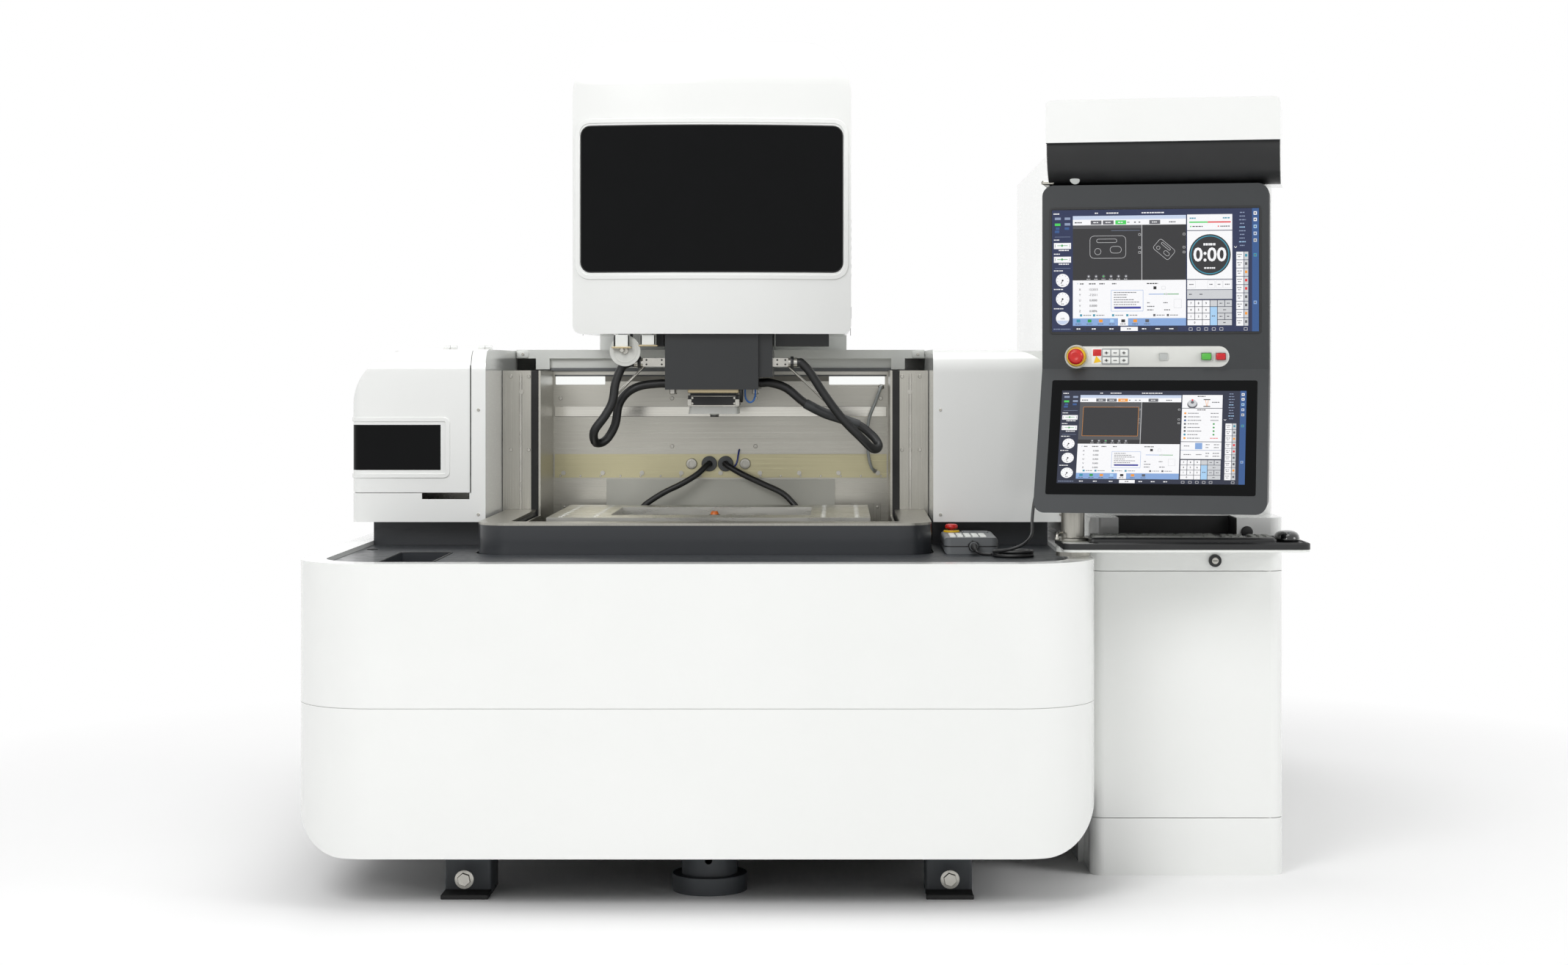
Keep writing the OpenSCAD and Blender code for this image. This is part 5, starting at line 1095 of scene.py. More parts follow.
flatBars = markBars(stripPad["x"], stripPad["markHalf"][0], stripPad["markThin"])
uprightBars = markBars(stripPad["x"][::2], stripPad["markThin"], stripPad["markHalf"][1])
consolePiece("stripKeyMarks", joined([flatBars, uprightBars]), plastic["black"])
print("button strip built")

# the hood's dark lining follows its curved underside, a little proud of it: over an angle a up to a quarter
# turn, y is the front edge plus the reach times (1 - cos a), and z is the foot plus the rise times (1 - sin a)
hood = {
    "x": (-72.5, 506.5), "y": 69.0, "reach": 86.0, "z": 1755.0, "rise": 103.0, "steps": 25, "inside": 1.0,
    "proud": 1.2, "lip": [(-73, 53.4, 1856.4), (507, 69.4, 1858.6)],
    "sidePlate": [(-92, 118, 1757.5), (-60, 232, 1768)], "lampSpot": (-6, 116, 1771),
    "lamp": [(13, -4), (13, 5), (11.5, 8), (7, 9.5), (0.02, 10)], "screwX": (-40, 217, 474), "screwY": 303,
    "screwZ": (1790, 1935)
}
a = np.linspace(0.0, np.pi / 2, hood["steps"])
curve = np.stack([hood["y"] + hood["reach"] * (1 - np.cos(a)), hood["z"] + hood["rise"] * (1 - np.sin(a))], -1)
normal = unitOf(np.stack([-np.cos(a) * hood["rise"], -np.sin(a) * hood["reach"]], -1))
inner, outer = curve - normal * hood["inside"], curve + normal * hood["proud"]
corners = ((inner, 0), (inner, 1), (outer, 1), (outer, 0))
liner = [np.stack([np.full(len(c), hood["x"][end]), c[:, 0], c[:, 1]], -1) for c, end in corners]
consolePiece("hoodLining", ringSkin(np.stack(liner, 1)), plastic["black"])
consolePiece("hoodLip", blocks([hood["lip"]], 0.6), plastic["body"])
consolePiece("hoodSidePlate", blocks([hood["sidePlate"]], 2.5), steel["trim"])
consolePiece("hoodLamp", lathe(hood["lamp"], hood["lampSpot"], forward, 28), clearWhite)
hoodScrew = [(0.02, -1), (5.5, -1), (5.5, 2.2), (4.2, 3.4), (1.8, 3.5), (1.8, 1.8), (0.02, 1.8)]
hoodSpots = [(x, hood["screwY"], z) for x in hood["screwX"] for z in hood["screwZ"]]
consolePiece("hoodBackScrews", latheRow(hoodScrew, hoodSpots, backward, 14), steel["bolt"])

# the console's back: a louvred cover with its screws, and the upper screen's bezel at the front
back = {
    "y": 235, "x": 195, "z": 1520, "cover": (500, 420, 18, 1.6), "screwReach": (238, 198),
    "screw": [(0.02, -1), (5.5, -1), (5.5, 4), (4.2, 5), (1.8, 5.2), (1.8, 3.4), (0.02, 3.4)],
    "louvreX": (80, 310), "louvreTop": 1610, "louvrePitch": 22, "louvres": 8, "louvre": (150, 9, 4.5, 3.5, 1.6),
    "bezelSpot": (195, 114.6, 1538), "bezel": (530, 320, 8, 4.5, 1.5, 0.4)
}
louvreSpots = [
    (x, back["y"], back["louvreTop"] - back["louvrePitch"] * k) for k in range(back["louvres"])
    for x in back["louvreX"]
]
consolePiece("consoleLouvres", plateRow(louvreSpots, left, upward, *back["louvre"]), plastic["body"])
consolePiece(
    "consoleBackCover", plate((back["x"], back["y"], back["z"]), left, upward, *back["cover"]), plastic["black"]
)
reachX, reachZ = back["screwReach"]
screwSpots = [(back["x"] + i * reachX, back["y"], back["z"] + k * reachZ) for i in (-1, 0, 1) for k in (-1, 1)]
consolePiece("consoleBackScrews", latheRow(back["screw"], screwSpots, backward, 14), steel["bolt"])
consolePiece(
    "upperBezel", hoop(back["bezelSpot"], right, upward, *back["bezel"]), plastic["black"],
)
print("console dressed")

# the keyboard tray: a dark mat in a raised double rim, and the collar on the pillar
tray = {
    "z": 862.0, "rimSpot": (1196.0, 285.5, 849.0), "rim": (604.4, 279.4, 23, 3.8, 15.2, 1.4),
    "matSpot": (1232, 285.5, 861.6), "mat": (516, 260, 14, 1.9), "matRim": (520, 264, 16, 5, 4.4, 1.6),
    "collarSpot": (928, 280, 862), "collar": [(30.6, 0), (39, 0), (41, 2), (41, 8), (39, 10), (30.6, 10)]
}
trayParts = [
    hoop(tray["rimSpot"], right, backward, *tray["rim"]),
    hoop(tray["matSpot"], right, backward, *tray["matRim"]),
    plate(tray["matSpot"], right, backward, *tray["mat"])
]
makePiece("trayRim", joined(trayParts), plastic["black"], "tray")
makePiece(
    "trayCollar", lathe(tray["collar"], tray["collarSpot"], upward, 36), steel["trim"], "tray"
)

# the keyboard: a case with a raised hand rest, and its keys, row by row from their widths in key units
board = {
    "x": 962.0, "y": 188.0, "w": 460.0, "d": 150.0, "corner": 10, "thick": 9.5, "bevel": 2.4,
    "rest": {"y": 18, "margin": 6, "d": 31, "r": 9, "levels": ((8.0, 0), (10.5, 0.6), (12.4, 3), (13.0, 7))}
}
boardMid = board["x"] + board["w"] / 2
case = plate(
    (boardMid, board["y"] + board["d"] / 2, tray["z"]), right, backward, board["w"], board["d"],
    board["corner"], board["thick"], board["bevel"]
)
rest, restRings = board["rest"], []
for height, cut in rest["levels"]:
    loop = roundedLoop(board["w"] - rest["margin"] - 2 * cut, rest["d"] - 2 * cut, rest["r"] - cut)
    restRings.append(
        np.column_stack(
            [boardMid + loop[:, 0], board["y"] + rest["y"] + loop[:, 1], np.full(len(loop), tray["z"] + height)]
        )
    )
keyboardCase = makePiece(
    "keyboardCase", joined([case, ringSkin(restRings)]), plastic["black"], "tray"
)
gapShare = 0.9  # in the top row, a width under this is a gap
keyRows = [
    [1, 0.5] + [1] * 4 + [0.4] + [1] * 4 + [0.4] + [1] * 4, [1] * 13 + [1.3], [1.5] + [1] * 12 + [0.8],
    [1.75] + [1] * 11 + [1.55], [2.2] + [1] * 10 + [2.1], [1.3, 1.3, 1.3, 6.2, 1.3, 1.3, 1.6]
]
pitch = {
    "x": 21.4, "y": 17.3, "gap": 1.8, "rowUnits": 14.3, "left": board["x"] + 12.0,
    "top": board["y"] + board["d"] - 10.0, "low": tray["z"] + 8.0, "high": tray["z"] + 15.2, "dish": 0.25
}
sideKeys = {
    "arrows": 335.0, "numbers": 402.0, "columns": 3, "rows": 5, "x": 17.6, "w": 16.0, "d": 16.0, "edge": 0.6
}
caps = []
for row, sizes in enumerate(keyRows):
    x, y = pitch["left"], pitch["top"] - row * pitch["y"]
    scale = pitch["rowUnits"] * pitch["x"] / sum(sizes)
    for size in sizes:
        w = size * scale
        if row or size >= gapShare:
            low = (x + pitch["gap"] / 2, y - pitch["y"] + pitch["gap"] / 2, pitch["low"])
            caps.append(
                (
                    low,
                    (
                        x + w - pitch["gap"] / 2, y - pitch["gap"] / 2,
                        pitch["high"] + pitch["dish"] * abs(row - 3)
                    )
                )
            )
        x += w
# which of the arrow block's three columns has a key
arrowRows = {0: (0, 1, 2), 1: (0, 1, 2), 3: (1,), 4: (0, 1, 2)}
for block in ("arrows", "numbers"):
    for row in range(sideKeys["rows"]):
        for n in arrowRows.get(row, ()) if block == "arrows" else range(sideKeys["columns"]):
            x, y = board["x"] + sideKeys[block] + sideKeys["x"] * n, pitch["top"] - (row + 1) * pitch["y"]
            caps.append(
                ((x, y - sideKeys["d"], pitch["low"]), (x + sideKeys["w"], y - sideKeys["edge"], pitch["high"]))
            )
greyKeys = moulded("greyKeys", "#a9aba6", "#9a9c98", gloss=0.45)
makePiece("keyboardKeys", blocks(caps, 1.5), greyKeys, "tray", smooth=30)

# the mouse: a squarish oval in plan that shrinks toward the top, its height falling with the square of the
# distance from the palm
mouse = {
    "x": 1455, "y": 250, "half": (30, 53), "palmY": 240, "low": 1.8, "rise": 27.5, "fall": 5.5,
    "round": (0.8, 0.85),
    "levels": [
        (0.0, 0.94), (0.12, 1.0), (0.35, 0.99), (0.6, 0.93), (0.78, 0.81), (0.9, 0.62), (0.97, 0.38), (1.0, 0.1)
    ],
    "wheelSpot": (1455, 213, 882.4), "wheel": [(2, -3), (5.6, -3), (6, -2), (6, 2), (5.6, 3), (2, 3)]
}
turn = np.linspace(0, 2 * np.pi, 41)[:-1]
shellRings = []
for height, share in mouse["levels"]:
    x = mouse["x"] + mouse["half"][0] * share * np.sign(
        np.cos(turn)
    ) * np.abs(np.cos(turn)) ** mouse["round"][0]
    y = mouse["y"] + mouse["half"][1] * share * np.sign(
        np.sin(turn)
    ) * np.abs(np.sin(turn)) ** mouse["round"][1]
    top = mouse["rise"] - mouse["fall"] * ((y - mouse["palmY"]) / mouse["half"][1]) ** 2
    shellRings.append(np.stack([x, y, tray["z"] + mouse["low"] + height * top], -1))
glossyBlack = finishOf(
    "glossyBlack", grainGroup, {"Base": tint("#0b0b0c"), "Shade": tint("#141415"), "Gloss loss": 0.12},
    bump=0.01, Coat_Weight=0.6
)
mouseShell = makePiece("mouse", ringSkin(shellRings), glossyBlack, "tray", smooth=60)
makePiece(
    "mouseWheel", lathe(mouse["wheel"], mouse["wheelSpot"], right, 18), plastic["grey"], "tray"
)
for piece in (keyboardCase, mouseShell):
    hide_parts("keyboard_set")
hook = {
    "path": [(900, 262, 884), (893, 256, 884), (888, 250, 882), (886, 247, 876), (886, 246, 871)],
    "radius": 3.2, "endSpot": (886, 246, 869), "end": [(0.02, -3), (5.4, -3), (6.2, 0), (5.4, 3), (0.02, 3)]
}
hookShape = joined(
    [tube(curveThrough(hook["path"], 5), hook["radius"]), lathe(hook["end"], hook["endSpot"], upward, 16)]
)
makePiece("pillarHook", hookShape, steel["bolt"], "machine")
print("tray dressed")


# the work area: light bars, wall bands, screws, bosses, lines and the small parts under the head
# a row of socket screws: a bevelled head with a sunk middle
def screwHeads(spots, radius, direction, height=4.0, sides=16):
    profile = [
        (0.02, -1.5), (radius, -1.5), (radius, height * 0.7), (radius * 0.84, height), (radius * 0.5, height),
        (radius * 0.45, height * 0.4), (0.02, height * 0.4)
    ]
    return latheRow(profile, spots, direction, sides)


lightBar = {"x": ((-484, -339), (318, 482)), "y": (1424, 1430), "z": (1243, 1267)}
lightBars = [
    [(low, lightBar["y"][0], lightBar["z"][0]), (high, lightBar["y"][1], lightBar["z"][1])]
    for low, high in lightBar["x"]
]
makePiece("lightBars", blocks(lightBars, 1.5), glowing("barLight", 0.95, "#fbfdfb"), "machine")
# low and high corners of the thin parts on the back wall
wallParts = {
    "lightHousing": [[(-500, 1418, 1282), (500, 1431, 1292)], [(-487, 1425.5, 1268), (487, 1430, 1272)]],
    "wallDarkBand": [[(-339, 1427, 1253), (318, 1430.8, 1269)]],
    "wallBrightBand": [[(-487, 1427.2, 1149), (487, 1430.8, 1179)]],
    "sealEndPlates": [[(-470, 1428.7, 824), (-354, 1430.5, 893)], [(356, 1428.7, 824), (470, 1430.5, 893)]]
}
darkBand = moulded("bandShade", "#77756e", "#65635d", gloss=0.45, metallic=0.7)
brightBand = brushed("polishedBand", "#cfcdc5", "#b7b5ad", alongX, gloss=0.16, rubs=0.08)
makePiece("lightHousing", blocks(wallParts["lightHousing"], 1.2), plastic["grey"], "machine")
makePiece("wallDarkBand", blocks(wallParts["wallDarkBand"], 0.8), darkBand, "machine")
makePiece("wallBrightBand", blocks(wallParts["wallBrightBand"], 0.8), brightBand, "machine")
wallScrew = {
    "y": 1430, "places": ((-143, 1203), (102, 1203), (-143, 1062), (102, 1062), (-470, 1203), (470, 1203)),
    "r": 6.0
}
wallSpots = [(x, wallScrew["y"], z) for x, z in wallScrew["places"]]
makePiece(
    "wallScrews", screwHeads(wallSpots, wallScrew["r"], forward), steel["bolt"], "machine"
)

# the clamping band: a row of small screws, a dark disc on each cap and a bright boss beside it
band = {
    "y": 1425, "screwReach": 470, "screws": 17, "screwZ": 975, "screwR": 3.2, "capZ": 1011, "capX": (-33, 15),
    "disc": [(10, -1), (22.6, -1), (22.6, 13.6), (21.2, 15.0), (10, 15.2)], "bossX": (-85, 72),
    "boss": [(0.02, -2), (16, -2), (16, 9), (14.6, 11), (9.5, 11.4), (9.5, 6), (0.02, 6)], "middle": 5
}
bandSpots = [
    (x, band["y"], band["screwZ"]) for x in np.linspace(-band["screwReach"], band["screwReach"], band["screws"])
    if abs(x) > band["middle"]
]
makePiece(
    "bandScrews", screwHeads(bandSpots, band["screwR"], forward, 2.4, 12), steel["bolt"], "machine",
)
discSpots, bossSpots = ([(x, band["y"], band["capZ"]) for x in band[k]] for k in ("capX", "bossX"))
darkDiscs = moulded("darkDiscs", "#55585a", "#4a4d4f", gloss=0.4)
makePiece("bandCapDiscs", latheRow(band["disc"], discSpots, forward, 36), darkDiscs, "machine")
makePiece("bandBosses", latheRow(band["boss"], bossSpots, forward, 28), steel["trim"], "machine")

sealEnd = {"x": (-460, -364, 366, 460), "y": 1428.7, "z": (834, 883), "r": 4.0, "high": 0.4}
makePiece("sealEndPlates", blocks(wallParts["sealEndPlates"], 1.0), steel["trim"], "machine")
sealSpots = [(x, sealEnd["y"], z) for x in sealEnd["x"] for z in sealEnd["z"]]
makePiece(
    "sealEndScrews", screwHeads(sealSpots, sealEnd["r"], forward, sealEnd["high"], 12), steel["bolt"],
    "machine"
)
flange = {
    "x": 547, "half": 4, "y": (1098.6, 1101.5), "z": (872, 1276), "screwX": (524, 574), "screwY": 1100,
    "screwZ": (892, 1062, 1268), "screwR": 5.0
}
flangeStrips = [
    [
        (s * flange["x"] - flange["half"], flange["y"][0], flange["z"][0]),
        (s * flange["x"] + flange["half"], flange["y"][1], flange["z"][1])
    ]
    for s in bothSides
]
makePiece("flangeStrips", blocks(flangeStrips, 0.8), steel["bolt"], "machine")
flangeSpots = [
    (s * x, flange["screwY"], z) for s in bothSides for x in flange["screwX"] for z in flange["screwZ"]
]
makePiece(
    "flangeScrews", screwHeads(flangeSpots, flange["screwR"], forward, 3.4, 14), steel["bolt"], "machine",
)
beamEnd = {"x": 578, "y": 1408, "z": 1332, "cap": (34, 21, 6, 3.2, 1.2), "screwY": 1405, "screwR": 4.2}
capSpots, beamSpots = (
    [(s * beamEnd["x"], y, beamEnd["z"]) for s in bothSides] for y in (beamEnd["y"], beamEnd["screwY"])
)
makePiece(
    "beamEndCaps", plateRow(capSpots, right, upward, *beamEnd["cap"]), gloss["softWhite"], "machine",
)
makePiece(
    "beamScrews", screwHeads(beamSpots, beamEnd["screwR"], forward, 2.4, 12), steel["bolt"], "machine",
)
print("back wall dressed")

# free air and water lines in the tank and under the ram; lengths follow the picture
lines = {
    "blueLoop": {
        "radius": 2.5, "body": "z_stage", "slot": "z_ram", "skin": ("blueTube", "#2467b4", "#1d579c", 0.25),
        "path": [
            (90, 915, 1236), (90, 915, 1231), (90, 915, 1226), (91, 915, 1212), (96, 915, 1202),
            (104, 915, 1198), (112, 915, 1202), (117, 915, 1212), (118, 915, 1226), (118, 915, 1231),
            (118, 915, 1236)
        ]
    },
    "blackDrop": {
        "radius": 4.5, "body": "z_stage", "slot": "z_ram",
        "path": [
            (80, 888, 1236), (80, 888, 1230), (80, 888, 1224), (80, 892, 1211), (80, 902, 1203),
            (80, 914, 1203), (80, 924, 1211), (80, 928, 1224), (80, 928, 1230), (80, 928, 1236)
        ]
    },
    "blueFeed": {
        "radius": 2.5, "body": "machine", "slot": "tank_back_wall",
        "skin": ("deepBlueTube", "#2a3f9a", "#20327f", 0.25),
        "path": [
            (55, 1428, 1052), (55, 1424, 1052), (55, 1420, 1052), (54, 1412, 1048), (52, 1405, 1036),
            (50, 1402, 1022), (46, 1400, 1010), (40, 1397, 1003), (34, 1395, 1000)
        ]
    },
    "clearLine": {
        "radius": 4.5, "body": "machine", "slot": "tank_back_wall",
        "skin": ("clearGreyTube", "#a9aeae", "#979c9c", 0.2),
        "path": [
            (471, 1424, 1236), (471, 1416, 1236), (471, 1408, 1236), (466, 1392, 1226), (452, 1382, 1188),
            (434, 1378, 1140), (430, 1378, 1084), (434, 1379, 1032), (442, 1386, 1002), (450, 1400, 992),
            (452, 1412, 990), (452, 1424, 990)
        ]
    }
}
# wall beyond the tube, and height off the wall, of the clear line's hexagon fittings
fitting = {"y": 1430, "steps": [(5, 0), (5, 4), (3, 5), (3, 11), (1.2, 13), (0.1, 13)], "sides": 6}
for name, line in lines.items():
    path = curveThrough(line["path"], 3)
    skin = moulded(*line["skin"][:3], gloss=line["skin"][3]) if "skin" in line else plastic["cable"]
    piece = makePiece(name, tube(path, line["radius"]), skin, line["body"], smooth=60)
    print(name, round(lengthOf(path), 3), "m")
clearLine = lines["clearLine"]
fittingProfile = [(clearLine["radius"] + wall, height) for wall, height in fitting["steps"]]
fittingSpots = [(end[0], fitting["y"], end[2]) for end in (clearLine["path"][0], clearLine["path"][-1])]
makePiece(
    "lineFittings", latheRow(fittingProfile, fittingSpots, forward, fitting["sides"]), steel["bolt"], "machine",
)

# the table's threaded holes carry bright sleeves
sleeve = {
    "x": (305, 395), "y": 740, "pitch": 70, "count": 9, "z": 894.8, "size": (15, 15, 7.5, 3.6, 0.9, 0.3, 4)
}
sleeveSpots = [
    (s * x, sleeve["y"] + sleeve["pitch"] * i, sleeve["z"]) for s in bothSides for x in sleeve["x"]
    for i in range(sleeve["count"])
]
sleeves = [hoop(spot, right, backward, *sleeve["size"]) for spot in sleeveSpots]
makePiece("holeSleeves", joined(sleeves), gloss["white"], "machine")
# the deck: the pocket's lip and the plugs over its lifting points
deck = {
    "pocketSpot": (-718.5, 354.5, 814.6), "pocket": (139, 341, 12, 5, 2.4, 0.8), "plugZ": 815,
    "plugs": ((-880, 160), (-880, 640), (-320, 160), (420, 160), (800, 130)),
    "plug": [(0.02, -1), (14, -1), (14, 1.6), (12, 2.8), (0.02, 3.0)]
}
deckPlugs = latheRow(deck["plug"], [(x, y, deck["plugZ"]) for x, y in deck["plugs"]], upward, 24)
pocketLip = hoop(deck["pocketSpot"], right, backward, *deck["pocket"])
makePiece("deckTrim", joined([pocketLip, deckPlugs]), plastic["black"], "machine")
print("tank dressed")

# the ram's underside: gold rails, end brackets, the guide's pad and screws, both wire tips
guide = {
    "y": 1050, "rails": [[(-70, 966, 1223), (70, 982, 1233.4)], [(-70, 1118, 1223), (70, 1134, 1233.4)]],
    "endX": 114.5, "endHalf": 8, "endY": (1000, 1090), "endZ": (1219, 1235), "screwX": (-58, 58),
    "screwZ": (1194, 1209), "faceReach": 70, "screwR": 3.6,
    "tip": [(3, 1155.9), (9, 1155.9), (11.6, 1158), (12.6, 1163), (12.6, 1166), (3, 1166)],
    "lowTip": [(3.5, 892.9), (8, 892.9), (11, 888), (12.4, 882.6), (3.5, 882.6)],
    "pad": ((69, 72, 1165.4), (69, 72, 1168), (66, 70, 1184), (66, 70, 1186.2)), "padCorner": 0.16,
    "edging": [
        [(-71, 977.4, 1185.6), (71, 981, 1190)], [(-72, 976.6, 1188), (-60, 980.4, 1206)],
        [(60, 976.6, 1188), (72, 980.4, 1206)], [(-62, 978, 1213), (62, 981, 1215.3)]
    ]
}
golden = brushed("goldenRails", "#b9ab8c", "#9d9072", alongX, gloss=0.25)
makePiece("guideGoldRails", blocks(guide["rails"], 1.0), golden, "z_stage")
guideEnds = [
    [
        (s * guide["endX"] - guide["endHalf"], guide["endY"][0], guide["endZ"][0]),
        (s * guide["endX"] + guide["endHalf"], guide["endY"][1], guide["endZ"][1])
    ]
    for s in bothSides
]
makePiece("guideEndBrackets", blocks(guideEnds, 2.0), steel["bolt"], "z_stage")
guideSpots = [(x, guide["y"] - guide["faceReach"], z) for x in guide["screwX"] for z in guide["screwZ"]]
makePiece(
    "guideScrews", screwHeads(guideSpots, guide["screwR"], forward, 2.2, 12), steel["bolt"], "v_stage",
)
wireLine = (0, guide["y"], 0)
makePiece("nozzleTip", lathe(guide["tip"], wireLine, upward, 30), plastic["pale"], "v_stage")
orangeTip = moulded("orangeTip", "#e0701c", "#c96218", gloss=0.35)
makePiece("lowerTip", lathe(guide["lowTip"], wireLine, upward, 30), orangeTip, "low_y_stage")

# the feeder cables' brackets: small screws, and a gland nut on each steel rod
bracket = {
    "screwX": (-180, -138, 178, 200), "screwY": 915, "screwZ": (1302, 1314), "screwR": 2.6,
    "nuts": ((-190, left), (208, right)), "nutY": 930, "nutZ": 1307,
    "nut": [(12.2, 6), (16.6, 6), (17.2, 7.5), (17.2, 13), (16.4, 14.5), (12.2, 14.5)]
}
bracketSpots = [(x, bracket["screwY"], z) for x in bracket["screwX"] for z in bracket["screwZ"]]
makePiece(
    "bracketScrews", screwHeads(bracketSpots, bracket["screwR"], forward, 1.8, 10), plastic["black"], "z_stage",
)
glandNuts = [
    lathe(bracket["nut"], (x, bracket["nutY"], bracket["nutZ"]), outward, 8) for x, outward in bracket["nuts"]
]
makePiece("glandNuts", joined(glandNuts), plastic["black"], "z_stage")
padLoop = roundedLoop(2, 2, guide["padCorner"])
padRings = [
    np.column_stack([w * padLoop[:, 0], guide["y"] + d * padLoop[:, 1], np.full(len(padLoop), z)])
    for w, d, z in guide["pad"]
]
makePiece("guidePad", ringSkin(padRings), plastic["pale"], "v_stage")
makePiece("guideEdging", blocks(guide["edging"], 0.6), steel["bolt"], "v_stage")

# the wire rollers' yokes beside the ram, and the white roller's hub
yoke = {
    "cheeks": ((-266, 1350), (-228, 1350), (-194, 1355), (-157, 1355)), "wide": 6, "y": (868, 884),
    "top": 1384.6, "backs": [[(-266, 868, 1350), (-222, 872, 1383)], [(-194, 868, 1355), (-151, 872, 1383)]],
    "feet": [[(-271, 862, 1345.6), (-217, 885, 1350)], [(-198, 862, 1350.8), (-147, 885, 1355)]],
    "studSpot": (-243, 872, 1340), "stud": [(0.02, -9), (6.4, -9), (6.4, 7), (5.2, 8.4), (0.02, 8.4)]
}
cheeks = [[(x, yoke["y"][0], low), (x + yoke["wide"], yoke["y"][1], yoke["top"])] for x, low in yoke["cheeks"]]
makePiece("rollerYokes", blocks(cheeks + yoke["backs"], 1.2), gloss["softWhite"], "y_stage")
makePiece("yokePlates", blocks(yoke["feet"], 0.8), golden, "y_stage")
makePiece(
    "yokeStud", lathe(yoke["stud"], yoke["studSpot"], forward, 20), steel["bolt"], "y_stage"
)
roller = {
    "spot": (-236, 886, 1339),
    "hub": [(0.02, -1), (9.5, -1), (9.5, 4.0), (8.4, 5.2), (3.4, 5.4), (3.2, 3), (0.02, 3)],
    "ring": [(29, -0.4), (29.8, 0.9), (33.4, 0.9), (34.2, -0.4)]
}
makePiece(
    "rollerHub", lathe(roller["hub"], roller["spot"], forward, 28), steel["bolt"], "roller"
)
makePiece(
    "rollerRing", lathe(roller["ring"], roller["spot"], forward, 40), plastic["pale"], "roller"
)

# the braided sleeve over one stretch of the right feeder cable
braid = {
    "from": 10, "to": 14, "radius": 14.0, "sides": 18,
    "values": {"Gloss loss": 0.5, "Grain scale": 380.0, "Drift": 0.8}
}
braidPath = curveThrough(feederRoutes["right"][braid["from"]:braid["to"]], 6)
braidSkin = finishOf(
    "braidedSleeve", grainGroup, {"Base": tint("#2b2d2f"), "Shade": tint("#55585a"), **braid["values"]},
    bump=0.6
)
makePiece(
    "feederBraid", tube(braidPath, braid["radius"], braid["sides"]), braidSkin, "z_stage",
    smooth=60
)
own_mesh(bpy.data.objects["feederBraid"])
print("head's underside dressed")


# the head's and the wing's raised window frames, bent to the surfaces they sit on
def filledLoop(w, h, r, steps, fill):  # a rounded loop whose straight edges also carry fill points each
    loop = roundedLoop(w, h, r, steps).reshape(4, steps + 1, 2)
    share = (np.arange(1, fill + 1) / (fill + 1))[None, :, None]
    edges = loop[:, -1:] + share * (np.roll(loop, -1, axis=0)[:, :1] - loop[:, -1:])
    return np.concatenate([loop, edges], axis=1).reshape(-1, 2)


# a frame in the flat, sunk a little at its foot, then bend takes across, up and height to its place
def bentFrame(w, h, r, wide, thick, bevel, bend, fill=40, sunk=1.2):
    rings = []
    for inset, height in (
        (0, -sunk), (0, thick - bevel), (bevel, thick), (wide - bevel, thick), (wide, thick - bevel),
        (wide, -sunk)
    ):
        loop = filledLoop(w - 2 * inset, h - 2 * inset, r - inset, 6, fill)
        rings.append(bend(loop[:, 0], loop[:, 1], np.full(len(loop), height)))
    return ringSkin(np.array(rings), loop=True)


headFront = {
    "half": 380.0, "bow": 46.0, "y": 850.0, "mid": 1752.0, "frame": (746, 438, 40, 13, 3.4, 1.3),
    "seal": (717, 401, 28, 3.2, 1.4, 0.5)
}
bowRadius = (headFront["half"] ** 2 + headFront["bow"] ** 2) / (2 * headFront["bow"])


# the head's front is an arc in plan: y falls back from the bow's tip by the circle's own height
def onBow(x, z, h):
    y = headFront["y"] + bowRadius - np.sqrt(bowRadius ** 2 - x ** 2) - h
    return np.stack([x, y, z + headFront["mid"]], -1)


makePiece("headWindowFrame", bentFrame(*headFront["frame"], onBow), gloss["white"], "y_stage")
makePiece("headWindowSeal", bentFrame(*headFront["seal"], onBow), plastic["rubber"], "y_stage")
wing = {
    "start": -694.0, "face": 760.0, "side": -957.0, "round": 28.0, "mid": 1079.0, "length": 388.0,
    "frame": (163, 17, 12, 3.0, 1.2)
}


# s runs from the frame's right end along the front, round the corner and back along the side
def onWing(s, z, h):
    straight = wing["start"] - (wing["side"] + wing["round"])
    angle = np.clip((s - straight) / wing["round"], 0, np.pi / 2)
    corner = wing["round"] + h
    x = np.where(s < straight, wing["start"] - s, wing["side"] + wing["round"] - corner * np.sin(angle))
    past = np.maximum(s - straight - wing["round"] * np.pi / 2, 0)
    y = wing["face"] + wing["round"] - corner * np.cos(angle) + past
    return np.stack([x, y, z + wing["mid"]], -1)


wingFrame = bentFrame(wing["length"], *wing["frame"], lambda s, z, h: onWing(s + wing["length"] / 2, z, h), 60)
makePiece("wingWindowFrame", wingFrame, gloss["white"], "wing_lid")
wingTrim = {
    "seam": [(-640.5, 759.2, 960), (-638.8, 760.6, 1300)], "screwY": 760, "screwR": 4.2,
    "screws": ((-618, 900), (-618, 1180), (618, 900), (940, 900), (618, 1180))
}
makePiece("wingSeam", blocks([wingTrim["seam"]], 0.3), plastic["rubber"], "machine")
wingSpots = [(x, wingTrim["screwY"], z) for x, z in wingTrim["screws"]]
makePiece(
    "wingScrews", screwHeads(wingSpots, wingTrim["screwR"], forward, 2.2, 12), steel["bolt"], "machine",
)

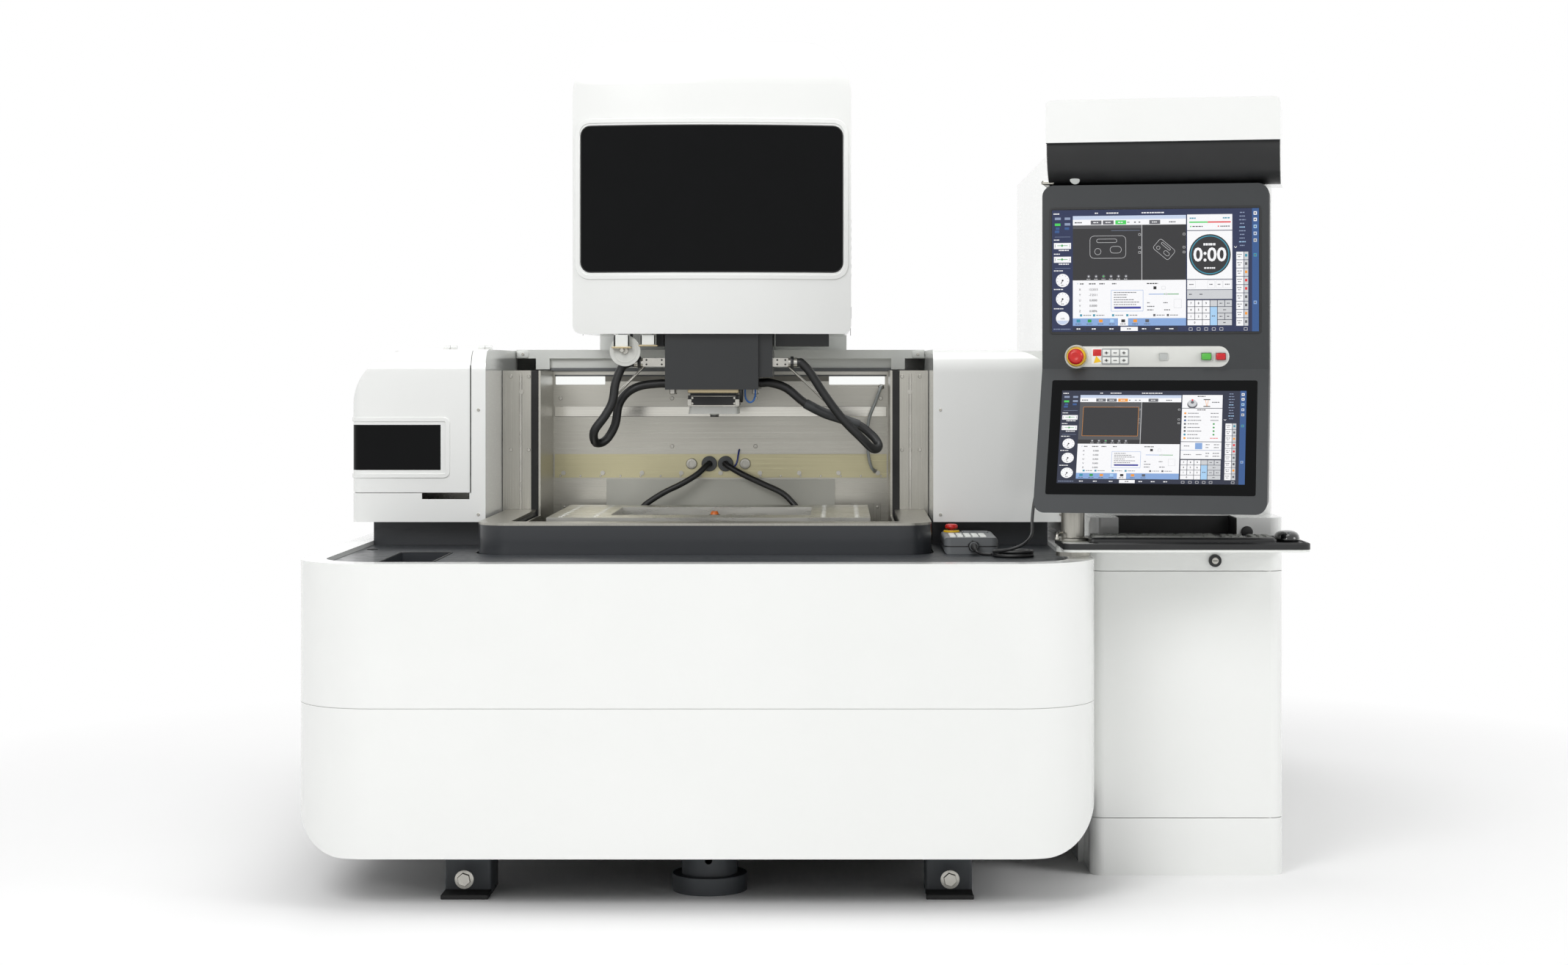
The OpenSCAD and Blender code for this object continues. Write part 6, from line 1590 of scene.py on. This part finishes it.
# the head cover's sides: a seam, a ladder of vents and a latch
headSide = {
    "x": 380,
    "seams": [[(-380.4, 1180, 1384), (-379.2, 1182, 2030)], [(379.2, 1180, 1384), (380.4, 1182, 2030)]],
    "ventY": 1330, "ventZ": 1560, "ventPitch": 26, "vents": 7, "vent": (110, 10, 5, 3, 1.4), "latchY": 1250,
    "latchZ": 1450, "latch": (60, 34, 5, 2.4, 1.0)
}
makePiece("headSideSeam", blocks(headSide["seams"], 0.3), plastic["rubber"], "y_stage")
headVents = [
    plate(
        (s * headSide["x"], headSide["ventY"], headSide["ventZ"] + headSide["ventPitch"] * k), (0, s, 0),
        upward, *headSide["vent"]
    )
    for k in range(headSide["vents"]) for s in bothSides
]
makePiece("headVents", joined(headVents), gloss["softWhite"], "y_stage")
latches = [
    plate((s * headSide["x"], headSide["latchY"], headSide["latchZ"]), (0, s, 0), upward, *headSide["latch"])
    for s in bothSides
]
makePiece("headLatches", joined(latches), plastic["black"], "y_stage")
print("window frames built")

# the pendant: keys, a small display with its bezel, a seam round the case and its stop button
pendant = {
    "top": 857.0, "keyX": 640, "keyY": 500, "pitch": (19.5, 19.0), "columns": 5, "rows": 7,
    "key": (15.4, 13.4, 3, 2.6, 1.0), "displaySpot": (706, 694, 857.0), "display": (62, 46, 4, 1.6),
    "bezel": (70, 54, 6, 4, 2.4, 0.8), "seamSpot": (686, 607, 833), "seam": (138.8, 264.8, 18.4, 1.0, 3.0, 0.4),
    "stopSpot": (645, 704, 857.0), "ring": [(7.4, 0), (21.5, 0), (21.5, 3), (20, 4.6), (7.4, 4.6)],
    "cap": [
        (5.9, -6), (5.9, 9.9), (15, 9.7), (16.8, 11), (17, 13.2), (16.4, 17), (14, 20.2), (9.5, 21.4),
        (0.02, 21.4)
    ]
}
keySpots = [
    (pendant["keyX"] + pendant["pitch"][0] * i, pendant["keyY"] + pendant["pitch"][1] * k, pendant["top"])
    for i in range(pendant["columns"]) for k in range(pendant["rows"])
]
pendantParts = {
    "pendantKeys": (plateRow(keySpots, right, backward, *pendant["key"]), gloss["softWhite"]),
    "pendantDisplay": (plate(pendant["displaySpot"], right, backward, *pendant["display"]), glass["screen"]),
    "pendantSeam": (hoop(pendant["seamSpot"], right, backward, *pendant["seam"]), plastic["black"]),
    "pendantBezel": (hoop(pendant["displaySpot"], right, backward, *pendant["bezel"]), plastic["grey"]),
    "pendantStopRing": (lathe(pendant["ring"], pendant["stopSpot"], upward, 36), signal["yellow"])
}
for name, (shape, material) in pendantParts.items():
    makePiece(name, shape, material, "machine")
padCap = lathe(pendant["cap"], pendant["stopSpot"], upward, 36)
padStop = makePiece("pendantStopCap", padCap, signal["red"], "pendant_stop")
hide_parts("pendant_estop")


# a tapered strain relief over the first reach millimetres of a lead's path, with ribs
def sleeveOn(path, reach, wide, narrow, steps=25, ribDepth=0.7):
    run = np.concatenate([[0], np.cumsum(np.linalg.norm(np.diff(path, axis=0), axis=1))])
    s = np.linspace(0, reach, steps)
    line = np.stack([np.interp(s, run, path[:, k]) for k in range(3)], -1)
    ribs = np.where(np.arange(steps) % 4 < 2, 0.0, -ribDepth)
    return tube(line, wide + (narrow - wide) * s / reach + ribs, 16)


# reach, wide and narrow radius of the sleeve at each end, and the pendant lead's two gland nuts
reliefs = {"lead": ((34, 9.0, 5.2), (36, 9.0, 5.2)), "earth": ((24, 10.0, 7.6), (22, 9.4, 7.6))}
glandNut = {
    "profile": [(4.4, 0), (14.5, 0), (15.2, 1.6), (15.2, 10), (14, 12), (4.4, 12)],
    "ends": (((691, 470, 836), forward), ((966, 660, 1080), left))
}
leadSleeves = [sleeveOn(leadPath, *reliefs["lead"][0]), sleeveOn(leadPath[::-1], *reliefs["lead"][1])]
makePiece("pendantStrainReliefs", joined(leadSleeves), plastic["rubber"], "machine", smooth=60)
leadNuts = [lathe(glandNut["profile"], spot, outward, 6) for spot, outward in glandNut["ends"]]
makePiece("pendantGlandNuts", joined(leadNuts), plastic["black"], "machine")
earthSleeves = []
for side in ("left", "right"):
    path = curveThrough(earthRoutes[side], 4)
    earthSleeves += [sleeveOn(path, *reliefs["earth"][0]), sleeveOn(path[::-1], *reliefs["earth"][1])]
makePiece("earthSleeves", joined(earthSleeves), plastic["rubber"], "machine", smooth=60)
print("pendant dressed")

# the low cabinet: paper slot's lining and bright edge, blanking cap, door lock
slot = {
    "lining": [
        [(1058.5, 432, 861.0), (1358.5, 556, 864.2)], [(1058.5, 552, 862), (1358.5, 557, 909)],
        [(1058.2, 432, 862), (1060.4, 556, 909)], [(1356.6, 432, 862), (1358.8, 556, 909)]
    ],
    "edge": [(1058, 426.4, 860.2), (1359, 429.6, 863.0)],
    "capSpot": (1385, 427, 875), "cap": [(0.02, -1), (15, -1), (15, 2), (13.4, 4), (9, 4.8), (0.02, 5)]
}
lock = {
    "spot": (1303, 418, 802), "face": [(0.02, -0.5), (8.4, -0.5), (8.4, 0.9), (7.4, 1.6), (0.02, 1.6)],
    "slot": [(1296.8, 415.9, 801), (1309.2, 417, 803)]
}
makePiece("slotLining", blocks(slot["lining"], 0.4), plastic["black"], "machine")
makePiece("slotEdge", blocks([slot["edge"]], 0.6), steel["rail"], "machine")
makePiece(
    "blankingCap", lathe(slot["cap"], slot["capSpot"], forward, 30), plastic["black"], "machine",
)
makePiece("lockBarrel", lathe(lock["face"], lock["spot"], forward, 26), steel["bolt"], "door_lock")
makePiece("lockSlot", blocks([lock["slot"]], 0.3), plastic["rubber"], "door_lock")

# the tall cabinet's side and back: door seams, louvres, handles and fan grilles
cabinet = {
    "x": 1482, "seamX": (1481.2, 1482.8), "seamW": 4, "seamZ": (90, 1874), "seamY": (640, 1380, 2120, 2866),
    "louvreY": (1010, 1750, 2490), "louvrePitch": 26, "louvreBanks": ((250, 9), (1620, 6)),
    "louvre": (300, 12, 6, 4.2, 2.0), "handleY": (1340, 2080, 2826), "handleZ": 980,
    "handle": (34, 150, 9, 5, 2), "gripX": 1487, "gripZ": 1000, "grip": (18, 84, 7, 6, 2.4)
}
(nearX, farX), (lowSeam, highSeam) = cabinet["seamX"], cabinet["seamZ"]
seams = [
    [(nearX, cabinet["seamY"][0], z), (farX, cabinet["seamY"][-1] + cabinet["seamW"], z + cabinet["seamW"])]
    for z in cabinet["seamZ"]
]
seams += [
    [(nearX, y, lowSeam), (farX, y + cabinet["seamW"], highSeam + cabinet["seamW"])] for y in cabinet["seamY"]
]
makePiece("cabinetSeams", blocks(seams, 0.4), plastic["rubber"], "machine")
louvreSpots = [
    (cabinet["x"], y, foot + cabinet["louvrePitch"] * k) for foot, count in cabinet["louvreBanks"]
    for k in range(count) for y in cabinet["louvreY"]
]
makePiece(
    "cabinetLouvres", plateRow(louvreSpots, backward, upward, *cabinet["louvre"]), gloss["white"], "machine",
)
handles = plateRow(
    [(cabinet["x"], y, cabinet["handleZ"]) for y in cabinet["handleY"]], backward, upward, *cabinet["handle"]
)
grips = plateRow(
    [(cabinet["gripX"], y, cabinet["gripZ"]) for y in cabinet["handleY"]], backward, upward, *cabinet["grip"]
)
makePiece("cabinetHandles", joined([handles, grips]), plastic["black"], "machine")
fan = {
    "x": 1227, "y": 2900, "z": (420, 1500), "rings": (108, 84, 60, 36, 14), "wire": 3, "depth": 5, "reach": 112,
    "barHalf": 2
}
fans = []
for z in fan["z"]:
    for r in fan["rings"]:
        wire = [
            (r - fan["wire"], -1), (r - fan["wire"], 3), (r, fan["depth"]), (r + fan["wire"], 3),
            (r + fan["wire"], -1)
        ]
        fans.append(lathe(wire, (fan["x"], fan["y"], z), backward, 44))
    fans.append(blocks([
        [(fan["x"] - w, fan["y"], z - h), (fan["x"] + w, fan["y"] + fan["wire"], z + h)]
        for w, h in ((fan["reach"], fan["barHalf"]), (fan["barHalf"], fan["reach"]))
    ], 0.6))
makePiece("cabinetFanGuards", joined(fans), plastic["black"], "machine")
print("cabinets dressed")

# the machine's back: access panels with screws and louvres
rear = {
    "x": (-640, 640), "y": 2150, "z": 1084, "panel": (560, 430, 14, 2.2, 0.8), "faceY": 2152,
    "screwReach": (262, 198), "screwR": 6.0, "louvreZ": 950, "louvrePitch": 26, "louvres": 6,
    "louvre": (320, 12, 6, 4.2, 2.0)
}
makePiece(
    "rearPanels", plateRow([(x, rear["y"], rear["z"]) for x in rear["x"]], left, upward, *rear["panel"]),
    gloss["softWhite"], "machine"
)
reachX, reachZ = rear["screwReach"]
panelSpots = [
    (x + i * reachX, rear["faceY"], rear["z"] + k * reachZ) for x in rear["x"] for i in (-1, 0, 1)
    for k in bothSides
]
makePiece(
    "rearPanelScrews", screwHeads(panelSpots, rear["screwR"], backward, 3.4, 12), steel["bolt"], "machine",
)
rearSpots = [
    (x, rear["faceY"], rear["louvreZ"] + rear["louvrePitch"] * k) for k in range(rear["louvres"])
    for x in rear["x"]
]
makePiece(
    "rearLouvres", plateRow(rearSpots, left, upward, *rear["louvre"]), gloss["softWhite"], "machine",
)

# the filters on the reservoir: spun lids, straps, lid bolts, and a pipe with two collars to the rear housing
filters = {
    "x": (-640, -250), "y": 2520, "foot": 760, "boltReach": 143, "boltZ": 1240, "bolts": 8, "boltR": 7.0,
    "lid": [
        (0.02, 476), (40, 477), (138, 478), (154, 479), (155, 484), (150, 492), (118, 500), (40, 505),
        (0.02, 506)
    ],
    "strap": ((150.2, 0), (153.6, 1), (153.6, 26), (150.2, 27)), "strapZ": (440, 20)
}
pipe = {
    "radius": 21.0, "sides": 18,
    "route": (
        (2372, 850), (2345, 850), (2310, 850), (2262, 858), (2236, 890), (2228, 930), (2210, 968), (2172, 980),
        (2148, 980)
    ),
    "collars": (((2370, 850), forward, 10, 16), ((2152, 980), backward, 9, 14)), "collarR": (21.5, 31, 27)
}
lids = latheRow(filters["lid"], [(x, filters["y"], filters["foot"]) for x in filters["x"]], upward, 56)
straps = [
    lathe([(r, low + h) for r, h in filters["strap"]], (x, filters["y"], filters["foot"]), upward, 56)
    for x in filters["x"] for low in filters["strapZ"]
]
lidSpots = [
    (
        x + filters["boltReach"] * math.cos(v), filters["y"] + filters["boltReach"] * math.sin(v),
        filters["boltZ"]
    )
    for x in filters["x"] for v in np.arange(filters["bolts"]) * 2 * np.pi / filters["bolts"]
]
spunLids = brushed("spunLids", "#c2c0ba", "#a3a19b", (90.0, 90.0, 90.0), gloss=0.25)
makePiece("filterLids", lids, spunLids, "machine")
makePiece("filterStraps", joined(straps), steel["bolt"], "machine")
makePiece(
    "filterLidBolts", screwHeads(lidSpots, filters["boltR"], upward, 6.0, 6), steel["bolt"], "machine",
)
pipes = [
    tube(curveThrough([(x, y, z) for y, z in pipe["route"]], 4), pipe["radius"], pipe["sides"])
    for x in filters["x"]
]
makePiece("filterPipes", joined(pipes), plastic["cable"], "machine", smooth=60)
inside, rim, neck = pipe["collarR"]
collars = [
    lathe([(inside, 0), (rim, 0), (rim, step), (neck, long), (inside, long)], (x, *spot), outward, 24)
    for spot, outward, step, long in pipe["collars"] for x in filters["x"]
]
makePiece("pipeCollars", joined(collars), steel["bolt"], "machine")

# the reservoir: a level gauge, door seams, and the rubber rim round its open hatch
reservoir = {
    "gaugeSpot": (620, 2880, 560),
    "gauge": [(0.02, -2), (34, -2), (34, 16), (31, 19), (28, 19), (27, 16.5), (0.02, 16.5)],
    "seamX": (-452, -2, 448), "seamW": 4, "seamY": (2879.2, 2880.8), "seamZ": (110, 740),
    "topSeam": [(-880, 2879.2, 738), (880, 2880.8, 742)], "hatchSpot": (510, 2530, 759.4),
    "hatch": (516, 356, 12, 7, 6, 2.2)
}
makePiece(
    "levelGauge", lathe(reservoir["gauge"], reservoir["gaugeSpot"], backward, 36), steel["bolt"], "machine",
)
(nearY, farY), (lowZ, highZ) = reservoir["seamY"], reservoir["seamZ"]
doorSeams = [[(x, nearY, lowZ), (x + reservoir["seamW"], farY, highZ)] for x in reservoir["seamX"]]
makePiece(
    "reservoirSeams", blocks(doorSeams + [reservoir["topSeam"]], 0.4), plastic["rubber"], "machine",
)
makePiece(
    "hatchRim", hoop(reservoir["hatchSpot"], right, backward, *reservoir["hatch"]), plastic["rubber"],
    "machine"
)

# the feet: rubber under each block, a clamp bolt with its washer in front
feet = {
    "x": (-564, 616), "y": 195, "half": (58, 67.5), "z": (0.5, 12), "boltY": 129, "boltZ": 50,
    "bolt": [(0.02, -1), (17, -1), (17, 9), (15.5, 11), (0.02, 11)],
    "washer": [(0.02, -1), (23, -1), (23, 2.4), (22, 3), (0.02, 3)]
}
(halfX, halfY), (padLow, padHigh) = feet["half"], feet["z"]
pads = [
    blocks([[(x - halfX, feet["y"] - halfY, padLow), (x + halfX, feet["y"] + halfY, padHigh)]], 1.5)
    for x in feet["x"]
]
bolts = [
    lathe(feet[k], (x, feet["boltY"], feet["boltZ"]), forward, sides) for x in feet["x"]
    for k, sides in (("bolt", 6), ("washer", 28))
]
makePiece("footPads", joined(pads), plastic["rubber"], "machine")
makePiece("footBolts", joined(bolts), steel["bolt"], "machine")
print("feet dressed")


# the floor, the lights and the white room
def seenDirectly(t):  # 1 for camera, mirror and glass rays, 0 for the light that falls on the object
    rays = t.add("ShaderNodeLightPath").outputs
    return t.math(
        "MAXIMUM", rays["Is Camera Ray"], t.math("MAXIMUM", rays["Is Glossy Ray"], rays["Is Transmission Ray"])
    )


stage = {
    "half": 40, "roughness": 0.7, "colour": (0.97, 0.97, 0.97, 1), "fadeFrom": 1.5, "fadeTo": 3.2,
    "roomLight": 0.45
}


def stageMaterial():  # a pale floor that turns to the plain white backdrop away from the machine
    material = bpy.data.materials.new("paleFloor")
    material.use_nodes = True
    t = NodeTree(material.node_tree)
    shader = material.node_tree.nodes["Principled BSDF"]
    shader.inputs["Roughness"].default_value = stage["roughness"]
    shader.inputs["Base Color"].default_value = stage["colour"]
    place = t.add("ShaderNodeTexCoord").outputs["Object"]
    reach = t.add("ShaderNodeVectorMath", {0: place}, operation="LENGTH").outputs["Value"]
    white = t.add("ShaderNodeEmission", {"Color": (1, 1, 1, 1), "Strength": 1.0})
    share = t.math("MULTIPLY", t.spread(reach, stage["fadeFrom"], stage["fadeTo"], 0.0, 1.0), seenDirectly(t))
    blend = t.add("ShaderNodeMixShader", {0: share, 1: shader.outputs[0], 2: white.outputs[0]})
    t.feed(material.node_tree.nodes["Material Output"].inputs["Surface"], blend.outputs[0])
    return material


half = stage["half"]
floorMesh = bpy.data.meshes.new("floor")
floorMesh.from_pydata(
    [(-half, -half, 0), (half, -half, 0), (half, half, 0), (-half, half, 0)], [], [(0, 1, 2, 3)]
)
floorMesh.materials.append(stageMaterial())
floor = bpy.data.objects.new("floor", floorMesh)
bpy.context.scene.collection.objects.link(floor)

room = bpy.data.worlds.new("whiteRoom")
bpy.context.scene.world = room
room.use_nodes = True
roomTree, sky = NodeTree(room.node_tree), room.node_tree.nodes["Background"].inputs
roomTree.feed(sky["Strength"], roomTree.spread(seenDirectly(roomTree), 0.0, 1.0, stage["roomLight"], 1.0))
sky["Color"].default_value = (1, 1, 1, 1)

# place, point looked at, size and power of each lamp, in metres and watts
lamps = [
    ("frontSoftbox", (-2.2, -5.5, 4.2), (0.0, 0.0, 1.0), 3.0, 138),
    ("rightSoftbox", (4.6, -3.2, 3.2), (0.3, 0.0, 1.0), 2.4, 72),
    ("topSoftbox", (0.2, -0.6, 5.2), (0.0, 0.0, 1.0), 3.2, 78),
    ("rearSoftbox", (-1.5, 5.5, 3.6), (0.0, 0.0, 1.0), 3.0, 84)
]
for name, place, aim, size, power in lamps:
    light = bpy.data.lights.new(name, "AREA")
    light.shape, light.size, light.energy = "DISK", size, power
    lamp = bpy.data.objects.new(name, light)
    lamp.location = place
    lamp.rotation_euler = (mathutils.Vector(aim) - mathutils.Vector(place)).to_track_quat("-Z", "Y").to_euler()
    bpy.context.scene.collection.objects.link(lamp)
bpy.context.scene.view_settings.view_transform = "Standard"
print("stage lit")
